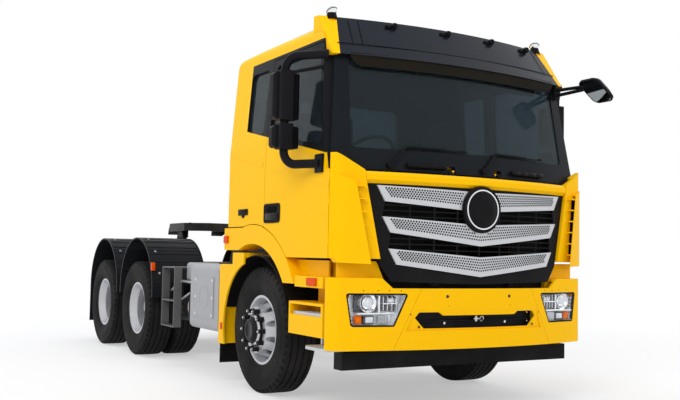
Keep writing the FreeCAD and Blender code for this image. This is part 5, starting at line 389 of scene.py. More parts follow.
def dress(pieces, name, material, body, *nodes, mirror=False, slot=None, degrees=35):
    """Joins pieces into a finished one, and with mirror adds their image on the other side.

    The finished piece gets its name, material and body, and the nodes that it stands for are hidden.
    """
    obj = joined(pieces if isinstance(pieces, list) else [pieces])
    if mirror:
        obj = joined([obj, copied(obj, ACROSS)])
    activate(obj)
    bpy.ops.object.shade_smooth_by_angle(angle=math.radians(degrees))
    obj.name = name
    obj.data.name = name
    obj.data.materials.clear()
    obj.data.materials.append(MATERIALS[material])
    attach(obj, body)
    slot = slot or SLOTS[material]
    if nodes:
        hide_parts(*nodes)


def repaint(material, names):
    """Puts a material on CAD nodes, which keep their meshes."""
    for name in names.split():
        node = NODES[name]
        if node.material_slots:
            for held in node.material_slots:
                held.material = MATERIALS[material]
        else:
            node.data.materials.append(MATERIALS[material])


# Material groups

GROUPS = {}
MATERIALS = {}
SLOTS = {}


def add(tree, kind, feeds=None, **settings):
    """Adds a shader node; feeds maps its inputs to values or to the outputs that feed them."""
    made = tree.nodes.new("ShaderNode" + kind)
    for key, value in settings.items():
        setattr(made, key, value)
    for key, value in (feeds or {}).items():
        feed(tree, made, key, value)
    return made


def feed(tree, target, key, value):
    """Sets an input of a shader node to a value, or links an output to it."""
    if isinstance(value, bpy.types.NodeSocket):
        tree.links.new(value, target.inputs[key])
    else:
        target.inputs[key].default_value = value


def maths(tree, operation, first, second, **settings):
    """The output of one arithmetic step."""
    return add(tree, "Math", {0: first, 1: second}, operation=operation, **settings).outputs[0]


def object_place(tree):
    return add(tree, "TexCoord").outputs["Object"]


def new_group(name, inputs, outputs):
    group = bpy.data.node_groups.new(name, "ShaderNodeTree")
    for label, kind in inputs:
        group.interface.new_socket(label, in_out="INPUT", socket_type="NodeSocket" + kind)
    for label, kind in outputs:
        group.interface.new_socket(label, in_out="OUTPUT", socket_type="NodeSocket" + kind)
    GROUPS[name] = group
    return group, group.nodes.new("NodeGroupInput").outputs, group.nodes.new("NodeGroupOutput")


def make_dust_group():
    """Dust in broad soft patches that thicken towards the ground."""
    group, given, leaving = new_group(
        "Road dust", (("Amount", "Float"), ("Base", "Color"), ("Dust", "Color")),
        (("Colour", "Color"), ("Mask", "Float")))
    place = object_place(group)
    noise = add(group, "TexNoise", {"Vector": place, "Scale": 2.6, "Detail": 5.0,
                                    "Roughness": 0.62})
    level = add(group, "SeparateXYZ", {0: place})
    height = add(group, "MapRange", {"Value": level.outputs["Z"], "From Min": 2.2,
                                     "From Max": 0.1, "To Min": 0.45})
    spread = add(group, "MapRange", {"Value": noise.outputs["Fac"], "From Min": 0.42,
                                     "From Max": 0.72})
    patches = maths(group, "MULTIPLY", spread.outputs["Result"], height.outputs["Result"])
    mask = maths(group, "MULTIPLY", patches, given["Amount"])
    mix = add(group, "Mix", {"Factor": mask, "A": given["Base"], "B": given["Dust"]},
              data_type="RGBA")
    feed(group, leaving, "Colour", mix.outputs["Result"])
    feed(group, leaving, "Mask", mask)


def make_grain_group():
    """Fine grain of moulded plastic, cast iron or paint as a normal, with a matching gloss."""
    group, given, leaving = new_group(
        "Surface grain", (("Scale", "Float"), ("Depth", "Float"), ("Roughness", "Float")),
        (("Normal", "Vector"), ("Roughness", "Float")))
    place = object_place(group)
    noise = add(group, "TexNoise", {"Vector": place, "Scale": given["Scale"], "Detail": 3.0})
    bump = add(group, "Bump", {"Height": noise.outputs["Fac"], "Strength": given["Depth"],
                               "Distance": 0.001})
    smudge = add(group, "TexNoise", {"Vector": place, "Scale": 4.0, "Detail": 4.0})
    span = add(group, "MapRange", {"Value": smudge.outputs["Fac"], "To Min": 0.75,
                                   "To Max": 1.25})
    gloss = maths(group, "MULTIPLY", span.outputs["Result"], given["Roughness"])
    feed(group, leaving, "Normal", bump.outputs["Normal"])
    feed(group, leaving, "Roughness", gloss)


def region(tree, walls):
    """A mask that is 1 where each (a, b, c, d) gives a |x| + b y + c z > d, y from the axle."""
    split = add(tree, "SeparateXYZ", {0: object_place(tree)}).outputs
    side = add(tree, "Math", {0: split["X"]}, operation="ABSOLUTE").outputs[0]
    folded = add(tree, "CombineXYZ", {"X": side, "Y": split["Y"], "Z": split["Z"]}).outputs[0]
    mask = None
    for a, b, c, d in walls:
        reach = add(tree, "VectorMath", {0: folded, 1: (a, b, c)}, operation="DOT_PRODUCT")
        over = maths(tree, "GREATER_THAN", reach.outputs["Value"], d + b * AXLE_Y)
        mask = over if mask is None else maths(tree, "MULTIPLY", mask, over)
    return mask


WINDOW_BAND = ((1, 0, 0, 1.10), (0, -0.2163, 1, 2.229), (0, 0, -1, -2.862), (0, -1, 0, -0.192))
# Near-black places: the door pull's recess and the flap lugs, and painted shade inside the cab,
# behind the grille and in the gap over the step
DARK_TRIM_AND_SHADE_PLACES = {
    # The cab's inner faces: partly a dark lining, partly painted shade inside the cab
    "lining and inner shade": ((-1, 0, 0, -1.222), (-1, 0, -0.0924, -1.4140), (0, -1, 0, -0.495),
               (0, 1, 0, -1.378), (0, 0, 1, 1.195), (0, -0.0493, -1, -2.955),
               (0, 0.6618, -1, -3.590)),
    # The cab's front wall behind the grille: painted shade in the recess
    "shade behind the grille": ((-1, 0, 0, -1.10), (0, -1, 0, 1.380), (0, 0, -1, -1.845)),
    "door pull": ((1, 0, 0, 1.20), (-1, 0, 0, -1.2440), (0, 1, 0, -0.4555), (0, -1, 0, 0.2995),
                  (0, 0, 1, 1.4475), (0, 0, -1, -1.6115)),
    "flap lugs": ((0, 0, 1, 1.8225),),
    # The steps' faces above their tops, near the front: painted shade of the gap under the cab
    "shade in the gap over the step": ((0, 0, 1, 1.0315), (0, -1, 0, 1.187)),
}


def make_zone_groups():
    """Masks of the cab's dark window band, and of the near-black places: the door pull's trim and
    the flap lugs, and painted shade on the linings, in recesses and in gaps.
    """
    for name, trim_and_shade_places in (("Cab zones", ("lining and inner shade", "shade behind the grille", "door pull")),
                              ("Flap zones", ("flap lugs",)),
                              ("Step zones", ("shade in the gap over the step",))):
        group, given, leaving = new_group(name, (), (("Band", "Float"), ("Dark", "Float")))
        # The near-black mask: dark trim and painted shade
        dark = None
        for place in reversed(trim_and_shade_places):
            mask = region(group, DARK_TRIM_AND_SHADE_PLACES[place])
            dark = mask if dark is None else maths(group, "MAXIMUM", mask, dark)
        feed(group, leaving, "Dark", dark)
        if name == "Cab zones":
            feed(group, leaving, "Band", region(group, WINDOW_BAND))


# Materials: slot, colour, roughness, metallic, coat, dust, grain scale, grain depth
FINISHES = {
    "Pillar trim": (None, (0.009, 0.011, 0.014), 0.26, 0, 0.1, 0.02, 300, 0.05),
    "Black plastic": ("black_plastic", (0.008, 0.008, 0.009), 0.5, 0, 0, 0.04, 420, 0.3),
    "Gloss black": ("black_plastic", (0.006, 0.006, 0.007), 0.16, 0, 0.25, 0.02, 200, 0.03),
    # Near-black: painted shade in the grille holes, the corner ducts and the visor's fold, and the
    # own black of the visor's joints, the door pulls' wells and the plate's grease grooves
    "Shade and dark-part black": ("black_plastic", (0.0035, 0.0035, 0.0035), 0.85, 0, 0, 0.05, 600, 0.2),
    # Brown-black strip under the visor: painted shadow that the visor casts on the glass
    "Painted visor shadow": ("black_plastic", (0.012, 0.010, 0.007), 0.55, 0, 0, 0.02, 200, 0.1),
    "Nut cover": ("black_plastic", (0.014, 0.014, 0.016), 0.3, 0, 0.3, 0.1, 200, 0.05),
    "Chassis paint": (None, (0.008, 0.008, 0.009), 0.42, 0, 0.05, 0.08, 120, 0.15),
    "Black iron": ("black_iron", (0.016, 0.016, 0.017), 0.55, 0.2, 0, 0.3, 90, 0.35),
    "Fender plastic": ("dark_panel", (0.011, 0.012, 0.015), 0.34, 0, 0.1, 0.05, 260, 0.2),
    "Wheel silver": (None, (0.560, 0.570, 0.595), 0.34, 0.65, 0.2, 0.12, 300, 0.06),
    "Aluminium": ("bright_aluminium", (0.600, 0.605, 0.615), 0.36, 0.85, 0, 0.1, 240, 0.12),
    "Exhaust steel": ("exhaust_steel", (0.400, 0.410, 0.430), 0.46, 0.55, 0, 0.12, 160, 0.15),
    "Chrome": ("bright_aluminium", (0.840, 0.850, 0.860), 0.08, 1, 0, 0.02, 200, 0.01),
    "Lamp silver": ("bright_aluminium", (0.880, 0.890, 0.910), 0.2, 0.75, 0, 0, 90, 0.05),
    "Lamp bowl": ("bright_aluminium", (0.860, 0.870, 0.890), 0.35, 0.25, 0, 0, 90, 0.05),
    "Lamp shade": ("bright_aluminium", (0.110, 0.113, 0.120), 0.22, 0.5, 0, 0, 90, 0.05),
    "Mirror glass": (None, (0.300, 0.330, 0.350), 0.03, 1, 0, 0.02, 60, 0.005),
    "Red lens": ("tail_red", (0.620, 0.012, 0.006), 0.14, 0, 0.2, 0.03, 240, 0.3),
    "Side marker": (None, (0.720, 0.075, 0.002), 0.14, 0, 0.2, 0.03, 240, 0.3),
    "Amber lens": (None, (0.900, 0.170, 0.004), 0.14, 0, 0.2, 0.03, 240, 0.3),
    "White lens": ("lamp_glass", (0.820, 0.840, 0.860), 0.12, 0.1, 0.2, 0, 240, 0.3),
    "Seat cloth": ("seat_fabric", (0.040, 0.041, 0.046), 0.9, 0, 0, 0.05, 900, 0.6),
    "Dash plastic": ("dark_panel", (0.036, 0.037, 0.041), 0.6, 0, 0, 0.05, 400, 0.3),
    "Mirror black": (None, (0.009, 0.009, 0.011), 0.36, 0, 0.1, 0.02, 420, 0.15),
    "Greased plate": (None, (0.018, 0.018, 0.020), 0.26, 0.3, 0, 0.3, 60, 0.5),
    "Tyre rubber": ("tyre_rubber", (0.014, 0.014, 0.015), 0.68, 0, 0, 0.12, 160, 0.25),
    "Tank cream": (None, (0.520, 0.440, 0.340), 0.45, 0.1, 0.1, 0.45, 60, 0.2),
    "Ladder grey": (None, (0.150, 0.150, 0.155), 0.45, 0.4, 0, 0.25, 200, 0.15),
}
PAINT_COAT = 0.06
PAINT_FINISH = (0.32, 0, PAINT_COAT, 0.02, 30, 0.03)
DUST_COLOUR = (0.17, 0.15, 0.13, 1)
BAND_PAINT = ((0.010, 0.011, 0.013), 0.16)
# Near-black and rough: dark trim, and painted shade in recesses and gaps
DARK_TRIM_AND_SHADE_PAINT = ((0.012, 0.012, 0.013), 0.75)

NODE_FINISHES = {
    "Cab paint": "cab_shell door_left door_right",
    "Yellow paint": "roof_corners cab_arches front_mudguards bumper corner_panels",
    "Flap paint": "front_flap",
    "Step paint": "side_steps",
    "Visor paint": "roof_visor",
    "Pillar trim": "windscreen_frame",
    "Tinted glass": "cab_glass door_glass_left door_glass_right",
    "Black plastic": "grille_surround arch_liners",
    "Fender plastic": "drive_fenders",
    "Silver bar": "grille_bars",
    "Aluminium": "step_treads fuel_tank",
    "Chassis paint": "underrun_bar frame_rails crossmembers cab_mounts front_springs propshafts "
                     "air_tanks tail_beam fifth_wheel_base",
    "Ladder grey": "deck_ladder",
    "Black iron": "front_axle knuckle_left knuckle_right tie_rod drive_axles bogie_suspension "
                  "powertrain",
    "Wheel silver": "wheel_front_left wheel_front_right wheels_mid_left wheels_mid_right "
                    "wheels_rear_left wheels_rear_right",
    "Exhaust steel": "exhaust_box",
    "Gloss black": "tail_lamps",
    "Mirror black": "mirror_left mirror_right lookdown_mirror",
    "Dash plastic": "dashboard",
    "Seat cloth": "seats",
    "Greased plate": "fifth_wheel_plate",
}


def finish(name, slot, colour, roughness, metallic, coat, dust, scale, depth, ior=1.14,
           transmission=0.0):
    """A material of one colour and gloss with dust over it and a grain in it."""
    material = bpy.data.materials.new(name)
    material.use_nodes = True
    tree = material.node_tree
    soil = add(tree, "Group", node_tree=GROUPS["Road dust"])
    grain = add(tree, "Group", node_tree=GROUPS["Surface grain"])
    for target, values in (
            (soil, {"Amount": dust, "Base": (*colour, 1), "Dust": DUST_COLOUR}),
            (grain, {"Scale": scale, "Depth": depth, "Roughness": roughness}),
            (tree.nodes["Principled BSDF"],
             {"Metallic": metallic, "Coat Weight": coat, "Coat Roughness": 0.05,
              "Coat IOR": ior, "IOR": ior, "Transmission Weight": transmission,
              "Base Color": soil.outputs["Colour"], "Normal": grain.outputs["Normal"],
              "Roughness": grain.outputs["Roughness"]})):
        for key, value in values.items():
            feed(tree, target, key, value)
    MATERIALS[name] = material
    SLOTS[name] = slot
    return material


def zoned(material, group):
    """Paints the masked zones of a group over a finished paint: the window band, and near-black trim
    together with painted shade.
    """
    tree = material.node_tree
    shader = tree.nodes["Principled BSDF"]
    zones = add(tree, "Group", node_tree=GROUPS[group])
    colour = shader.inputs["Base Color"].links[0].from_socket
    gloss = shader.inputs["Roughness"].links[0].from_socket
    for label, (tone, rough) in (("Band", BAND_PAINT), ("Dark", DARK_TRIM_AND_SHADE_PAINT)):
        mask = zones.outputs[label]
        colour = add(tree, "Mix", {"Factor": mask, "A": colour, "B": (*tone, 1)},
                     data_type="RGBA").outputs["Result"]
        gloss = add(tree, "Mix", {"Factor": mask, "A": gloss, "B": rough}).outputs["Result"]
    coat = maths(tree, "SUBTRACT", PAINT_COAT, zones.outputs["Dark"], use_clamp=True)
    for key, value in (("Base Color", colour), ("Roughness", gloss), ("Coat Weight", coat)):
        feed(tree, shader, key, value)


def make_materials(colours):
    make_dust_group()
    make_grain_group()
    make_zone_groups()
    for name, values in FINISHES.items():
        finish(name, *values)
    paint = tuple(colours.paint)
    finish("Yellow paint", "paint_yellow", paint, *PAINT_FINISH)
    for name in ("Cab", "Flap", "Step"):
        zoned(finish(name + " paint", None, paint, *PAINT_FINISH), name + " zones")
    finish("Visor paint", None, tuple(colours.visor), 0.20, 0, 0.15, 0.02, 30, 0.03, 1.2)
    finish("Silver bar", None, tuple(colours.bars), 0.36, 0.40, 0.1, 0.02, 500, 0.05)
    finish("Tinted glass", None, tuple(colours.glass), 0.03, 0, 0, 0, 8, 0.004, 1.2, 0.9)
    finish("Lamp glass", "lamp_glass", (0.96, 0.97, 0.98), 0.02, 0, 0, 0.01, 40, 0.01, 1.12, 1)


# Tyres

SIDEWALL = ((0.104, 0.2855), (0.116, 0.298), (0.127, 0.316), (0.130, 0.332), (0.134, 0.3335),
            (0.137, 0.346), (0.145, 0.372), (0.1485, 0.408), (0.1478, 0.436), (0.1500, 0.439),
            (0.1496, 0.445), (0.146, 0.448), (0.1435, 0.474), (0.1395, 0.492), (0.1418, 0.496),
            (0.1395, 0.508), (0.1330, 0.527), (0.1230, 0.5365))
GROOVES = (0.088, 0.030, -0.030, -0.088)
GROOVE_DEPTH = 0.014
TREAD_STEPS = 96


def tyre_profile(sizes):
    wide = sizes.tyre_width / 0.300
    tall = sizes.tyre_radius / 0.540
    right = [(a * wide, r * tall) for a, r in SIDEWALL]
    tread = []
    for groove in GROOVES:
        crown = sizes.tyre_radius - 0.0005 - 0.08 * groove * groove
        floor = crown - GROOVE_DEPTH
        tread += [((groove + 0.008) * wide, crown), ((groove + 0.0055) * wide, floor),
                  ((groove - 0.0055) * wide, floor), ((groove - 0.008) * wide, crown)]
    left = [(-a, r) for a, r in reversed(right)]
    return right + tread + left + [right[0]]


def make_tyre(sizes):
    """One tyre round the origin's X axis: rings on its sidewall, grooves and cut shoulders."""
    obj = lathe(tyre_profile(sizes), (0, 0, 0), (1, 0, 0), TREAD_STEPS)
    low = sizes.tyre_radius - 0.036

    def notch(centre, normal):
        radius = math.hypot(centre.y, centre.z)
        turn = math.atan2(centre.z, centre.y) % math.tau
        step = int(turn / math.tau * TREAD_STEPS)
        return low < radius and abs(centre.x) > 0.125 and step % 2 == 0

    pick_faces(obj, notch)
    bpy.ops.mesh.inset(thickness=0.0012, depth=-0.006, use_individual=True)
    leave()
    return obj


def make_tyres(sizes):
    master = make_tyre(sizes)
    for side, label in ((1, "left"), (-1, "right")):
        front = copied(master, Matrix.Translation(at(side * FRONT_TRACK, 0, AXLE_Z)))
        dress(front, "tyre_tread_front_" + label, "Tyre rubber", "front_wheel_" + label,
              "tyre_front_" + label)
        for axle, y in DRIVE_AXLES:
            twins = [copied(master, Matrix.Translation(at(side * x, y, AXLE_Z)))
                     for x in (OUTER_TWIN, INNER_TWIN)]
            dress(twins, "tyre_treads_%s_%s" % (axle, label), "Tyre rubber",
                  "%s_wheels_%s" % (axle, label), "tyres_%s_%s" % (axle, label))
    bpy.data.objects.remove(master, do_unlink=True)


# Wheel fittings

NUT_CIRCLE = 0.1675
NUT_COUNT = 10
DISC_OFFSET = 0.165
NUT_COVER = ((0.0005, 0.0172), (0.0005, 0.0235), (0.005, 0.0235), (0.007, 0.0200),
             (0.052, 0.0188), (0.062, 0.0165), (0.0665, 0.0125), (0.0665, 0))
NUT_TIP = ((0.0660, 0.0095), (0.0676, 0.0090), (0.0682, 0.0060), (0.0682, 0))
FRONT_HUB = ((0.0005, 0.1325), (0.0005, 0.1400), (0.018, 0.1385), (0.0225, 0.1290),
             (0.027, 0.1225), (0.031, 0.1200), (0.0675, 0.0870), (0.0695, 0.0820),
             (0.0695, 0.0600), (0.0668, 0.0560), (0.0668, 0))
REAR_HUB = ((0, 0.1105), (0, 0.1180), (0.016, 0.1180), (0.020, 0.1130), (0.118, 0.1115),
            (0.1255, 0.1060), (0.1255, 0.0800), (0.1205, 0.0760), (0.1205, 0))


def wheel_set(x, y, hub, body, axle):
    """Nut covers with bright tips and a stepped hub cover on one wheel's outer face."""
    centre = at(x, y, AXLE_Z)
    on_circle = centre + Vector((0, 0, NUT_CIRCLE))
    turns = round_about(centre, NUT_COUNT, math.tau / 4)
    covers = copies(lathe(NUT_COVER, on_circle, steps=12), turns)
    tips = copies(lathe(NUT_TIP, on_circle, steps=12), turns)
    for obj, name, material in ((covers, "nut_covers_", "Nut cover"), (tips, "nut_tips_", "Chrome"),
                                (lathe(hub, centre), "hub_cover_", "Nut cover")):
        twin = copied(obj, ACROSS)
        dress(obj, name + axle + "_left", material, body + "_left")
        dress(twin, name + axle + "_right", material, body + "_right")


def make_wheel_fittings():
    wheel_set(FRONT_TRACK + DISC_OFFSET, 0, FRONT_HUB, "front_wheel", "front")
    for axle, y in DRIVE_AXLES:
        wheel_set(OUTER_TWIN - DISC_OFFSET, y, REAR_HUB, axle + "_wheels", axle)


# Grille

# Each silver bar is a shallow V: top edge and half width at the ends, top and foot at the middle
SILVER_BARS = ((1.720, 0.906, 1.704, 1.548), (1.488, 0.861, 1.446, 1.283),
               (1.250, 0.809, 1.196, 1.044))
BAR_FACE = 0.012
BAR_END_HEIGHT = 0.118
BAR_END_SLANT = 0.064
BAR_TOP_BORDER = 0.010
BAR_LOW_BORDER = 0.036
BAR_END_BORDER = 0.052
BADGE_Z = 1.569
BADGE_RADIUS = 0.184


def bar_rows(sizes):
    """Places of the holes: rows that follow each bar's shallow V inside a plain border."""
    places = []
    centre_y = FRONT + PLAN_RADIUS
    reach = PLAN_RADIUS - BAR_FACE + SKIN_OFF
    for top, half, mid, tip in SILVER_BARS:
        count = int((half - 0.030) / sizes.hole_pitch)
        foot = top - BAR_END_HEIGHT
        for row in range(sizes.hole_rows):
            share = (row + 0.5) / sizes.hole_rows
            shift = 0.5 * (row % 2) + 0.25
            for column in range(-count, count):
                x = (column + shift) * sizes.hole_pitch
                high = mid + (top - mid) * abs(x) / half - BAR_TOP_BORDER
                low = tip + (foot - tip) * abs(x) / (half - BAR_END_SLANT) + BAR_LOW_BORDER
                z = high + (low - high) * share
                end = half - BAR_END_SLANT * (top - z) / BAR_END_HEIGHT - BAR_END_BORDER
                if abs(x) > end or math.hypot(x, z - BADGE_Z) < BADGE_RADIUS + 0.012:
                    continue
                turn = math.asin(x / reach)
                places.append(Matrix.Translation(at(x, centre_y - reach * math.cos(turn), z))
                              @ Matrix.Rotation(turn, 4, "Z"))
    return places


def make_grille(sizes):
    hole = lathe(((0, sizes.hole_radius), (-0.0004, sizes.hole_radius * 0.9), (-0.0004, 0)),
                 (0, 0, 0), (0, 1, 0), 8)
    # Near-black discs on the bars: painted shade in the holes
    dress(copies(hole, bar_rows(sizes)), "bar_hole_shade", "Shade and dark-part black", "front_flap", degrees=20)
    centre = at(0, FRONT - 0.008, BADGE_Z)
    disc = lathe(((0.0240, 0.1790), (0.0240, 0.1838), (0.0020, BADGE_RADIUS), (-0.0040, 0.1800),
                  (-0.0060, 0.1720), (-0.0045, 0.1610), (-0.0010, 0.1560), (-0.0010, 0.1440),
                  (-0.0040, 0.1400), (-0.0065, 0.0800), (-0.0075, 0)), centre, (0, 1, 0), 64)
    dress(disc, "badge_disc", "Gloss black", "front_flap")
    dress(ring(centre + Vector((0, -0.0035, 0)), 0.1515, 0.0072, (0, 1, 0), 64, 8),
          "badge_rings", "Chrome", "front_flap")


# Headlamps

# Corners of the lamp's outline, with the way in which each moves when the outline is drawn in
LAMP_CORNERS = ((0.650, 0.917, 1.7, -1), (1.139, 0.917, -1, -1), (1.099, 0.673, -1, 1),
                (0.764, 0.673, 0.7, 1))
LAMP_ROUND = 0.022


def lamp_strip(fit, set_back):
    """The lamp's outline, drawn in by fit, on the bumper's curve."""
    outline = [(x + fit * a, z + fit * b) for x, z, a, b in LAMP_CORNERS]
    return trim_outline(arc_strip(0.62, 1.16, 0.65, 0.94, set_back, 12),
                        eased(outline, LAMP_ROUND))


def lamp_block(x0, x1, z0, z1, front, back, radius=0.004):
    """A rounded block in the lamp between two depths behind the lens."""
    y = FRONT + drop((x0 + x1) / 2)
    return block(at(x0, y + front, z0), at(x1, y + back, z1), radius)


def lamp_silver_parts(projector):
    """The projector's rings, the bright dividers, the grids of bars and the outer row of squares."""
    parts = [lathe(((0.074, 0.020), (0.050, 0.036), (0.026, 0.058), (0.014, 0.066), (0.013, 0.070),
                    (0.030, 0.070), (0.074, 0.062)), projector, (0, 1, 0), 40),
             ring(projector + Vector((0, 0.030, 0)), 0.040, 0.005, (0, 1, 0), 36, 8),
             lamp_block(0.868, 0.884, 0.772, 0.902, 0.014, 0.074),
             lamp_block(0.700, 1.060, 0.764, 0.776, 0.016, 0.074)]
    for index in range(4):
        x = 0.734 + 0.034 * index
        parts.append(lamp_block(x, x + 0.006, 0.790, 0.894, 0.022, 0.070, 0.002))
    parts.append(lamp_block(0.722, 0.852, 0.838, 0.846, 0.018, 0.066, 0.002))
    for index in range(7):
        x = 0.790 + 0.013 * index
        parts.append(lamp_block(x, x + 0.005, 0.688, 0.754, 0.030, 0.070, 0.0015))
    for index in range(7):
        x, z = 1.076 + 0.004 * index, 0.690 + 0.0275 * index
        parts.append(lamp_block(x, x + 0.024, z, z + 0.020, 0.022, 0.060, 0.003))
    return parts


def make_headlamps():
    lens = thicken(lamp_strip(0.010, 0.0008), 0.003)
    rim = lamp_strip(0.0, 0.0008)
    edit(rim)
    bpy.ops.mesh.inset(thickness=0.011, use_even_offset=True)
    bpy.ops.mesh.delete(type="FACE")
    leave()
    thicken(rim, 0.020)
    bowl = hollow(lamp_strip(0.006, 0.008), lambda centre, normal: True, 0.004, (0, 0.068, 0))
    projector = on_front(0.962, 0, 0.846)
    silver = lamp_silver_parts(projector)
    shade = [lamp_block(0.726, 0.856, 0.786, 0.898, 0.052, 0.072),
             lamp_block(0.900, 0.990, 0.690, 0.752, 0.036, 0.072),
             lamp_block(0.890, 1.058, 0.778, 0.908, 0.058, 0.073)]
    bulbs = [lathe(((0.030, 0.036), (0.022, 0.028), (0.018, 0.014), (0.017, 0)),
                   projector, (0, 1, 0), 32),
             lamp_block(0.744, 0.800, 0.848, 0.880, 0.030, 0.060, 0.008),
             lamp_block(0.910, 0.976, 0.698, 0.744, 0.028, 0.040, 0.010)]
    ambers = [lamp_block(1.000, 1.056, 0.690, 0.754, 0.020, 0.060, 0.012),
              lamp_block(1.102, 1.126, 0.882, 0.902, 0.020, 0.050)]
    dress(lens, "lamp_lenses", "Lamp glass", "chassis", "headlamps", mirror=True)
    for pieces, name, material in ((rim, "lamp_rims", "Gloss black"),
                                   (bowl, "lamp_bowls", "Lamp bowl"),
                                   (silver, "lamp_silver", "Lamp silver"),
                                   (shade, "lamp_shade", "Lamp shade"),
                                   (bulbs, "lamp_bulbs", "White lens"),
                                   (ambers, "lamp_ambers", "Amber lens")):
        dress(pieces, name, material, "chassis", mirror=True)


# Bumper and steps

BUMPER_TOP = 0.950
STEP_TOP = 1.0305


def make_bumper_bolts():
    screws = [bolt(on_front(x, 0.0002, 0.938), (0, -1, 0), 0.0034, 0.003)
              for x in (0.712, 0.805, 0.894, 1.005)]
    screws += [bolt(on_front(x, 0.004, z), (0, -1, 0), 0.0060, 0.006)
               for x, z in ((0.632, 0.762), (0.560, 0.668))]
    dress(screws, "bumper_screws", "Black iron", "chassis", mirror=True)
    dress([bolt(on_front(x, 0.0615, z), (0, -1, 0), 0.0065, 0.006)
           for x, z in ((0.555, 0.762), (0.555, 0.690), (0.300, 0.690))],
          "intake_bolts", "Chrome", "chassis", mirror=True)
    dress([bolt(on_front(x, 0.0002, 0.895), (0, -1, 0), 0.0085, 0.004) for x in (-0.317, 0.290)],
          "bumper_plugs", "Black iron", "chassis")


def make_bumper_infills():
    """Necks and step risers under the cab, and the black strip between them with its bolts."""
    neck = arc_strip(0.790, 1.165, BUMPER_TOP, 1.154, 0.075, 8)
    trim(neck, at(0.803, 0, 1.000), Vector((-0.915, 0, 0.404)))
    pick_faces(thicken(neck, 0.050), lambda centre, normal: normal.z > 0.9)
    bevel(0.008, 2)
    dress(neck, "bumper_necks", "Yellow paint", "chassis", mirror=True)
    shroud = thicken(arc_strip(-0.800, 0.800, 0.935, 1.060, 0.110, 16), 0.006)
    dress(shroud, "front_shroud", "Black plastic", "chassis")
    hooks = [bolt(on_front(-0.443, 0.109, 1.020), (0, -1, 0), 0.016, 0.016)]
    hooks += [block(at(x, -1.462, 0.985), at(x + 0.010, -1.440, 1.050), 0.002)
              for x in (0.352, 0.404)]
    dress(hooks, "shroud_bolts", "Exhaust steel", "chassis")
    riser = slab([at(-1.150, -1.184, STEP_TOP), at(-1.150, -1.184, 1.152),
                  at(-1.150, -0.640, 1.152), at(-1.150, -0.712, STEP_TOP)], Vector((0.015, 0, 0)))
    dress(riser, "step_risers", "Yellow paint", "chassis", mirror=True)


def make_towing_pin():
    y = FRONT + 0.040
    dress([bar(at(-0.02, y, 0.700), at(-0.02, y, 0.745), 0.012),
           bar(at(-0.045, y - 0.004, 0.722), at(0.005, y - 0.004, 0.722), 0.008),
           ring(at(0.040, y + 0.004, 0.720), 0.018, 0.005, (0, 1, 0.2), 24, 8)],
          "towing_pin", "Aluminium", "chassis")


def make_tread_grips():
    ridges = []
    for rows, x0, pitch, front, rear, z in ((6, 1.082, 0.023, -1.215, -0.772, 0.7538),
                                            (7, 1.052, 0.026, -1.262, -0.990, 0.5038)):
        for row in range(rows):
            x = x0 + pitch * row
            ridges.append(block(at(x, front, z), at(x + 0.008, rear, z + 0.0027), 0.001))
    dress(ridges, "tread_grips", "Aluminium", "chassis", mirror=True)


def make_side_markers():
    for index, (y, z, half, tall, body) in enumerate(((-1.100, 0.989, 0.076, 0.030, "chassis"),
                                                      (0.548, 1.318, 0.046, 0.034, "cab"))):
        marker = block(at(-1.258, y - half, z - tall), at(-CAB_SIDE, y + half, z + tall), 0.006, 3)
        hollow(marker, lambda centre, normal: normal.x < -0.9, 0.008, (-0.0025, 0, 0))
        dress(marker, "side_marker_%d" % index, "Side marker", body, mirror=True)
    low = block(at(-1.2525, 0.600, 0.500), at(-CAB_SIDE, 0.640, 0.560), 0.003)
    dress(low, "side_marker_2", "Side marker", "chassis", mirror=True)


# Windscreen, visor and roof

WIPER_PIVOTS = (-0.780, 0.070)
SCREEN_FOOT = 2.000
VISOR_FOLD = 2.820
CLAMP_PLACES = (-0.599, -0.094, 0.377, 0.818)
GRIP_SPANS = ((-0.640, -0.300), (0.367, 0.741))
BEACON = (1.059, -0.9903, 3.041)


def visor_y(z):
    """The visor's outer face on the centre line."""
    if z < VISOR_FOLD:
        return -1.385 + (z - 2.725) * 0.067 / 0.095
    return -1.318 + (z - VISOR_FOLD) * 0.168 / 0.246


def on_visor(x, z, stand=0.0):
    return at(x, visor_y(z) + drop(x) - stand, z)


def screen_y(z):
    return -1.455 + 0.115 * (z - SCREEN_FOOT) / 0.680


def wiper(pivot_x):
    """One parked wiper: hub, flat arm, blade carrier and rubber."""
    def spot(x, z, stand=0.022):
        cowl = max(0.0, (SCREEN_FOOT - z) / 0.168)
        return at(x, max(screen_y(z), -1.455) - 0.037 * cowl + drop(x) - stand, z)

    pivot = spot(pivot_x, 1.880)
    elbow = spot(pivot_x + 0.150, 2.030)
    tip = spot(pivot_x + 0.700, 2.030)
    middle = elbow + (tip - elbow).normalized() * 0.300
    parts = [lathe(((-0.014, 0), (-0.014, 0.018), (-0.008, 0.0235), (0.020, 0.0235),
                    (0.024, 0.0215)), pivot, (0, 1, 0), 20),
             bar(pivot, elbow, 0.0105, 0.0085, 8),
             bar(elbow, middle, 0.0085, 0.0060, 8)]
    for share in (0.02, 0.34, 0.62, 0.96):
        place = elbow.lerp(tip, share)
        parts.append(block(place + Vector((-0.014, -0.004, -0.010)),
                           place + Vector((0.014, 0.008, 0.004)), 0.002))
    for under, radius, end_radius in ((Vector((0, 0.003, -0.006)), 0.0050, 0.0040),
                                      (Vector((0, 0.009, -0.012)), 0.0030, 0.0025)):
        parts.append(bar(elbow + under, tip + under, radius, end_radius, 6))
    parts.append(bar(middle, middle + Vector((0, 0.004, -0.006)), 0.010, 0.008, 8))
    return joined(parts)


def make_wipers():
    dress([wiper(x) for x in WIPER_PIVOTS], "wiper_blades", "Black plastic", "cab", "wipers")


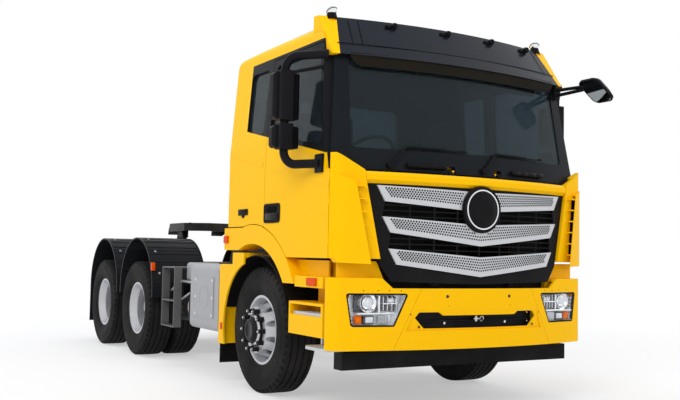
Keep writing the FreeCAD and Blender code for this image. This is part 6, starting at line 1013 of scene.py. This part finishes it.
def make_visor_fittings():
    """Clamps and joints of the visor, and a dark strip under it that paints the shadow the visor
    casts.
    """
    clamps = []
    for x in CLAMP_PLACES:
        y = visor_y(3.022) + drop(x)
        clamps += [block(at(x - 0.052, y - 0.020, 3.006), at(x + 0.046, y + 0.014, 3.034), 0.008, 3),
                   lathe(((-0.034, 0), (-0.034, 0.018), (-0.028, 0.024), (-0.010, 0.024),
                          (0.010, 0.018)), at(x + 0.022, y - 0.004, 3.036), (0, 1, 0.3), 16),
                   bar(at(x + 0.006, y - 0.016, 3.010), at(x + 0.030, y - 0.004, 2.972),
                       0.009, 0.006)]
    dress(clamps, "visor_clamps", "Gloss black", "cab")
    joints = []
    for x in (-0.985, -0.905, 0.985):
        top = at(x - 0.035 * math.copysign(1, x), visor_y(3.045) + drop(x) - 0.0005, 3.045)
        joints.append(bar(on_visor(x, 2.828, 0.0005), top, 0.002, sides=6))
    dress(joints, "visor_joints", "Shade and dark-part black", "cab")
    # The dark strip between the visor and the glass: painted shadow of the visor
    shade = arc_strip(-1.060, 1.060, 2.630, 2.745, 0.196, 20)
    trim_outline(shade, eased([(-1.055, 2.742), (1.055, 2.742), (0.985, 2.640),
                               (-0.985, 2.640)], 0.040))
    dress(thicken(shade, 0.004), "painted_visor_shadow", "Painted visor shadow", "cab")


def make_visor_crease():
    """A near-black line along the visor's fold: painted shade in the crease."""
    crease = arc_strip(-1.112, 1.112, 2.8175, 2.8235, visor_y(VISOR_FOLD) - FRONT - 0.0012, 24)
    dress(thicken(crease, 0.003), "visor_fold_shade", "Shade and dark-part black", "cab")


def make_cowl_grips():
    grips = []
    for low, high in GRIP_SPANS:
        xs = [low + (high - low) * index / 4 for index in range(5)]
        grips.append(pipe([at(x, -1.500 + drop(x), 1.886) for x in xs], 0.019, 14))
        for x in (low + 0.030, high - 0.030):
            grips.append(block(at(x - 0.030, -1.500 + drop(x), 1.870),
                               at(x + 0.030, -1.455 + drop(x), 1.902), 0.008, 3))
    dress(grips, "cowl_grips", "Gloss black", "cab")


def make_beacons():
    foot = at(*BEACON)
    base = lathe(((0, 0.0535), (0.010, 0.0530), (0.030, 0.0440), (0.0525, 0.0375),
                  (0.0560, 0.0375), (0.0560, 0)), foot, (0, 0, 1), 28)
    dome = lathe(((0.0560, 0.0355), (0.0620, 0.0400), (0.0780, 0.0430), (0.0930, 0.0400),
                  (0.1060, 0.0300), (0.1140, 0.0160), (0.1160, 0)), foot, (0, 0, 1), 28)
    band = ring(foot + Vector((0, 0, 0.0775)), 0.0425, 0.0040, (0.2, 0.5, 1), 28, 8)
    dress(base, "beacon_bases", "Gloss black", "cab", mirror=True)
    dress(dome, "beacon_lenses", "Chrome", "cab", mirror=True)
    dress(band, "beacon_bands", "Gloss black", "cab", mirror=True)


# Corners, doors and mirrors

# How far the corner blade stands out from the front's arc at a distance from the centre line
BLADE_STANDS = ((0.950, 0.066), (1.000, 0.062), (1.095, 0.045), (1.150, 0.034), (1.200, 0.010),
                (1.235, -0.035), (1.2445, -0.058))
BLADE_EDGE = 1.2443
BLADE_OUTLINE = [(1.094, 1.715), (1.110, 1.745), (BLADE_EDGE, 1.800), (BLADE_EDGE, 1.225),
                 (1.205, 1.140), (0.986, 1.132)]
DUCT_OUTER = 1.150
DUCT_INNER = 1.020
DOOR_PULL_X = 1.2440
CREASE_X = 1.2446
# The mirror housings' feet and tops
MIRROR_SPANS = ((2.235, 2.600), (2.010, 2.185))
ARCH_CROWN = 0.902


def blade_stand(x):
    for (x0, out0), (x1, out1) in zip(BLADE_STANDS, BLADE_STANDS[1:]):
        if x <= x1:
            return out0 + (out1 - out0) * (x - x0) / (x1 - x0)
    raise ValueError("the corner blade ends before x %.4f" % x)


def make_corners():
    """The air blades over the cab's front corners, and the barred ducts under their edges, with a
    near-black sheet of painted shade inside.
    """
    blade = arc_strip(0.980, BLADE_EDGE, 1.120, 1.810, lambda x: -blade_stand(x), 16)
    trim_outline(blade, BLADE_OUTLINE)

    def top_or_foot(a, b):
        level = abs(a.z - b.z) < 3 * abs(a.x - b.x)
        return level and (min(a.z, b.z) > 1.744 or max(a.z, b.z) < 1.226)

    pick_edges(blade, top_or_foot)
    push((0, 0.066, 0))
    leave()
    dress(thicken(blade, 0.006), "corner_blades", "Yellow paint", "cab", mirror=True, degrees=28)
    # A near-black sheet behind the ribs: painted shade inside the ducts
    duct = arc_strip(1.030, DUCT_OUTER, 1.225, 1.705, -0.0012, 6)
    trim_outline(duct, [(1.085, 1.700), (DUCT_OUTER, 1.700), (DUCT_OUTER, 1.230),
                        (1.035, 1.230)])
    dress(thicken(duct, 0.004), "corner_duct_shade", "Shade and dark-part black", "cab", mirror=True)
    ribs = []
    for index in range(6):
        z = 1.228 + 0.0945 * index
        ribs.append(slab([on_front(DUCT_INNER, -0.048, z), on_front(DUCT_OUTER, -0.030, z),
                          on_front(DUCT_OUTER, 0.004, z), on_front(DUCT_INNER, 0.004, z)],
                         Vector((0, 0, 0.010))))
    dress(ribs, "corner_ribs", "Yellow paint", "cab", mirror=True)


def make_door_pull(turn, label):
    """The rounded frame of a door pull, with its dark well, paddle and lock."""
    rim = block(at(DOOR_PULL_X, -0.532, 1.450), at(1.2520, -0.234, 1.610))
    pick_edges(rim, lambda a, b: abs(a.x - b.x) > 0.001)
    bevel(0.030, 5, clamp=False)
    hollow(rim, lambda centre, normal: normal.x > 0.9, 0.012, (-0.0045, 0, 0))
    well = block(at(1.2470, -0.478, 1.535), at(1.2478, -0.298, 1.588), 0.0003)
    paddle = joined([block(at(1.2470, -0.505, 1.474), at(1.2545, -0.262, 1.530), 0.0035, 3),
                     lathe(((0, 0.009), (0.010, 0.009), (0.0115, 0.0065), (0.0115, 0)),
                           at(DOOR_PULL_X, -0.278, 1.562), (1, 0, 0), 16)])
    for obj, name, material in ((rim, "door_pull_", "Black plastic"),
                                (well, "door_well_", "Shade and dark-part black"),
                                (paddle, "door_paddle_", "Gloss black")):
        dress(mapped(obj, turn), name + label, material, "door_" + label)


def crease_z(y):
    """Height of the pressed line that falls along the cab's side."""
    return 1.966 + 0.206 * y


def make_creases(turn, label):
    """The pressed line along one side, split where the door ends."""
    for body, rear, front in (("cab", 0.500, -0.192), ("door_" + label, -0.2465, -1.3285)):
        crease = slab([at(CREASE_X, rear, crease_z(rear) + 0.052),
                       at(CREASE_X + 0.0056, rear, crease_z(rear) + 0.004),
                       at(CREASE_X, rear, crease_z(rear) - 0.010)],
                      Vector((0, front - rear, crease_z(front) - crease_z(rear))))
        dress(mapped(crease, turn), "crease_" + body[:4] + label, "Yellow paint", body, degrees=60)


def make_side_clip():
    dress([block(at(-1.2545, 0.095, 1.528), at(-CAB_SIDE, 0.290, 1.582), 0.004, 3),
           block(at(-1.2600, 0.120, 1.560), at(-1.2540, 0.265, 1.574), 0.002),
           lathe(((0, 0.026), (-0.008, 0.026), (-0.011, 0.020), (-0.011, 0)),
                 at(-1.2450, 0.190, 1.530), (1, 0, 0), 20)],
          "side_clip", "Black plastic", "cab")


def make_arch_infills():
    """A yellow crescent that closes the top of each wheel arch."""
    turns = [math.radians(76 + 28 * index / 12) for index in range(13)]
    crown = [at(-1.2452, ARCH_CROWN * math.cos(a), AXLE_Z + ARCH_CROWN * math.sin(a))
             for a in turns]
    dress(slab(crown, Vector((0.004, 0, 0))), "arch_infills", "Yellow paint", "cab", mirror=True)


def make_lookdown_glass():
    glass = block((-0.126, -0.099, -0.0022), (0.126, 0.099, -0.0002))
    pick_edges(glass, lambda a, b: abs(a.z - b.z) > 0.001)
    bevel(0.050, 6, clamp=False)
    tilt = Matrix.Rotation(math.radians(35), 4, "Y")
    mapped(glass, Matrix.Translation(at(1.190, -1.6075, 2.628)) @ tilt)
    dress(glass, "lookdown_glass", "Mirror glass", "cab")


def make_side_fittings():
    for side, label in ((1, "left"), (-1, "right")):
        turn = Matrix.Scale(side, 4, (1, 0, 0))
        make_door_pull(turn, label)
        make_creases(turn, label)
        glasses = [block(at(1.286, -0.8203, low + 0.014), at(1.488, -0.8180, top - 0.014), 0.001)
                   for low, top in MIRROR_SPANS]
        dress(mapped(joined(glasses), turn), "mirror_glass_" + label, "Mirror glass",
              "door_" + label)
    make_side_clip()
    make_arch_infills()
    make_lookdown_glass()


# Chassis side, deck and tail

PIPE_X = -1.150
DRUM_PLACE = (-1.200, 1.555, 0.640)
DRUM_STRETCH = 1.22
FENDER_CENTRE_Z = 0.750
FENDER_RADIUS = 0.603


def make_exhaust_fittings():
    bolts = [bolt(at(-1.2205, y, z), (-1, 0, 0), 0.009, 0.008)
             for y in (0.925, 1.350) for z in (0.600, 0.765, 0.930)]
    dress(bolts, "exhaust_bolts", "Chrome", "chassis")
    swage = lathe(((0, 0.122), (-0.0035, 0.118), (-0.0045, 0.112), (-0.0035, 0.104), (0, 0.100)),
                  at(-1.2212, 1.138, 0.765), (1, 0, 0), 48)
    dress(swage, "exhaust_swage", "Exhaust steel", "chassis")


def make_air_fittings():
    """The cream drum, its strap, the valve case, the dryer and the pipes behind the cab."""
    middle = Matrix.Translation(at(*DRUM_PLACE))
    drum = lathe(((0, 0), (0.010, 0.050), (0.022, 0.090), (0.046, 0.114), (0.070, 0.119),
                  (0.240, 0.119), (0.240, 0)), at(*DRUM_PLACE), (1, 0, 0), 40)
    mapped(drum, middle @ Matrix.Diagonal((1, DRUM_STRETCH, 1, 1)) @ middle.inverted())
    dress(drum, "valve_drum", "Tank cream", "chassis")
    straps = [block(at(-1.207, 1.545, 0.520), at(-1.190, 1.565, 0.760), 0.003)]
    straps += [ring(at(-1.010, y, 0.600), 0.1312, 0.0035, (0, 1, 0), 40, 6)
               for y in (1.660, 2.200)]
    dress(block(at(-1.130, 1.560, 0.900), at(-0.860, 1.870, 1.090), 0.030, 4), "valve_case",
          "Exhaust steel", "chassis")
    dress(straps, "tank_straps", "Black iron", "chassis")
    can = lathe(((0, 0), (0.002, 0.040), (0.012, 0.050), (0.100, 0.050), (0.104, 0.045),
                 (0.104, 0)), at(-1.165, 1.580, 0.845), (1, 0, 0), 28)
    dress(can, "dryer_can", "Aluminium", "chassis")
    rails = [pipe([at(PIPE_X, 2.226, 0.786), at(PIPE_X, 1.988, 0.880), at(PIPE_X, 1.900, 0.894),
                   at(PIPE_X, 1.527, 0.886)], 0.013),
             pipe([at(PIPE_X, 1.687, 0.779), at(PIPE_X, 1.913, 0.706)], 0.011),
             pipe([at(-0.900, 1.500, 1.000), at(-0.900, 1.720, 0.985), at(-0.760, 1.840, 0.960),
                   at(-0.460, 1.860, 0.960)], 0.026, 14)]
    dress(rails, "air_pipes", "Exhaust steel", "chassis")


def round_fenders(first, last, step, radius):
    """Angles, and the (y, z) places at them, round both drive axles' fenders."""
    for axle, axle_y in DRIVE_AXLES:
        for turn in range(first, last, step):
            a = math.radians(turn)
            yield a, axle_y + radius * math.cos(a), FENDER_CENTRE_Z + radius * math.sin(a)


def make_fender_fittings():
    marker = block(at(-1.262, 2.585, 0.985), at(-1.222, 2.625, 1.075), 0.005, 3)
    dress(marker, "fender_markers", "Side marker", "chassis", mirror=True)
    ribs = [bar(at(-1.225, y, z), at(-0.640, y, z), 0.0055, sides=6)
            for a, y, z in round_fenders(26, 160, 11, FENDER_RADIUS - 0.0005)]
    dress(ribs, "fender_ribs", "Fender plastic", "chassis", mirror=True)
    studs = [bolt(at(-1.160, y, z), (0, math.cos(a), math.sin(a)), 0.009, 0.008)
             for a, y, z in round_fenders(20, 180, 28, FENDER_RADIUS)]
    dress(studs, "fender_studs", "Exhaust steel", "chassis", mirror=True)


def make_fifth_wheel():
    """Grease grooves and rivets of the coupling plate."""
    grooves = [block(at(x, 3.760, 1.5690), at(x + 0.012, 4.280, 1.5708), 0.0005)
               for x in (0.130, 0.230, 0.330)]
    dress(grooves, "plate_grooves", "Shade and dark-part black", "fifth_wheel", mirror=True, slot="black_iron")
    rivets = [bolt(at(x, y, 1.5700), (0, 0, 1), 0.010, 0.004)
              for x in (0.180, 0.400) for y in (3.720, 4.020, 4.330)]
    dress(rivets, "plate_rivets", "Black iron", "fifth_wheel", mirror=True)


def make_tail():
    for low, high, material in ((0.752, 0.880, "Red lens"), (0.886, 0.980, "Amber lens"),
                                (0.986, 1.108, "Red lens")):
        lens = block(at(low, 5.2960, 0.628), at(high, 5.3035, 0.702), 0.004, 3)
        pick_faces(lens, lambda centre, normal: normal.y > 0.9)
        bpy.ops.mesh.inset(thickness=0.006)
        push((0, 0.002, 0))
        leave()
        dress(lens, "tail_lens_%d" % round(low * 1000), material, "chassis", mirror=True)
    bolts = [bolt(at(x, 5.2438, 0.665), (0, 1, 0), 0.010, 0.008)
             for x in (0.150, 0.300, 0.450, 0.600)]
    dress(bolts, "tail_bolts", "Black iron", "chassis", mirror=True)


SEAT_X = 0.620


def make_cabin():
    """What shows through the glass: the dash hood, head rests and sun visors."""
    hood = block(at(-0.860, -1.160, 1.955), at(-0.380, -0.985, 2.030), 0.030, 4)
    dress(hood, "dash_hood", "Dash plastic", "cab")
    rests = []
    for x in (-SEAT_X, SEAT_X):
        rests.append(block(at(x - 0.130, -0.195, 2.430), at(x + 0.130, -0.085, 2.600), 0.030, 4))
        rests += [bar(at(post, -0.140, 2.400), at(post, -0.140, 2.450), 0.008)
                  for post in (x - 0.05, x + 0.05)]
    dress(rests, "head_rests", "Seat cloth", "cab")
    visors = [block(at(x - 0.240, -1.215, 2.600), at(x + 0.240, -1.195, 2.740), 0.008, 3)
              for x in (-SEAT_X, SEAT_X)]
    dress(visors, "sun_visors", "Dash plastic", "cab")


# Stage

# Each lamp's name, place, size and power
LAMPS = (("key", (-9.0, -9.0, 9.0), 7.0, 780.0), ("fill", (9.0, -8.0, 7.0), 8.0, 380.0),
         ("top", (0.0, 0.0, 12.0), 10.0, 480.0), ("rear", (-6.0, 10.0, 7.0), 8.0, 380.0))
LAMP_AIM = Vector((0.0, -1.0, 1.2))


def seen_ray(tree):
    """1 for rays of the camera, of reflections and through glass, which see plain white."""
    rays = add(tree, "LightPath").outputs
    seen = maths(tree, "MAXIMUM", rays["Is Camera Ray"], rays["Is Glossy Ray"])
    return maths(tree, "MAXIMUM", seen, rays["Is Transmission Ray"])


def make_floor():
    clear_selection()
    bpy.ops.mesh.primitive_plane_add(size=160)
    floor = settled()
    floor.name = "floor"
    material = bpy.data.materials.new("Studio floor")
    material.use_nodes = True
    tree = material.node_tree
    shader = tree.nodes["Principled BSDF"]
    for key, value in (("Base Color", (0.86, 0.86, 0.86, 1)), ("Roughness", 0.9),
                       ("Specular IOR Level", 0.1)):
        feed(tree, shader, key, value)
    reach = add(tree, "VectorMath", {0: object_place(tree)}, operation="LENGTH")
    far = add(tree, "MapRange", {"Value": reach.outputs["Value"], "From Min": 3.0,
                                 "From Max": 9.0, "To Min": 0.45},
              interpolation_type="SMOOTHSTEP")
    share = maths(tree, "MULTIPLY", far.outputs["Result"], seen_ray(tree))
    mix = add(tree, "MixShader", {0: share, 1: shader.outputs["BSDF"],
                                  2: add(tree, "Emission").outputs["Emission"]})
    feed(tree, tree.nodes["Material Output"], "Surface", mix.outputs["Shader"])
    floor.data.materials.append(material)


def make_world():
    world = bpy.data.worlds.new("Studio")
    bpy.context.scene.world = world
    world.use_nodes = True
    tree = world.node_tree
    back = tree.nodes["Background"]
    feed(tree, back, "Color", (0.93, 0.95, 1, 1))
    feed(tree, back, "Strength", 0.62)
    shown = add(tree, "Background", {"Color": (1, 1, 1, 1)})
    mix = add(tree, "MixShader", {0: seen_ray(tree), 1: back.outputs["Background"],
                                  2: shown.outputs["Background"]})
    feed(tree, tree.nodes["World Output"], "Surface", mix.outputs["Shader"])


def make_lamps():
    for name, spot, size, power in LAMPS:
        lamp = bpy.data.lights.new(name, "AREA")
        lamp.size = size
        lamp.energy = power
        holder = bpy.data.objects.new(name, lamp)
        holder.location = spot
        holder.rotation_euler = (LAMP_AIM - Vector(spot)).to_track_quat("-Z", "Y").to_euler()
        holder.visible_glossy = False
        bpy.context.collection.objects.link(holder)


def make_camera():
    yaw, pitch, roll = (math.radians(v) for v in (CAMERA_YAW, CAMERA_PITCH, CAMERA_ROLL))
    ahead = Vector((math.sin(yaw) * math.cos(pitch), math.cos(yaw) * math.cos(pitch),
                    math.sin(pitch)))
    level_right = Vector((math.cos(yaw), -math.sin(yaw), 0))
    level_up = level_right.cross(ahead)
    right = math.cos(roll) * level_right + math.sin(roll) * level_up
    up = -math.sin(roll) * level_right + math.cos(roll) * level_up
    camera = bpy.data.cameras.new("camera")
    camera.lens = CAMERA_LENS
    camera.sensor_width = 36.0
    camera.clip_end = 200.0
    holder = bpy.data.objects.new("camera", camera)
    holder.matrix_world = Matrix(((right.x, up.x, -ahead.x, CAMERA_PLACE[0]),
                                  (right.y, up.y, -ahead.y, CAMERA_PLACE[1]),
                                  (right.z, up.z, -ahead.z, CAMERA_PLACE[2]),
                                  (0, 0, 0, 1)))
    bpy.context.collection.objects.link(holder)
    bpy.context.scene.camera = holder


# Operators

class TRUCK_OT_paint(bpy.types.Operator):
    """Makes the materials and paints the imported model's nodes"""
    bl_idname = "truck.paint"
    bl_label = "Paint and finishes"

    def execute(self, context):
        make_materials(context.scene.truck_colours)
        for material, names in NODE_FINISHES.items():
            repaint(material, names)
        return {"FINISHED"}


class TRUCK_OT_tyres(bpy.types.Operator):
    """Puts grooved tyres in place of the plain ones"""
    bl_idname = "truck.tyres"
    bl_label = "Tyres"

    def execute(self, context):
        make_tyres(context.scene.truck_sizes)
        return {"FINISHED"}


class TRUCK_OT_wheels(bpy.types.Operator):
    """Adds nut covers and hub covers to the wheels"""
    bl_idname = "truck.wheels"
    bl_label = "Wheel fittings"

    def execute(self, context):
        make_wheel_fittings()
        return {"FINISHED"}


class TRUCK_OT_grille(bpy.types.Operator):
    """Adds near-black discs as painted shade in the holes of the silver bars, and the bare badge
    disc
    """
    bl_idname = "truck.grille"
    bl_label = "Grille"

    def execute(self, context):
        make_grille(context.scene.truck_sizes)
        return {"FINISHED"}


class TRUCK_OT_headlamps(bpy.types.Operator):
    """Puts glazed headlamps with their reflectors in place of the plain ones"""
    bl_idname = "truck.headlamps"
    bl_label = "Headlamps"

    def execute(self, context):
        make_headlamps()
        return {"FINISHED"}


class TRUCK_OT_bumper(bpy.types.Operator):
    """Adds bolts, the necks under the cab, the towing pin, tread grips and side markers"""
    bl_idname = "truck.bumper"
    bl_label = "Bumper and steps"

    def execute(self, context):
        make_bumper_bolts()
        make_bumper_infills()
        make_towing_pin()
        make_tread_grips()
        make_side_markers()
        return {"FINISHED"}


class TRUCK_OT_screen(bpy.types.Operator):
    """Adds the wipers, the visor's clamps, the cowl's grips and the roof's beacons"""
    bl_idname = "truck.screen"
    bl_label = "Windscreen and roof"

    def execute(self, context):
        make_wipers()
        make_visor_fittings()
        make_cowl_grips()
        make_visor_crease()
        make_beacons()
        return {"FINISHED"}


class TRUCK_OT_sides(bpy.types.Operator):
    """Adds the corner blades, door pulls, crease lines and mirror glasses"""
    bl_idname = "truck.sides"
    bl_label = "Doors and mirrors"

    def execute(self, context):
        make_corners()
        make_side_fittings()
        return {"FINISHED"}


class TRUCK_OT_rails(bpy.types.Operator):
    """Adds bolts, pipes, straps and cans along the chassis, and ribs and studs of the fenders"""
    bl_idname = "truck.rails"
    bl_label = "Chassis side"

    def execute(self, context):
        make_exhaust_fittings()
        make_air_fittings()
        make_fender_fittings()
        return {"FINISHED"}


class TRUCK_OT_coupling(bpy.types.Operator):
    """Adds the grooves and rivets of the coupling plate"""
    bl_idname = "truck.coupling"
    bl_label = "Fifth wheel"

    def execute(self, context):
        make_fifth_wheel()
        return {"FINISHED"}


class TRUCK_OT_tail(bpy.types.Operator):
    """Adds the tail lamps' lenses"""
    bl_idname = "truck.tail"
    bl_label = "Tail"

    def execute(self, context):
        make_tail()
        return {"FINISHED"}


class TRUCK_OT_cabin(bpy.types.Operator):
    """Adds the dash hood, head rests and sun visors"""
    bl_idname = "truck.cabin"
    bl_label = "Cabin"

    def execute(self, context):
        make_cabin()
        return {"FINISHED"}


class TRUCK_OT_stage(bpy.types.Operator):
    """Makes the floor, the light and the camera"""
    bl_idname = "truck.stage"
    bl_label = "Stage"

    def execute(self, context):
        make_floor()
        make_world()
        make_lamps()
        make_camera()
        return {"FINISHED"}


STEPS = (TRUCK_OT_paint, TRUCK_OT_tyres, TRUCK_OT_wheels, TRUCK_OT_grille, TRUCK_OT_headlamps,
         TRUCK_OT_bumper, TRUCK_OT_screen, TRUCK_OT_sides, TRUCK_OT_rails, TRUCK_OT_coupling,
         TRUCK_OT_tail, TRUCK_OT_cabin, TRUCK_OT_stage)


class TRUCK_PT_panel(bpy.types.Panel):
    """Lists the steps that dress the tractor unit"""
    bl_idname = "TRUCK_PT_panel"
    bl_label = "Tractor unit"
    bl_space_type = "VIEW_3D"
    bl_region_type = "UI"
    bl_category = "Tractor"

    def draw(self, context):
        column = self.layout.column()
        for group in (context.scene.truck_sizes, context.scene.truck_colours):
            for key in group.bl_rna.properties.keys():
                if key not in ("rna_type", "name"):
                    column.prop(group, key)
        for step in STEPS:
            column.operator(step.bl_idname)


CLASSES = (TruckSizes, TruckColours, *STEPS, TRUCK_PT_panel)


def register():
    for item in CLASSES:
        bpy.utils.register_class(item)
    bpy.types.Scene.truck_sizes = bpy.props.PointerProperty(type=TruckSizes)
    bpy.types.Scene.truck_colours = bpy.props.PointerProperty(type=TruckColours)


def unregister():
    del bpy.types.Scene.truck_colours
    del bpy.types.Scene.truck_sizes
    for item in reversed(CLASSES):
        bpy.utils.unregister_class(item)


def main():
    register()
    bpy.context.scene.view_settings.view_transform = "Standard"
    bpy.ops.truck.paint()
    bpy.ops.truck.tyres()
    bpy.ops.truck.wheels()
    bpy.ops.truck.grille()
    bpy.ops.truck.headlamps()
    bpy.ops.truck.bumper()
    bpy.ops.truck.screen()
    bpy.ops.truck.sides()
    bpy.ops.truck.rails()
    bpy.ops.truck.coupling()
    bpy.ops.truck.tail()
    bpy.ops.truck.cabin()
    bpy.ops.truck.stage()


if __name__ == "__main__":
    main()
